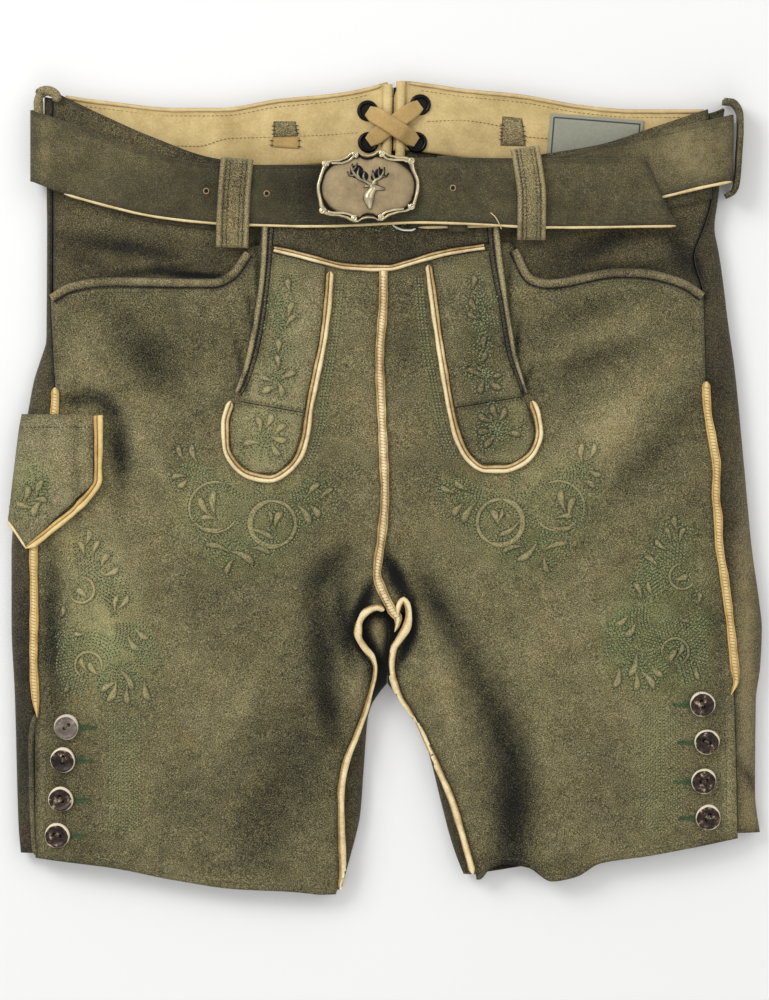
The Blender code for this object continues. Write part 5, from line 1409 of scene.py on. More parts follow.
def belt():
    """The belt's two stretches over the front, its holes, and the belt behind the body."""
    edges, lift = (smooth(STRAP_TOP), smooth(STRAP_BOTTOM)), smooth(STRAP_LIFT)
    points = strap_points((BELT_RIGHT_END,) * 2, BELT_TIP, edges, lift, "start")
    belt_stretch("belt_over_front", points, "belt_front")
    lower, lower_lift = ((smooth(BUCKLE_STRAP_TOP), smooth(BUCKLE_STRAP_BOTTOM)),
                         smooth(BUCKLE_STRAP_LIFT))
    points = strap_points((BUCKLE_END,) * 2, (BELT_LEFT_END,) * 2, lower, lower_lift, "end")
    belt_stretch("belt_under_tip", points, "belt_buckle_end")
    belt_cut_edge("cut_edge_over", edges[1], lift, (-213.0, 191.0), 2.0)
    belt_cut_edge("cut_edge_under", lower[1], lower_lift, (21.0, 228.0), 2.2)
    belt_holes()
    belt_round_back()


def belt_stretch(name, points, node):
    """A stretch of belt with its outer face at these points, and its sewing."""
    hide_piece(name, points, BELT, "belt suede", node, "belt_suede", flip=True)
    for row in (BELT_GROOVE, len(points) - 1 - BELT_GROOVE):
        sew_groove(points[row])


def sew_groove(line):
    """A row of sewing along a groove of the belt, as far as it isn't curled down steeply."""
    reach = np.concatenate([[0], np.cumsum(np.linalg.norm(np.diff(line, axis=0), axis=1))])
    along = np.arange(BELT_PITCH / 2, reach[-1], BELT_PITCH)
    middle, ahead = (np.stack([np.interp(at, reach, line[:, axis]) for axis in range(3)], axis=1)
                     for at in (along, along + 0.6))
    way = ahead - middle
    keep = np.linalg.norm(way, axis=1) > 1e-6
    middle, way = middle[keep], way[keep]
    way /= np.linalg.norm(way, axis=1, keepdims=True)
    up = np.cross(way, np.cross([0.0, 0.0, 1.0], way))
    up /= np.maximum(np.linalg.norm(up, axis=1, keepdims=True), 1e-6)
    level_run = np.abs(way[:, 2]) < STEEP
    SEWING["belt"].add(middle[level_run], way[level_run], up[level_run], *BELT_STITCH)


# Holes punched in the belt: x, y, and the height of the face there over the front.
BELT_HOLES = [(-119, 195.7, 1.3), (-79, 193.9, 2.8), (43.7, 197.0, 8.8)]
HOLE_RADIUS = 1.35
RIM_RADIUS = 2.1
HOLE_RIM = [(0.6, -0.3), (0.7, 0.25), (0.85, 0.35), (1.0, 0.0)]    # share of its radius, height

# Across the belt's cut edge: place, height, and painted light: a painted highlight on its
# rounded middle, painted shade at its sides.
CUT_EDGE = [(-1.0, 0.0, 0.3), (-0.8, 0.7, 0.75), (-0.3, 1.1, 0.95), (0.3, 1.1, 0.9), (0.8, 0.7, 0.7),
            (1.0, 0.0, 0.2)]
CUT_EDGE_DEPTH = 1.1     # how far below the belt's face it lies
CUT_EDGE_SHOWS = 0.6     # how far its middle line lies outside the belt's edge, of its half width


def belt_cut_edge(name, edge, lift, span, width):
    """The pale cut edge that shows along the lower side of a stretch of belt."""
    path = beside(edge, span, 24, -width / 2 * CUT_EDGE_SHOWS)

    def high(share):
        return lift(lerp(*span, share)) + BELT - CUT_EDGE_DEPTH

    strip_piece(name, path, hand_cut(width, path_length(path), (6, 3)), high, scaled(CUT_EDGE, 0.8),
                "cut leather", None, "belt_suede", belt_over)


def belt_holes():
    """Punched holes, each with a disc of painted shade inside, with the pale leather pushed up round
    them.
    """
    rims, insides = [], []
    for x, y, high in BELT_HOLES:
        at = np.array([x, y, float(belt_over(x, y)) + high + BELT])
        rims.append(turned_part(at + polar(HOLE_RIM, RIM_RADIUS, 24, 2), flip=True))
        # A disc of painted shade at the bottom of the hole.
        inside = at + polar([(0.0, 0.12), (0.98, 0.12)], HOLE_RADIUS, 24, 1)
        insides.append(turned_part(inside))
    for name, parts, material in (("hole_rims", rims, "cut leather"),
                                  ("belt_holes", insides, "dark inside")):
        points, faces = gather(parts)
        new_piece(name, points, faces, material, None, "belt_suede", {"edge": 0.35 + 0 * points[:, 0]},
                  0, merge=True)


def belt_round_back():
    """The belt behind the body, on the surface and on its loops."""
    top_edge, bottom_edge = smooth(BELT_BACK_TOP), smooth(BELT_BACK_BOTTOM)
    turn = np.linspace(0, math.pi / 2, BACK_TURN_COLUMNS)
    distance = np.concatenate([[0.0], WRAP_UNDER * (1 - np.cos(turn))])
    sink = np.concatenate([[0.0], np.sin(turn)])
    flat = np.linspace(BELT_RIGHT_END + WRAP_UNDER, BELT_LEFT_END - WRAP_UNDER,
                       BACK_BELT_COLUMNS)[1:-1]
    x = np.concatenate([BELT_RIGHT_END + distance, flat, (BELT_LEFT_END - distance)[::-1]])[None, :]
    sunk = np.concatenate([sink, np.ones(len(flat)), sink[::-1]])[None, :]
    share = band_shares(BACK_BELT_WIDTH)
    y = lerp(bottom_edge(x), top_edge(x), share)
    high = WRAP_HEIGHT - SEAM / 2
    z = lerp(high - WRAP_EDGE, loop_bed(x), sunk) + 0 * y
    z[:, [0, -1]] = high
    z = z - np.minimum(band_relief(share, BACK_BELT_WIDTH), 0.0) * sunk * 0.6
    points = np.stack([x + 0 * y, y, z], axis=-1)
    hide_piece("belt_round_back", points, BELT, "belt suede", "belt_back", "belt_suede",
               flip=True)


KEEPER_CENTRE = (43.6, 193.8)
KEEPER_WIDTH = 13.0
KEEPER_HALF = 24.8       # half its length across the belt
KEEPER_SLANT = 3.6       # how far its upper end leans to the right, and its lower end to the left
KEEPER_HEIGHTS = (2.3, 8.4)  # its undermost and uppermost outer faces over the front
KEEPER_POWER = 8.0       # how square its section is
KEEPER_COLUMNS = 97      # round it


def belt_keeper():
    """A closed band round the buckle's strap, under the free end."""
    turn = np.linspace(0, 2 * math.pi, KEEPER_COLUMNS)[None, :]
    cos, sin = np.cos(turn), np.sin(turn)
    size = (np.abs(cos) ** KEEPER_POWER + np.abs(sin) ** KEEPER_POWER) ** (-1 / KEEPER_POWER)
    across = column(np.linspace(-KEEPER_WIDTH / 2, KEEPER_WIDTH / 2, 15))
    x = across + KEEPER_CENTRE[0] - KEEPER_SLANT * size * cos
    y = KEEPER_CENTRE[1] + KEEPER_HALF * size * cos + 0 * across
    z = belt_over(x, y) + lerp(*KEEPER_HEIGHTS, 0.5 + 0.5 * size * sin)
    hide_piece("keeper", np.stack([x, y, z], axis=-1), 1.2, "belt suede", "belt_keeper", "belt_suede")


# Front belt loops: side, points from its lower end up, underside over the belt, width.
FRONT_LOOPS = [("right", [(-102.0, 158.5), (-100.8, 188), (-98.5, 217.5)], 5.9, 21.6),
               ("left", [(95.6, 163.5), (95.7, 190), (93.8, 208), (91.0, 224.5)], 9.5, 19.0)]
LOOP_SEWING = (-0.62, -0.36, 0.36, 0.62)   # rows of sewing: places across, -1 to 1
# Across a loop: place, height, and painted light: lighter on its raised edges and middle, painted shade
# in its sewn grooves.
LOOP_SECTION = [(-1.0, 0.3, 0.2), (-0.97, 1.5, 0.8), (-0.9, 2.5, 1.6), (-0.78, 2.7, 1.8),
                (-0.68, 2.1, 0.6), (-0.62, 1.7, 0.2), (-0.5, 2.3, 1), (-0.36, 2.0, 0.4), (-0.26, 2.4, 1),
                (0.0, 2.5, 1), (0.26, 2.4, 1), (0.36, 2.0, 0.4), (0.5, 2.3, 1), (0.62, 1.7, 0.2),
                (0.68, 2.1, 0.6), (0.78, 2.7, 1.8), (0.9, 2.5, 1.6), (0.97, 1.5, 0.8), (1.0, 0.3, 0.2)]
# Height along a loop: share of its length, share of its full height.
LOOP_RISE = [(0.0, 0.0), (0.012, 0.3), (0.04, 0.45), (0.09, 0.55), (0.13, 0.7), (0.18, 1.0), (0.5, 1.06),
             (0.9, 1.0), (0.955, 0.92), (0.985, 0.6), (1.0, 0.1)]


def belt_loops():
    """The loops over the belt in front, and those behind and beside it."""
    for side, path, high, width in FRONT_LOOPS:
        front_loop(side, path, high, width)
    for name, x, width, ends in BACK_LOOP_ROWS:
        under_loop(f"loop_{name}", f"belt_loop_{name}", x, width, ends)
    side_loop()
    strip_piece("loop_side_arch", SIDE_ARCH, hand_cut(6.5, path_length(SIDE_ARCH), (0, 2)), 3.0,
                scaled(CORD, 2.6), "loop suede", None, "suede_olive", step=0.8)


def front_loop(side, path, high, width):
    """A loop over the belt, with four rows of sewing."""
    lift = smooth([(at, high * part) for at, part in LOOP_RISE])
    low, top = path[0][1], path[-1][1]
    across = smooth([(y, x) for x, y in path])
    strip_piece(f"loop_front_{side}", path, width, lift, LOOP_SECTION, "loop suede",
                f"belt_loop_front_{side}", "suede_olive", step=0.8)

    def face(x, y):
        return skin(x, y) + lift((y - low) / (top - low))

    for place in LOOP_SEWING:
        shift = place * width / 2
        line = [(float(across(y)) + shift, y) for y in np.linspace(low + 3.5, top - 3.5, 6)]
        SEWING["dark"].along(line, face, 1.9, pitch=2.4, length=1.7, width=0.7)


# The loops that pass under the belt: name, x, width, y of the two ends.
BACK_LOOP_ROWS = [("back_right", BACK_LOOPS["right"], LOOP_WIDTH, (193.5, 255.0)),
                  ("back_left", BACK_LOOPS["left"], LOOP_WIDTH, (193.5, 256.0)),
                  ("side_right", SIDE_LOOP_X, 13.0, (196.5, 258.5))]
# The right side loop's upper end, rolled over the waist's corner.
SIDE_ARCH = [(-230.3, 246), (-230.6, 254), (-228.6, 260), (-223.8, 262.6), (-218.6, 260.2),
             (-216.4, 255)]


def under_loop(name, node, x_middle, width, ends):
    """A loop on the back: it passes under the belt, with its ends sewn to the back panel."""
    y_low, y_top = ends
    x, y = np.meshgrid(x_middle + np.linspace(-1, 1, 11) * width / 2, np.linspace(y_low, y_top, 50))
    under_belt = ramp(y, y_low, 201) * (1 - ramp(y, 247, y_top))
    sewn = np.maximum(0.0, belt_bed(x, y) - 2 * REST - STRIP)
    points = np.stack([x, y, lerp(sewn, 0.0, under_belt)], axis=-1)
    hide_piece(name, points, STRIP, "olive suede", node, "suede_olive", flip=True)


# Outline of the left side loop, seen from in front, and the heights of its two edges.
SIDE_LOOP = [(226.0, 192.0), (230.5, 194.3), (233.3, 199), (234.4, 206), (235.5, 221), (236.4, 238),
             (236.2, 247), (233.8, 253.5), (229.4, 257.2), (223.5, 257.8)]
SIDE_LOOP_HEIGHTS = (3.0, 17.0)
SIDE_LOOP_FOLDED = 3.4   # its leather lies double


def side_loop():
    """The loop at the left side fold, standing on its edge round the belt."""
    line = path_points(SIDE_LOOP, 60)[0]
    low, high = SIDE_LOOP_HEIGHTS
    share = np.linspace(0, 1, 15)[None, :]
    x, y = line[:, :1] + 0.0 * share, line[:, 1:] + 0.0 * share
    bulge = 0.5 * np.sin(math.pi * share)
    points = np.stack([x + bulge, y, lerp(high, low, share) + 0 * x], axis=-1)
    hide_piece("loop_side_left", points, SIDE_LOOP_FOLDED, "olive suede", "belt_loop_side_left",
               "suede_olive")


# ---------------------------------------------------------------- metal and small pieces
# The buckle's outline: angle in degrees, reach from the middle.
BUCKLE_OUTLINE = [
    (6, 34.2), (20, 33.2), (30, 34.4), (36, 33.4), (46, 28.6), (58, 26.0), (66, 26.6), (73, 26.0),
    (80, 22.8), (91, 21.6), (101, 22.6), (108, 25.6), (115, 26.0), (124, 25.2), (137, 27.0),
    (146, 31.8), (152, 33.6), (158, 33.2), (168, 33.4), (181, 34.3), (194, 34.0), (203, 34.8),
    (209, 34.8), (215, 32.6), (225, 27.4), (237, 25.2), (246, 25.2), (253, 24.4), (260, 21.6),
    (270, 20.6), (281, 21.4), (288, 23.6), (295, 24.0), (304, 23.6), (319, 26.2), (330, 31.4),
    (338, 33.6), (345, 33.4), (354, 33.8),
]
PLATE_AXES = (31.2, 20.4)    # the recessed plate inside the frame
BEAD = 3.3                   # the least width of the frame round the plate
PLATE_SHARE = 0.9            # where the plate ends, as a share of the outline
PLATE_POWER = 2.15           # how square the plate's oval is
SECTION_FINE = 3             # rings for each row of the section
GROUND_ROWS = 5              # so many rows of the section belong to the plate
HOOK_RADIUS = 0.95           # of its wire
HOOK_OVER = (10.0, 170.0)    # it lies level, at this height over the front here
HOOK_LIFT = 4.6
# The buckle's section from its middle on top, over the rim and back underneath: share of the
# outline, height over the underside, depth of the dark patina.
BUCKLE_SECTION = [
    (0.0, 3.0, 0.2), (0.35, 2.9, 0.14), (0.66, 2.7, 0.03), (0.8, 2.5, 0.14), (0.875, 2.2, 0.5),
    (0.90, 1.8, 1.0), (0.912, 2.0, 0.9), (0.928, 3.2, 0.2), (0.948, 3.9, 0.0), (0.972, 3.8, 0.0),
    (0.99, 3.0, 0.25), (1.0, 1.6, 0.6), (0.985, 0.4, 0.5), (0.94, 0.0, 0.5), (0.5, 0.0, 0.5),
    (0.0, 0.0, 0.5),
]
# Scrolls curled on the frame: x, y from its middle, radius, turn in degrees where they start.
VOLUTES = [
    (28.4, 17.4, 2.0, 200), (8.8, 22.2, 1.9, 250), (-8.8, 21.6, 1.9, 290), (-28.4, 15.2, 2.0, 340),
    (-30.0, -15.6, 2.0, 20), (-9.0, -20.6, 1.9, 70), (8.8, -20.0, 1.9, 110), (28.6, -12.6, 2.0, 160),
]
# The second ridge inside each corner of the frame: first and last angle, distance inside the rim.
CORNER_RIDGES = [(34, 66, 3.6), (114, 146, 3.6), (212, 246, 3.6), (296, 328, 3.6)]
# The stag's head seen from its right, as limbs of (x, y, radius) rows from its middle.
STAG_LIMBS = [
    [(1.0, -13.4, 1.7), (0.7, -10.8, 2.8), (0.2, -7.6, 3.6), (1.6, -4.2, 3.0), (3.2, -1.6, 2.5)],
    [(3.0, -0.8, 2.5), (5.4, -0.9, 2.2), (8.2, -1.3, 1.5), (10.2, -1.6, 1.15)],
    [(1.4, 0.4, 1.0), (-0.8, 0.2, 1.1), (-2.8, -0.8, 0.4)],
    [(3.4, 1.0, 0.9), (5.0, 2.0, 0.9), (6.2, 2.4, 0.4)],
    [(-1.2, -4.4, 0.6), (-2.4, -7.6, 0.8), (-1.4, -11.4, 0.5)],
    [(0.6, -3.8, 0.6), (-0.4, -8.0, 1.9), (0.2, -12.6, 0.6)],
    [(2.8, -4.0, 0.5), (2.6, -8.0, 1.5), (1.6, -13.0, 0.5)],
    [(1.8, 1.0, 1.3), (-1.4, 3.0, 1.2), (-5.6, 4.8, 1.1), (-8.8, 7.8, 1.0), (-10.8, 11.6, 0.9),
     (-10.4, 14.6, 0.5)],
    [(-1.6, 3.0, 0.9), (-3.2, 6.2, 0.85), (-2.4, 9.8, 0.45)],
    [(-5.4, 4.8, 0.9), (-7.0, 8.0, 0.85), (-6.0, 12.4, 0.45)],
    [(-8.6, 7.4, 0.9), (-12.0, 7.2, 0.8), (-13.6, 9.6, 0.45)],
    [(-10.4, 10.6, 0.8), (-8.2, 12.6, 0.7), (-7.2, 15.2, 0.4)],
    [(3.2, 1.6, 1.2), (4.8, 4.0, 1.15), (7.8, 5.6, 1.05), (9.8, 8.6, 0.95), (10.6, 12.2, 0.5)],
    [(4.6, 3.8, 0.9), (3.4, 7.0, 0.85), (3.0, 10.4, 0.45)],
    [(7.6, 5.4, 0.9), (6.8, 9.0, 0.85), (7.4, 12.4, 0.45)],
    [(8.6, 6.4, 0.8), (11.6, 6.6, 0.7), (13.4, 8.6, 0.4)],
]
# Dark hollows of the plate between the antlers' tines: x, y, radius.
ANTLER_HOLLOWS = [(-7.4, 9.4, 4.8), (-3.0, 6.6, 3.6), (7.4, 8.0, 4.0), (4.0, 6.0, 2.8)]
# The wire hook's route, x and y.
HOOK_ROUTE = [(3.6, 180.0), (3.6, 176.0), (4.4, 173.4), (7.4, 171.2), (11.7, 169.9), (15.8, 169.8),
              (18.6, 170.6)]
CAP_RINGS = 3                # rings of a limb's rounded ends


def turned_part(points, flip=False):
    """Points in closed rings, with the faces between them."""
    return points, grid_faces(*points.shape[:2], closed=True, flip=flip)


def tube(rows, sides=10, flatten=1.0, steps=5):
    """Points and faces of a round limb through (x, y, z, radius) rows, closed at both ends."""
    rows = np.array(rows, float)
    reach = np.concatenate([[0.0], np.cumsum(np.linalg.norm(np.diff(rows[:, :3], axis=0), axis=1))])
    along = np.linspace(0, reach[-1], steps * (len(rows) - 1) + 1)
    lines = [smooth(list(zip(reach, rows[:, axis]))) for axis in range(4)]
    middle = np.stack([line(along) for line in lines[:3]], axis=1)
    radius = lines[3](along)
    way = np.gradient(middle, axis=0)
    way /= np.linalg.norm(way, axis=1, keepdims=True)
    side = np.cross(way, [0.0, 0.0, 1.0])
    side /= np.maximum(np.linalg.norm(side, axis=1, keepdims=True), 1e-6)
    up = np.cross(side, way)
    turn = column(np.linspace(0, 2 * math.pi, sides, endpoint=False))
    bends = np.linspace(0, math.pi / 2, CAP_RINGS + 1)[1:]
    # Each ring: row of the middle line, how far beyond it and how wide, in radii.
    rings = [(0, -math.sin(bend), math.cos(bend)) for bend in bends[::-1]]
    rings += [(row, 0.0, 1.0) for row in range(len(along))]
    rings += [(len(along) - 1, math.sin(bend), math.cos(bend)) for bend in bends]
    points = []
    for row, ahead, wide in rings:
        outward = side[row] * np.cos(turn) + up[row] * np.sin(turn) * flatten
        size = radius[row]
        points.append(middle[row] + way[row] * ahead * size + size * max(wide, 0.02) * outward)
    return turned_part(np.stack(points))


def gather(parts):
    """Several (points, faces) as one."""
    points, faces, start = [], [], 0
    for part_points, part_faces in parts:
        flat = np.asarray(part_points).reshape(-1, 3)
        points.append(flat)
        faces += (np.asarray(part_faces) + start).tolist()
        start += len(flat)
    return np.concatenate(points), faces


def buckle_points():
    """The buckle's rings of points, with the patina's depth."""
    turn = np.radians(np.arange(0, 360, 2.0))
    outer = buckle_outline()(np.degrees(turn))
    cos, sin = np.cos(turn), np.sin(turn)
    oval = (np.abs(cos / PLATE_AXES[0]) ** PLATE_POWER
            + np.abs(sin / PLATE_AXES[1]) ** PLATE_POWER) ** (-1 / PLATE_POWER)
    oval = np.minimum(oval, outer - BEAD)
    section = np.array(BUCKLE_SECTION)
    marks = np.linspace(0, len(section) - 1, SECTION_FINE * (len(section) - 1) + 1)
    share, height, hollow = (smooth(list(zip(range(len(section)), section[:, axis])))(marks)
                             for axis in range(3))
    form = column(ramp(share, PLATE_SHARE - 0.02, 0.94))
    radius = column(share) * lerp(oval[None, :] / PLATE_SHARE, outer[None, :], form)
    x = BUCKLE_CENTRE[0] + radius * cos
    y = BUCKLE_CENTRE[1] + radius * sin
    z = buckle_base() + column(height) + 0 * x
    return np.stack([x, y, z], axis=-1), column(hollow) + 0 * x


def buckle_outline():
    """Reach of the buckle's outline at an angle in degrees, as a closed line."""
    rows = [(angle - 360, size) for angle, size in BUCKLE_OUTLINE[-4:]] + BUCKLE_OUTLINE
    return smooth(rows + [(angle + 360, size) for angle, size in BUCKLE_OUTLINE[:4]])


def buckle_base():
    """Height of the plate's underside."""
    return float(belt_over(*BUCKLE_CENTRE)) + BUCKLE_LIFT


def buckle():
    """The buckle's plate and frame, its scrolls, the stag and the wire hook behind them."""
    points, hollow = buckle_points()
    plate = new_piece("buckle_frame", *turned_part(points), "antique bronze", "buckle_plate",
                      "antique_bronze", {"hollow": hollow}, sharp=60, merge=True)
    plate.data.materials.append(MATERIALS["buckle ground"])
    ground = SECTION_FINE * GROUND_ROWS * points.shape[1]
    for polygon in plate.data.polygons:
        polygon.material_index = 1 if max(polygon.vertices) < ground else 0
    curls = [corner_ridge(*row) for row in CORNER_RIDGES] + [volute(*row) for row in VOLUTES]
    points, faces = gather(curls)
    new_piece("buckle_scrolls", points, faces, "antique bronze", None, "antique_bronze",
              {"hollow": 0 * points[:, 0]}, 0)
    stag()
    height = float(belt_over(*HOOK_OVER)) + HOOK_LIFT
    points, faces = tube([(x, y, height, HOOK_RADIUS) for x, y in HOOK_ROUTE], steps=6)
    new_piece("wire_hook", points, faces, "wire", "buckle_hook", "antique_bronze", None, 0)


def corner_ridge(first, last, inside):
    """The second ridge along a corner of the frame."""
    angles = np.linspace(first, last, 9)
    rows = [(BUCKLE_CENTRE[0] + size * math.cos(math.radians(angle)),
             BUCKLE_CENTRE[1] + size * math.sin(math.radians(angle)), buckle_base() + 3.1, 0.8)
            for angle, size in zip(angles, smooth(BUCKLE_OUTLINE)(angles) - inside)]
    return tube(rows, 8, 0.9, 3)


def volute(x, y, radius, start):
    """A scroll that curls inwards and rises a little."""
    rows = []
    for k in range(12):
        angle = math.radians(start + k * 48)
        size = radius * (1 - k / 15)
        rows.append((BUCKLE_CENTRE[0] + x + size * math.cos(angle),
                     BUCKLE_CENTRE[1] + y + size * math.sin(angle), buckle_base() + 3.7 + 0.05 * k,
                     0.8 - 0.02 * k))
    return tube(rows, 8, 0.8, 3)


def stag():
    """A generic stag's head in relief, with an eye, on the plate."""
    centre = np.array([BUCKLE_CENTRE[0], BUCKLE_CENTRE[1] + 0.5, buckle_base() + 3.0])
    limbs = []
    for rows in STAG_LIMBS:
        limb = [(centre[0] + x, centre[1] + y, centre[2] + 0.25, radius) for x, y, radius in rows]
        flatten = 0.6 if rows[0][2] > 2 else 0.95
        limbs.append(tube(limb, 12, flatten))
    eye = (centre[0] + 5.2, centre[1] - 0.8, centre[2] + 1.75)
    limbs.append(tube([(*eye, 0.42), (eye[0] + 0.3, eye[1] - 0.1, eye[2], 0.42)], 8, 1.0, 2))
    dark = [(0.0, 0.05), (0.7, 0.05), (1.0, -0.4)]
    shade = [turned_part(centre + [x, y, 0.12] + polar(dark, radius, 32, 2))
             for x, y, radius in ANTLER_HOLLOWS]
    new_piece("antler_hollows", *gather(shade), "black metal", None, "antique_bronze", None, 0,
              merge=True)
    points, faces = gather(limbs)
    hollow = 0.12 + 0.88 * np.clip(1.25 - (points[:, 2] - centre[2]) / 1.25, 0.0, 1.0)
    new_piece("stag_relief", points, faces, "antique bronze", "buckle_stag", "antique_bronze",
              {"hollow": hollow}, 0)


# Profile of a button: share of its radius, height over its underside.
BUTTON_SECTION = [(0.0, 2.3), (0.3, 2.3), (0.55, 2.45), (0.72, 2.9), (0.84, 3.25), (0.93, 2.9),
                  (1.0, 2.0), (0.96, 0.9), (0.86, 0.0), (0.0, 0.0)]
BUTTON_HOLES = [(-1.9, 0.0), (1.9, 0.0)]
BUTTON_HOLE_RADIUS = 0.95
BUTTON_HOLE_DEPTH = 1.7
BUTTON_FACE = 1.5                # what is higher over the underside belongs to the face


def frame_at(surface, x, y, lift, turn=0.0):
    """Origin and the three axes on a surface, turned about its normal."""
    at = laid(surface, np.array([x]), np.array([y]), lift)[0]
    up = normals_of(surface, np.array([x]), np.array([y]))[0]
    first = np.array([math.cos(turn), math.sin(turn), 0.0])
    first -= up * first.dot(up)
    first /= np.linalg.norm(first)
    return at, np.stack([first, np.cross(up, first), up])


def polar(section, radius, segments=56, fine=3):
    """Rings of local points from a profile of (share of the radius, height) rows."""
    rows = np.array(section)
    marks = np.linspace(0, len(rows) - 1, fine * (len(rows) - 1) + 1)
    share = column(np.interp(marks, range(len(rows)), rows[:, 0]))
    height = column(smooth(list(zip(range(len(rows)), rows[:, 1])))(marks))
    turn = np.linspace(0, 2 * math.pi, segments, endpoint=False)[None, :]
    size = share * radius
    return np.stack([size * np.cos(turn), size * np.sin(turn), height + 0 * size + 0 * turn], axis=-1)


BUTTON_LIFT = 0.9                # underside of a button over the front
BARK_WIDTH = {"right": 0.14, "left": 0.11}   # shares of the radius
BARK_SIDE = math.radians(82)     # where a button's pale bark is widest
GREY_BUTTON = ("right", 1)       # the one that is grey all over


def button(side, number, x, y):
    """A slice of stag horn with two holes; number also turns it."""
    local = polar(BUTTON_SECTION, BUTTON_RADIUS, 64, 5)
    turn = 0.7 * number + (1.3 if side == "left" else 0.0)
    angle = np.arctan2(local[..., 1], local[..., 0])
    local[..., :2] *= (1 + 0.02 * np.sin(3 * angle + number) + 0.015 * np.sin(2 * angle))[..., None]
    on_top = local[..., 2] > BUTTON_FACE
    depth = sum(np.exp(-(((local[..., 0] - hole_x) / BUTTON_HOLE_RADIUS) ** 2
                         + ((local[..., 1] - hole_y) / BUTTON_HOLE_RADIUS) ** 2) ** 2)
                for hole_x, hole_y in BUTTON_HOLES)
    local[..., 2] -= BUTTON_HOLE_DEPTH * depth * on_top
    size = np.hypot(local[..., 0], local[..., 1]) / BUTTON_RADIUS
    toward = 0.5 + 0.5 * np.cos(angle + turn - BARK_SIDE)
    wide = BARK_WIDTH[side] * ramp(toward, 0.3, 1.0)
    bark = ramp(size, 0.93 - wide, 0.98 - wide) * (0.75 + 0.4 * toward)
    # The holes get painted shade.
    tint = np.clip(bark - 1.5 * depth * on_top, -1, 1.2)
    at, axes = frame_at(skin, x, y, BUTTON_LIFT, turn)
    material = "grey horn" if (side, number) == GREY_BUTTON else "horn"
    new_piece(f"horn_button_{side}_{number}", *turned_part(at + local @ axes), material,
              f"button_{side}_{number}", "horn", {"tint": tint}, 50)
    pair = np.array([at + (np.array([*hole, 1.6]) @ axes) for hole in BUTTON_HOLES])
    middle = pair.mean(axis=0) + axes[2] * 0.75
    SEWING["panels"].add(middle[None], axes[0][None], axes[2][None], 3.8, 1.3, 0.5)


BUTTONHOLE_REACH = 12.0          # how far a buttonhole shows beside its button


def buttons():
    """The buttons and the buttonholes' stitches beside them."""
    for side, places in BUTTONS.items():
        for number, (x, y) in enumerate(places, 1):
            button(side, number, x, y)
            buttonhole(INWARD[side], x, y)


def buttonhole(inward, x, y):
    """Two rows of stitches that run together away from the button."""
    share = np.linspace(0.0, 1.0, 16)
    xs = x + inward * (BUTTON_RADIUS - 1.0 + BUTTONHOLE_REACH * share)
    for way in (-1, 1):
        half = way * (1.25 - 0.7 * share)
        spots = np.stack([xs, y - 0.6 + half], axis=1)
        slant = np.tile([0.35 * inward * way, 1.0], (len(xs), 1)) / 1.06
        SEWING["holes"].at(spots, slant, skin, 0.15, column(2.6 - 1.6 * share), 0.75, 0.6)


# Profile of an eyelet: share of its radius, height over the lining.
EYELET_SECTION = [(0.62, -0.6), (0.64, 0.7), (0.72, 1.35), (0.82, 1.6), (0.92, 1.25), (1.0, 0.4),
                  (0.98, 0.0), (0.8, 0.0)]


def eyelets():
    """The four black eyelets of the lacing, each with a disc of painted shade in its hole."""
    for name, (x, y) in EYELETS.items():
        at = np.array([x, y, float(lining(x, y)) + SEAM])
        ring = at + polar(EYELET_SECTION, EYELET_RADIUS, 48, 3)
        new_piece(f"ring_{name}", *turned_part(ring, flip=True), "black metal", f"eyelet_{name}",
                  "black_eyelet", None, 50)
        # A disc of painted shade in the hole.
        inside = at + polar([(0.0, 0.12), (1.05, 0.12)], EYELET_HOLE, 32, 2)
        new_piece(f"hole_{name}", *turned_part(inside), "dark inside", None, "black_eyelet", None, 0,
                  merge=True)


# Across a roll or a lace: place, height, and painted light: a painted highlight on the top,
# painted shade at the sides.
ROLL_SECTION = [(-1.0, 0.2, 0.2), (-0.9, 1.1, 0.6), (-0.6, 1.9, 1.0), (-0.2, 2.25, 1.1),
                (0.2, 2.25, 1.1), (0.6, 1.9, 1.0), (0.9, 1.1, 0.6), (1.0, 0.2, 0.2)]


def back_rolls():
    """Rolled edges on both sides of the laced opening at the centre back."""
    for side, middle, y_top in (("right", 0.4, 267.5), ("left", 9.4, 269.5)):
        path = [(middle - 0.6, 207.0), (middle, 240.0), (middle + 0.4, y_top)]
        strip_piece(f"roll_{side}", path, ROLL_WIDTH, SEAM, ROLL_SECTION, "tan lining",
                    f"back_roll_{side}", "tan_leather", lining)


LACE_HIGH = {"under": 3.3, "over": 5.3}      # undersides where the laces cross the rolls
# Across a lace: place, height, and painted light, in the same way.
LACE_SECTION = [(-1.0, 0.3, 0.3), (-0.95, 1.1, 0.7), (-0.8, 1.4, 1.0), (-0.4, 1.3, 1.0),
                (0.0, 1.45, 1.0), (0.5, 1.3, 1.0), (0.8, 1.4, 1.0), (0.95, 1.1, 0.7), (1.0, 0.3, 0.3)]


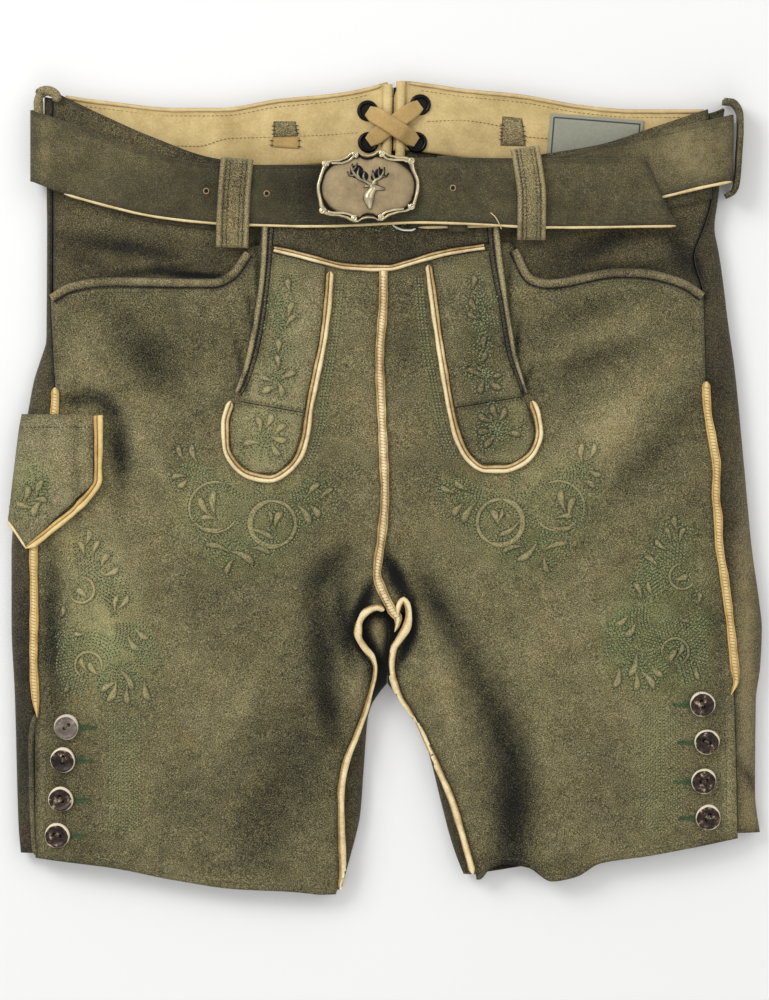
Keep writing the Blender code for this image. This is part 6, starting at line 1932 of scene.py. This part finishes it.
def laces():
    """Two crossing strips, whose narrowed ends go down into the eyelets."""
    half_width = [(0.0, 7.4), (0.06, 9.2), (0.16, LACE_WIDTH)]
    width = smooth(half_width + [(1 - share, wide) for share, wide in half_width])
    for name, start, end in (("under", "lower_right", "upper_left"),
                             ("over", "upper_right", "lower_left")):
        middle = LACE_HIGH[name]
        half = [(0.0, 0.5), (0.07, 1.5), (0.14, 2.5), (0.30, middle), (0.40, middle)]
        lift = smooth(half + [(1 - share, height) for share, height in half])
        a, b = EYELETS[start], EYELETS[end]
        path = [a, tuple(lerp(p, q, 0.5) for p, q in zip(a, b)), b]
        strip_piece(f"thong_{name}", path, width, lift, LACE_SECTION, "lace leather", f"lace_{name}",
                    "tan_leather", lining, 1.0)


LABEL_SIZE = (62.0, 34.0)
LABEL_TURN = math.radians(-4.6)
LABEL_CORNER = (109.0, 248.3)    # its upper corner nearer the body's middle
LABEL_BORDER = (2.0, 3.0)        # the border runs between these distances from the edge
# Ends in x of the inner band's turned lip.
LIP_SPAN = {"right": (-214.0, -4.0), "left": (15.0, 212.0)}
# The inner band's second seam, and the patches where the back loops are sewn through.
LINING_SEAMS = [[(-149, 227), (-125, 226.6), (-104.6, 231.7), (-77.4, 232.5), (-40, 234),
                 (-20, 235.5)],
                [(28, 243), (48.3, 243.7), (73.7, 240.3), (94.3, 232.7), (106, 231.7)]]
# Name, corners (the upper two towards X, the lower two back), material.
LINING_PATCHES = [
    ("bartack_right", [(-75, 243), (-60, 243), (-58.6, 233), (-75, 232.4)], "loop suede"),
    ("bartack_tab", [(-76, 232), (-57.6, 232.6), (-57.8, 224.6), (-76.4, 226)], "lace leather"),
    ("bartack_left", [(77, 246.4), (90, 245), (92.4, 226.6), (75.6, 227)], "loop suede"),
]


def lining_details():
    """The inner band's turned lip, its second seam, and the patches behind the back loops."""
    for side, span in LIP_SPAN.items():
        path = beside(back_top, span, 24, -1.5)
        strip_piece(f"band_lip_{side}", path, hand_cut(2.8, path_length(path), (4, 2)), 0.0,
                    scaled(CORD, 0.7), "lip leather", None, "tan_leather",
                    lining)
    for path in LINING_SEAMS:
        SEWING["pale"].along(path, lining, 0.1, 2.6, 1.7, 0.5)
    for row in LINING_PATCHES:
        lining_patch(*row)


def lining_patch(name, corners, material):
    """A small patch, sewn down at its right and left ends."""
    u, v = np.meshgrid(np.linspace(0, 1, 13), np.linspace(0, 1, 9))
    a, b, c, d = (np.array(corner, float) for corner in corners)
    spots = lerp(lerp(a, b, u[..., None]), lerp(d, c, u[..., None]), v[..., None])
    edge = np.minimum(np.minimum(u, 1 - u) * 12, np.minimum(v, 1 - v) * 8).clip(0, 1)
    points = laid(lining, spots[..., 0], spots[..., 1], 0.3 + 0.7 * edge)
    new_piece(name, points, grid_faces(*u.shape, flip=True), material, None, "suede_olive",
              {"edge": edge, "worn_and_painted_light": 0 * edge}, 0)
    for upper, lower in ((a, d), (b, c)):
        middle = [tuple(lerp(upper, lower, at)) for at in (0.3, 0.8)]
        SEWING["dark"].along(middle, lining, 1.2, 2.4, 2.6, 0.7, slant=90)


# The rolled edge of the right vent, from the top down.
VENT_ROLL = [(-231.6, -149.5), (-234.2, -157), (-235.6, -172), (-235.2, -200), (-234.2, -232),
             (-232.6, -243.5)]


def vent_roll():
    """The right vent's front edge, rolled over towards the back."""
    strip_piece("vent_roll_right", VENT_ROLL, hand_cut(3.4, path_length(VENT_ROLL), (5, 3)), -0.2,
                scaled(CORD, 1.3), "welt suede", None, "suede_olive")


# The thread end's x, y, height over the belt and radius.
LOOSE_THREAD = [(68.3, 181, 0.3, 0.32), (71.2, 178.4, 1.2, 0.32), (73.4, 175.2, 0.4, 0.32),
                (75.7, 170.3, -1.0, 0.28)]


def loose_thread():
    """A pale thread end that hangs from the belt's tip edge."""
    base = float(belt_over(70, 178)) + 6.9 + BELT
    points, faces = tube([(x, y, base + high, radius) for x, y, high, radius in LOOSE_THREAD], 6)
    new_piece("loose_thread", points, faces, "pale thread", None, "belt_suede",
              {"tint": 1 + 0 * points[..., 0]}, 0)


def label():
    """A bare woven label on the inner waistband, with a plain border."""
    u, v = np.meshgrid(np.linspace(0, 1, 125), np.linspace(0, 1, 69))
    long, wide = LABEL_SIZE
    across, down = long * u, wide * (1 - v)
    x = LABEL_CORNER[0] + across * math.cos(LABEL_TURN) + down * math.sin(LABEL_TURN)
    y = LABEL_CORNER[1] + across * math.sin(LABEL_TURN) - down * math.cos(LABEL_TURN)
    weave = 0.12 * np.sin(across * 6.2) * np.sin(down * 6.2)
    points = np.stack([x, y, lining(x, y) + SEAM + 0.7 + weave], axis=-1)
    piece = hide_piece("woven_tag", points, 0.6, "woven label", "label", "woven_label")
    piece.data.materials.append(MATERIALS["label border"])
    inside = np.minimum(np.minimum(across, long - across), np.minimum(down, wide - down))
    depth = (inside[:-1, :-1] + inside[1:, 1:]).ravel() / 2
    for polygon, deep in zip(piece.data.polygons, depth):
        if LABEL_BORDER[0] < deep < LABEL_BORDER[1]:
            polygon.material_index = 1


# ---------------------------------------------------------------- sewing and embroidery
# Sewing along the pocket mouths: points of each side's seam.
MOUTH_SEWING = {
    "right": [(-223, 124), (-206.7, 130.3), (-183, 133), (-138, 133.7), (-112, 134.4), (-99.7, 139),
              (-91, 149), (-87.7, 156)],
    "left": [(209, 124), (192, 134.5), (172, 139.5), (151.7, 140.3), (124.7, 136), (107.6, 133.4),
             (97.7, 132.6)],
}
# Embroidery of the right thigh, the left leg's side and the right tongue; the others mirror
# them. Arcs and spirals of stitches: middle x, y, first and last radius, first and last angle
# in degrees, rows side by side.
THIGH_ARCS = [
    (-113, -14, 19, 18, 62, 335, 3), (-75, -24, 17.6, 17.6, 0, 360, 1),
    (-75, -24, 12.4, 12.4, 20, 380, 1), (-132, 14, 20, 18, -80, -5, 3), (-46, -10, 14, 12, -60, 60, 2),
    (-110, -46, 16, 14, 20, 120, 2), (-92, 6, 14, 12, 200, 330, 2),
]
# Fans of stitches: base x, y, first and last angle, rows, inner and outer reach, bend in degrees.
THIGH_FANS = [
    (-112, 8, 163, 200, 4, 4, 27, -14), (-73, -8, -6, 24, 5, 3, 34, 10),
    (-102, -35, 194, 262, 6, 2, 24, -12), (-80, -2, 108, 152, 4, 3, 18, -16),
    (-64, -12, -78, -40, 4, 3, 20, 12),
]
# Raised leaves: x, y, direction, length, width.
THIGH_LEAVES = [
    (-137, 24, 104, 9, 3.8), (-128.3, 23.7, 100, 10, 4.4), (-138.5, 7.5, 195, 7, 4),
    (-135, 1.5, 215, 7, 4), (-121.8, -11.6, 112, 11, 4.8), (-115, -8, 84, 12, 5.2),
    (-119, -19.6, 182, 8, 3.6), (-117, -28.4, 174, 12, 3.6), (-113.5, -38.2, 170, 14, 3.8),
    (-71.6, -19, 58, 9, 5), (-76.2, -18.6, 104, 7, 2.6), (-80, -30.4, -28, 14, 3.6),
    (-52.3, -19, -64, 12, 5.2), (-45.8, -16.3, -58, 8, 5), (-47.8, 0.4, 40, 9, 4.4),
    (-38.6, -2.3, 32, 8, 4), (-92.2, -46.2, -36, 14, 5), (-105, -53.5, 250, 9, 4),
    (-81, -41, -22, 11, 3.6),
]
# Raised ridges: middle x, y, first and last radius, first and last angle, width.
THIGH_RIDGES = [
    (-113, -14, 17.7, 17, 66, 210, 1.7), (-75, -24, 15, 15, 95, 300, 4.0),
    (-75, -24, 15, 15, -70, 100, 2.6), (-113, -14, 15.8, 15.2, 215, 330, 1.7),
]
SIDE_ARCS = [
    (195.3, -58.7, 21, 21, 85, 215, 8), (195.3, -58.7, 3.4, 5, 0, 400, 1),
    (190.7, -108.4, 22, 21, -75, 165, 8), (190.7, -108.4, 3.4, 5.5, 0, 400, 1),
    (191, -27, 10, 10, 185, 358, 3), (172, -112, 30, 28, 128, 176, 2),
]
SIDE_FANS = [
    (190, -85, 163, 199, 9, 3, 46, 12), (187, -78, 126, 160, 7, 4, 38, -22),
    (171, -99, 222, 298, 10, 3, 35, 14), (168, -95, 190, 222, 5, 3, 27, 10),
    (204, -84, -80, -20, 4, 2, 16, -20),
]
SIDE_LEAVES = [
    (190, -22.5, 96, 8, 4.2), (185.6, -29, 122, 8, 3.8), (195, -29.6, 62, 8, 3.8),
    (179.4, -37.4, 132, 8, 4), (174, -46.8, 148, 9, 4.2), (196, -59.6, 30, 7, 4.6),
    (207, -72, 90, 6, 3.4), (166, -66, 122, 9, 4), (173, -66, 105, 8, 3.4), (155, -89.2, 214, 9, 4),
    (161, -95.8, 226, 9, 4.6), (198, -88, 10, 5, 3.4), (152.8, -127.5, 250, 11, 5),
    (163.4, -119.5, 246, 13, 4.6), (165.6, -130, 262, 9, 4.4), (174.8, -128.2, 300, 11, 5),
    (179, -122.6, 322, 9, 4.4), (189, -110, 60, 8, 4.4), (195, -107, 70, 8, 3.6),
    (205, -124, 290, 7, 3.6),
]
SIDE_RIDGES = [(195.3, -58.7, 8.4, 8.4, 90, 330, 1.8), (190.7, -108.4, 8.8, 8.8, -60, 200, 1.8)]
TONGUE_ARCS = [
    (-79, 118, 13, 12, 262, 420, 3), (-62, 99, 12, 10, 110, 270, 3), (-80, 82, 12, 11, 290, 430, 2),
    (-65.2, 135, 5.4, 5.4, 0, 360, 1),
]
TONGUE_FANS = [
    (-71, 79, 214, 332, 7, 3, 17, 10), (-68, 128, 208, 262, 4, 3, 18, -14),
    (-74, 100, 30, 80, 4, 3, 16, 14),
]
TONGUE_LEAVES = [
    (-65.2, 135, 90, 6.4, 4.6), (-63.4, 119, 66, 8, 4.4), (-62.8, 111.6, 40, 7, 3.8),
    (-71, 95, 100, 7, 4.6), (-71.8, 84.4, 112, 7, 4), (-63.8, 75, 20, 9, 4.6), (-79.2, 64.6, 206, 8, 5),
    (-69.2, 63.6, 278, 8, 4.6), (-80.4, 72, 168, 6, 3.4),
]
TIP_FLOWER = [(-83.7, 43), (-76.3, 45), (-69.7, 39.7), (-69.7, 31), (-73, 23.5), (-91, 29.7)]
TIP_CENTRE = (-80, 32)
KNIFE_LEAVES = [(-228, 1, 62, 9, 4.4), (-235, -3, 84, 9, 4.4), (-239, -12, 152, 9, 4.4),
                (-231, -15, 250, 9, 4.6), (-226, -8, 350, 7, 4)]
KNIFE_ARCS = [(-233, 4, 11, 10, -50, 80, 2), (-236, 14, 7, 6, -80, 60, 2)]
KNIFE_FANS = [(-234, -8, 20, 100, 6, 3, 17, 10), (-234, -8, 190, 300, 6, 3, 15, -10)]
STITCH_PITCH = 2.15          # from one embroidery stitch to the next
ROW_APART = 2.15             # between rows of them that lie side by side
FAN_ROOM = 1.35              # the least room between a fan's rows, at its base
STITCH = (1.45, 1.1, 0.7)    # length, width and height of an embroidery stitch
# The pit's dark thread is painted shade in the gap after each stitch.
PIT = (0.8, 1.1, 0.25)       # the same for the dark gap after it
LEAF_HEIGHT = 1.7
RIDGE_HEIGHT = 1.1
FURROW_WIDTH = 2.4           # width of the furrow for each unit of RELIEF's shares beyond 1
# Across a leaf or ridge: share of its half width, share of its height, and painted light: a
# painted highlight on the raised top, painted shade in the furrow. Its outermost part is the
# furrow pulled down by the stitches.
RELIEF = [(1.3, -0.1, -0.1), (1.16, 0.05, -0.4), (1.04, 0.1, -0.5), (0.9, 0.45, 0.0), (0.7, 0.8, 0.4),
          (0.4, 0.95, 0.6), (0.0, 1.0, 0.45)]
LEAF_BEND = 0.35             # how strongly a leaf curves
LEAF_TAIL = 0.45             # how far a leaf's narrow end reaches back, as a share of its length

# The noted stitches: group, places, directions, surface, lift.
EMBROIDERED = []


def mirror_rows(rows, about=0.0, down=0.0):
    """Arcs, fans, leaves or ridges for the other side of the body."""
    made = []
    for row in rows:
        x, y = 2 * about - row[0], row[1] + down
        if len(row) == 5:
            made.append((x, y, 180 - row[2], *row[3:]))
        elif len(row) == 8:
            made.append((x, y, 180 - row[3], 180 - row[2], *row[4:7], -row[7]))
        else:
            made.append((x, y, row[2], row[3], 180 - row[5], 180 - row[4], row[6]))
    return made


def embroider(spots, way, surface, lift, group="embroidery"):
    """Notes stitches of green thread, each with a dark pit of painted shade after it."""
    way = way / np.linalg.norm(way, axis=1, keepdims=True)
    EMBROIDERED.append((group, spots, way, surface, lift))


def sew_embroidery():
    """Makes the noted stitches, all those of one surface and height at once."""
    rounds = {}
    for group, spots, way, surface, lift in EMBROIDERED:
        rounds.setdefault((group, surface, lift), []).append((spots, way))
    for (group, surface, lift), rows in rounds.items():
        spots = np.concatenate([row[0] for row in rows])
        way = np.concatenate([row[1] for row in rows])
        SEWING[group].at(spots, way, surface, lift, *STITCH)
        SEWING["pit_shades"].at(spots + way * (STITCH_PITCH / 2), way, surface, lift, *PIT)


def arc_spots(x, y, first, last, start, end, pitch=STITCH_PITCH):
    """Evenly spaced (x, y) points on an arc or spiral, with their directions."""
    reach = math.radians(abs(end - start)) * (first + last) / 2
    share = np.linspace(0, 1, max(3, int(reach / pitch)))
    angle = np.radians(lerp(start, end, share))
    size = lerp(first, last, share)
    spots = np.stack([x + size * np.cos(angle), y + size * np.sin(angle)], axis=1)
    return spots, np.gradient(spots, axis=0)


def arcs(rows, surface, lift):
    """Arcs and spirals of stitches, with more rows inside the first."""
    for x, y, first, last, start, end, count in rows:
        for row in range(count):
            inner = row * ROW_APART
            embroider(*arc_spots(x, y, first - inner, last - inner, start, end), surface, lift)


def fans(rows, surface, lift):
    """Bent rows of stitches that spread from a base, greener towards their tips."""
    for x, y, first, last, count, inner, outer, bend in rows:
        inner = max(inner, FAN_ROOM * (count - 1) / math.radians(abs(last - first)))
        for turn in np.linspace(first, last, count):
            shorter = 0.25 * abs(2 * turn - first - last) / abs(last - first)
            reach = np.arange(inner, outer * (1 - shorter), STITCH_PITCH)
            angle = np.radians(turn + bend * reach / outer)
            spots = np.stack([x + reach * np.cos(angle), y + reach * np.sin(angle)], axis=1)
            half = max(2, len(spots) // 2)
            way = np.gradient(spots, axis=0)
            embroider(spots[:half], way[:half], surface, lift)
            embroider(spots[half:], way[half:], surface, lift, "bright")


def drop(ring, half_length, half_width):
    """A drop's outline: round at its far end, drawn out at its near end."""
    near = np.clip(-np.cos(ring), 0, 1)
    along = half_length * (np.cos(ring) - 2 * LEAF_TAIL * near ** 1.6)
    across = half_width * np.sin(ring) * (1 - 0.55 * near)
    return along, across


def placed(x, y, degrees, along, across):
    """Points (x, y) of a motif turned by degrees, from places along and across it."""
    turn = math.radians(degrees)
    return (x + along * math.cos(turn) - across * math.sin(turn),
            y + along * math.sin(turn) + across * math.cos(turn))


def leaf(x, y, degrees, length, width, surface, lift):
    """A raised drop of leather, wider at its far end, in a furrow of painted shade."""
    ring = np.linspace(0, 2 * math.pi, 18, endpoint=False)[None, :]
    share, high, light = (column(values) for values in zip(*RELIEF))
    furrow = np.maximum(share - 1.0, 0) * FURROW_WIDTH
    share = np.minimum(share, 1.0)
    along, across = drop(ring, share * length / 2, share * width / 2)
    along += furrow * np.cos(ring)
    across += furrow * np.sin(ring)
    across += LEAF_BEND * along ** 2 / length * math.copysign(1.0, math.sin(2.3 * x + y))
    px, py = placed(x, y, degrees, along, across)
    points, faces = turned_part(laid(surface, px, py, lift + high * LEAF_HEIGHT + 0 * px))
    return points, faces, light + 0 * px


def leaf_outline(x, y, degrees, length, width):
    """Places and directions of the stitches round a leaf."""
    count = int(math.pi * (length + width) / 2 * 1.15 / STITCH_PITCH) + 2
    ring = np.linspace(0, 2 * math.pi, count, endpoint=False)
    along, across = drop(ring, length / 2 + 1.5, width / 2 + 1.5)
    spots = np.stack(placed(x, y, degrees, along, across), axis=1)
    return spots, np.roll(spots, -1, axis=0) - np.roll(spots, 1, axis=0)


def ridge(x, y, first, last, start, end, width, surface, lift):
    """A raised band of leather along an arc, narrowing at both ends, between furrows of painted shade.
    """
    spots, way = arc_spots(x, y, first, last, start, end, 1.2)
    way /= np.linalg.norm(way, axis=1, keepdims=True)
    share = np.linspace(0, 1, len(spots))[:, None]
    narrowing = np.sqrt(np.clip(np.sin(math.pi * np.clip(share, 0.01, 0.99)) * 2.5, 0.05, 1))
    section = [(-part, high, light) for part, high, light in RELIEF] + RELIEF[-2::-1]
    place, high, light = (np.array(values)[None, :] for values in zip(*section))
    furrow = np.sign(place) * np.maximum(np.abs(place) - 1.0, 0) * FURROW_WIDTH
    across = (np.clip(place, -1, 1) * width / 2 + furrow) * narrowing
    px = spots[:, :1] + way[:, 1:] * across
    py = spots[:, 1:] - way[:, :1] * across
    points = laid(surface, px, py, lift + high * RIDGE_HEIGHT * narrowing)
    return points, grid_faces(*px.shape), light + 0 * px


def relief(name, leaves, ridges, surface, lift):
    """The raised leaves and ridges of a motif as one piece, with the leaves outlined."""
    parts = [leaf(*row, surface, lift) for row in leaves]
    parts += [ridge(*row, surface, lift) for row in ridges]
    for row in leaves:
        embroider(*leaf_outline(*row), surface, lift)
    points, faces = gather([part[:2] for part in parts])
    light = np.concatenate([part[2].ravel() for part in parts])
    x, y = points[:, 0], points[:, 1]
    # light is RELIEF's painted highlight and shade.
    looks = {"worn_and_painted_light": light + worn_and_painted_light_at(x, y), "green": 0.5 * green_at(x, y), "edge": 1 + 0 * x}
    new_piece(name, points, faces, "olive suede", None, "suede_light", looks, 0)


def feather(x, y_low, y_top, surface, lift, rows):
    """A border of chevrons on both sides of a doubly dotted line."""
    ys = np.arange(y_low, y_top, STITCH_PITCH)
    upward = np.tile([0.0, 1.0], (len(ys), 1))
    for aside in (-1.3, 1.3):
        embroider(np.stack([x + aside + 0 * ys, ys], axis=1), upward, surface, lift)
    step = np.arange(1, rows + 1)
    for way in (-1, 1):
        outward = np.tile([way * 1.6, 1.1], (rows, 1))
        for y in np.arange(y_low, y_top - 6, 3.4):
            spots = np.stack([x + way * (1.8 + 1.6 * step), y + 1.1 * step], axis=1)
            embroider(spots, outward, surface, lift)


def embroidery():
    """All the motifs. Each row: name, its four tables, how the tables are mirrored, lift."""
    motifs = [
        ("thigh_right", THIGH_ARCS, THIGH_FANS, THIGH_LEAVES, THIGH_RIDGES, None, 0.0),
        ("thigh_left", THIGH_ARCS, THIGH_FANS, THIGH_LEAVES, THIGH_RIDGES, (0.0, 1.0), 0.0),
        ("leg_left", SIDE_ARCS, SIDE_FANS, SIDE_LEAVES, SIDE_RIDGES, None, 0.0),
        ("leg_right", SIDE_ARCS, SIDE_FANS, SIDE_LEAVES, SIDE_RIDGES, (-3.0, -9.0), 0.0),
        ("flap_right", TONGUE_ARCS, TONGUE_FANS, TONGUE_LEAVES, [], None, FLAP_LIFT),
        ("flap_left", TONGUE_ARCS, TONGUE_FANS, TONGUE_LEAVES, [], (-3.5, 2.0), FLAP_LIFT),
        ("knife", KNIFE_ARCS, KNIFE_FANS, KNIFE_LEAVES, [], None, KNIFE_LIFT),
    ]
    for name, arc_rows, fan_rows, leaves, ridges, mirror, lift in motifs:
        if mirror:
            arc_rows, fan_rows, leaves, ridges = (mirror_rows(rows, *mirror)
                                                  for rows in (arc_rows, fan_rows, leaves, ridges))
        arcs(arc_rows, skin, lift)
        fans(fan_rows, skin, lift)
        relief(f"leaves_{name}", leaves, ridges, skin, lift)
    feather(-173, -228, -148, skin, 0.0, 5)
    feather(182, -228, -142, skin, 0.0, 7)
    tip_flowers()
    chevrons()
    sew_embroidery()


def tip_flowers():
    """A flower on each tongue's tip, with a ringed green middle."""
    for side, mirror in (("right", None), ("left", (-3.0, 6.0))):
        leaves = []
        for x, y in TIP_FLOWER:
            away = math.degrees(math.atan2(y - TIP_CENTRE[1], x - TIP_CENTRE[0]))
            leaves.append((x, y, away, 8.0, 4.6))
        rings = [(*TIP_CENTRE, size, size, 0, 360, 1) for size in (1.6, 3.6, 5.6)]
        sprays = [(*TIP_CENTRE, 190, 330, 6, 5, 15, 12), (*TIP_CENTRE, 20, 160, 6, 6, 12, 8)]
        if mirror:
            leaves, rings, sprays = (mirror_rows(rows, *mirror) for rows in (leaves, rings, sprays))
        relief(f"flower_{side}", leaves, [], skin, FLAP_LIFT)
        arcs(rings, skin, FLAP_LIFT)
        fans(sprays, skin, FLAP_LIFT)


# Beside the tongues' edgings: path of the first column, way to the others.
CHEVRON_PATHS = [([(-33, 134), (-36, 104), (-42, 66), (-47, 34), (-54, 14)], 1),
                 ([(23, 138), (26, 104), (33, 66), (39, 38), (46, 20)], -1)]
BIB_FAN = (0, 168, 20, 160, 9, 5, 20, 8)


def chevrons():
    """Columns of slanted stitches beside the tongues' edgings, and a spray on the bib."""
    for path, way in CHEVRON_PATHS:
        points = path_points(path, 56)[0]
        slant = np.tile([0.7, 0.8], (len(points), 1))
        for aside in (0.0, 2.2, 4.4):
            embroider(points + np.array([way * (aside - 0.4), 0.0]), slant, skin, 0.0)
    fans([BIB_FAN], skin, FLAP_LIFT)


# The rows along the pocket mouths: how far below the seam, lift.
MOUTH_SEAM_ROWS = ((0.3, REST + 0.9), (4.2, 0.0))
# Ends in x of the rows along the front waistband, the hem (with its number of points) and the
# lining; points of the row along each vent, and of that on the knife pocket's flap.
BAND_SPAN = {"right": (-219, -75), "left": (75, 214)}
HEM_SPAN = {"right": ((-228, -40), 16), "left": ((52, 236), 18)}
LINING_SPAN = {"right": (-214, -14), "left": (24, 212)}
VENT_SEWING = {"right": [(-231, -146), (-231, -176), (-232, -206), (-232.5, -238)],
               "left": [(230, -132), (230, -160), (231, -190), (231, -224)]}
KNIFE_SEWING = [(x, 39.5) for x in np.linspace(-238, -196, 6)]


def sewing():
    """Rows of plain stitches along the seams and edges."""
    for path in MOUTH_SEWING.values():
        for down, lift in MOUTH_SEAM_ROWS:
            line = [(x, y - down) for x, y in path]
            SEWING["dark"].along(line, skin, lift, 2.6, 1.4, 0.75, 0.35)
    for side in SIDES:
        side_sewing(side)
    SEWING["dark"].along(KNIFE_SEWING, skin, KNIFE_LIFT, 2.4, 1.8, 0.8)


def side_sewing(side):
    """One side's rows: waistband, tongue's binding, cross seam, vent, hem and lining."""
    panels, dark = SEWING["panels"], SEWING["dark"]
    for offset in (3.0, 6.0):
        panels.along(beside(front_band_edge, BAND_SPAN[side], 14, offset), skin, BAND_DROP, 2.8)
    for share in (0.64, 0.88):
        line = [(float(lerp(binding_outer[side](y), binding_inner[side](y), share)), y)
                for y in np.linspace(66, 186, 12)]
        dark.along(line, skin, FLAP_LIFT + 0.5, 2.4, 1.5, 0.8)
    for offset in (-1.8, 1.8):
        line = [(x, y + offset) for x, y in CROSS_SEAMS[side]]
        dark.along(line, skin, FLAP_LIFT, 2.6, 1.7, 0.6)
    vent = [(x + INWARD[side] * 6.0, y) for x, y in VENT_SEWING[side]]
    panels.along(vent, skin, 0.0, 2.8)
    span, count = HEM_SPAN[side]
    panels.along(beside(hem[side], span, count, 4.0), skin, 0.0, 2.9)
    lip = beside(back_top, LINING_SPAN[side], 14, -5.3)
    SEWING["pale"].along(lip, lining, 0.0, 3.0, 1.9, 0.55)


# ---------------------------------------------------------------- the photograph's setting
# The camera looks straight down, all in metres: its height, the middle of the view, its extent.
CAMERA_HEIGHT = 2.2
VIEW_MIDDLE = (-0.0013, -0.0083)
VIEW_TALL = 0.6667
SENSOR_HEIGHT = 24.0     # of the camera, in millimetres


def floor():
    """The plain pale floor."""
    bpy.ops.mesh.primitive_plane_add(size=30.0, location=(0.0, 0.0, -0.0002))
    ground = bpy.context.object
    ground.name = "floor"
    material = bpy.data.materials.new("pale floor")
    material.use_nodes = True
    shader = material.node_tree.nodes["Principled BSDF"]
    shader.inputs["Base Color"].default_value = (0.93, 0.93, 0.92, 1.0)
    shader.inputs["Roughness"].default_value = 0.95
    shader.inputs["Specular IOR Level"].default_value = 0.1
    ground.data.materials.append(material)


# Soft boxes: place in metres, width, power.
LIGHTS = [((-1.4, 1.2, 1.5), 1.1, 26.0), ((1.6, 1.0, 1.8), 1.6, 8.0), ((0.3, -1.8, 1.8), 1.8, 7.0)]
ROOM_LIGHT = 0.62


def lights():
    """The white surroundings and the soft boxes, with plain screen colours."""
    world = bpy.data.worlds.new("soft room")
    world.use_nodes = True
    shade = world.node_tree.nodes["Background"]
    shade.inputs["Color"].default_value = (1.0, 1.0, 1.0, 1.0)
    shade.inputs["Strength"].default_value = ROOM_LIGHT
    bpy.context.scene.world = world
    for number, (place, size, power) in enumerate(LIGHTS, 1):
        data = bpy.data.lights.new(f"soft_box_{number}", "AREA")
        data.size = size
        data.energy = power
        lamp = bpy.data.objects.new(data.name, data)
        lamp.location = place
        lamp.rotation_euler = (-Vector(place)).to_track_quat("-Z", "Y").to_euler()
        bpy.context.scene.collection.objects.link(lamp)
    bpy.context.scene.view_settings.view_transform = "Standard"


def camera():
    """The photograph's camera."""
    data = bpy.data.cameras.new("camera")
    data.sensor_fit = "VERTICAL"
    data.sensor_height = SENSOR_HEIGHT
    data.lens = SENSOR_HEIGHT * CAMERA_HEIGHT / VIEW_TALL
    eye = bpy.data.objects.new("camera", data)
    eye.location = (*VIEW_MIDDLE, CAMERA_HEIGHT)
    bpy.context.scene.collection.objects.link(eye)
    bpy.context.scene.camera = eye


def main():
    """Builds the camera and every piece, the stitches last, then the floor and the lights."""
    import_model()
    make_materials()
    camera()
    for side in SIDES:
        front_panel(side)
        back_panel(side)
        pocket_facing(side)
        pocket_welt(side)
        front_waistband(side)
        back_waistband(side)
        tongue(side)
    drop_front()
    knife_flap()
    edgings()
    belt()
    belt_keeper()
    belt_loops()
    buckle()
    buttons()
    eyelets()
    back_rolls()
    laces()
    label()
    lining_details()
    loose_thread()
    vent_roll()
    embroidery()
    sewing()
    for group, piece in STITCHES.items():
        SEWING[group].make(*piece)
    floor()
    lights()


main()
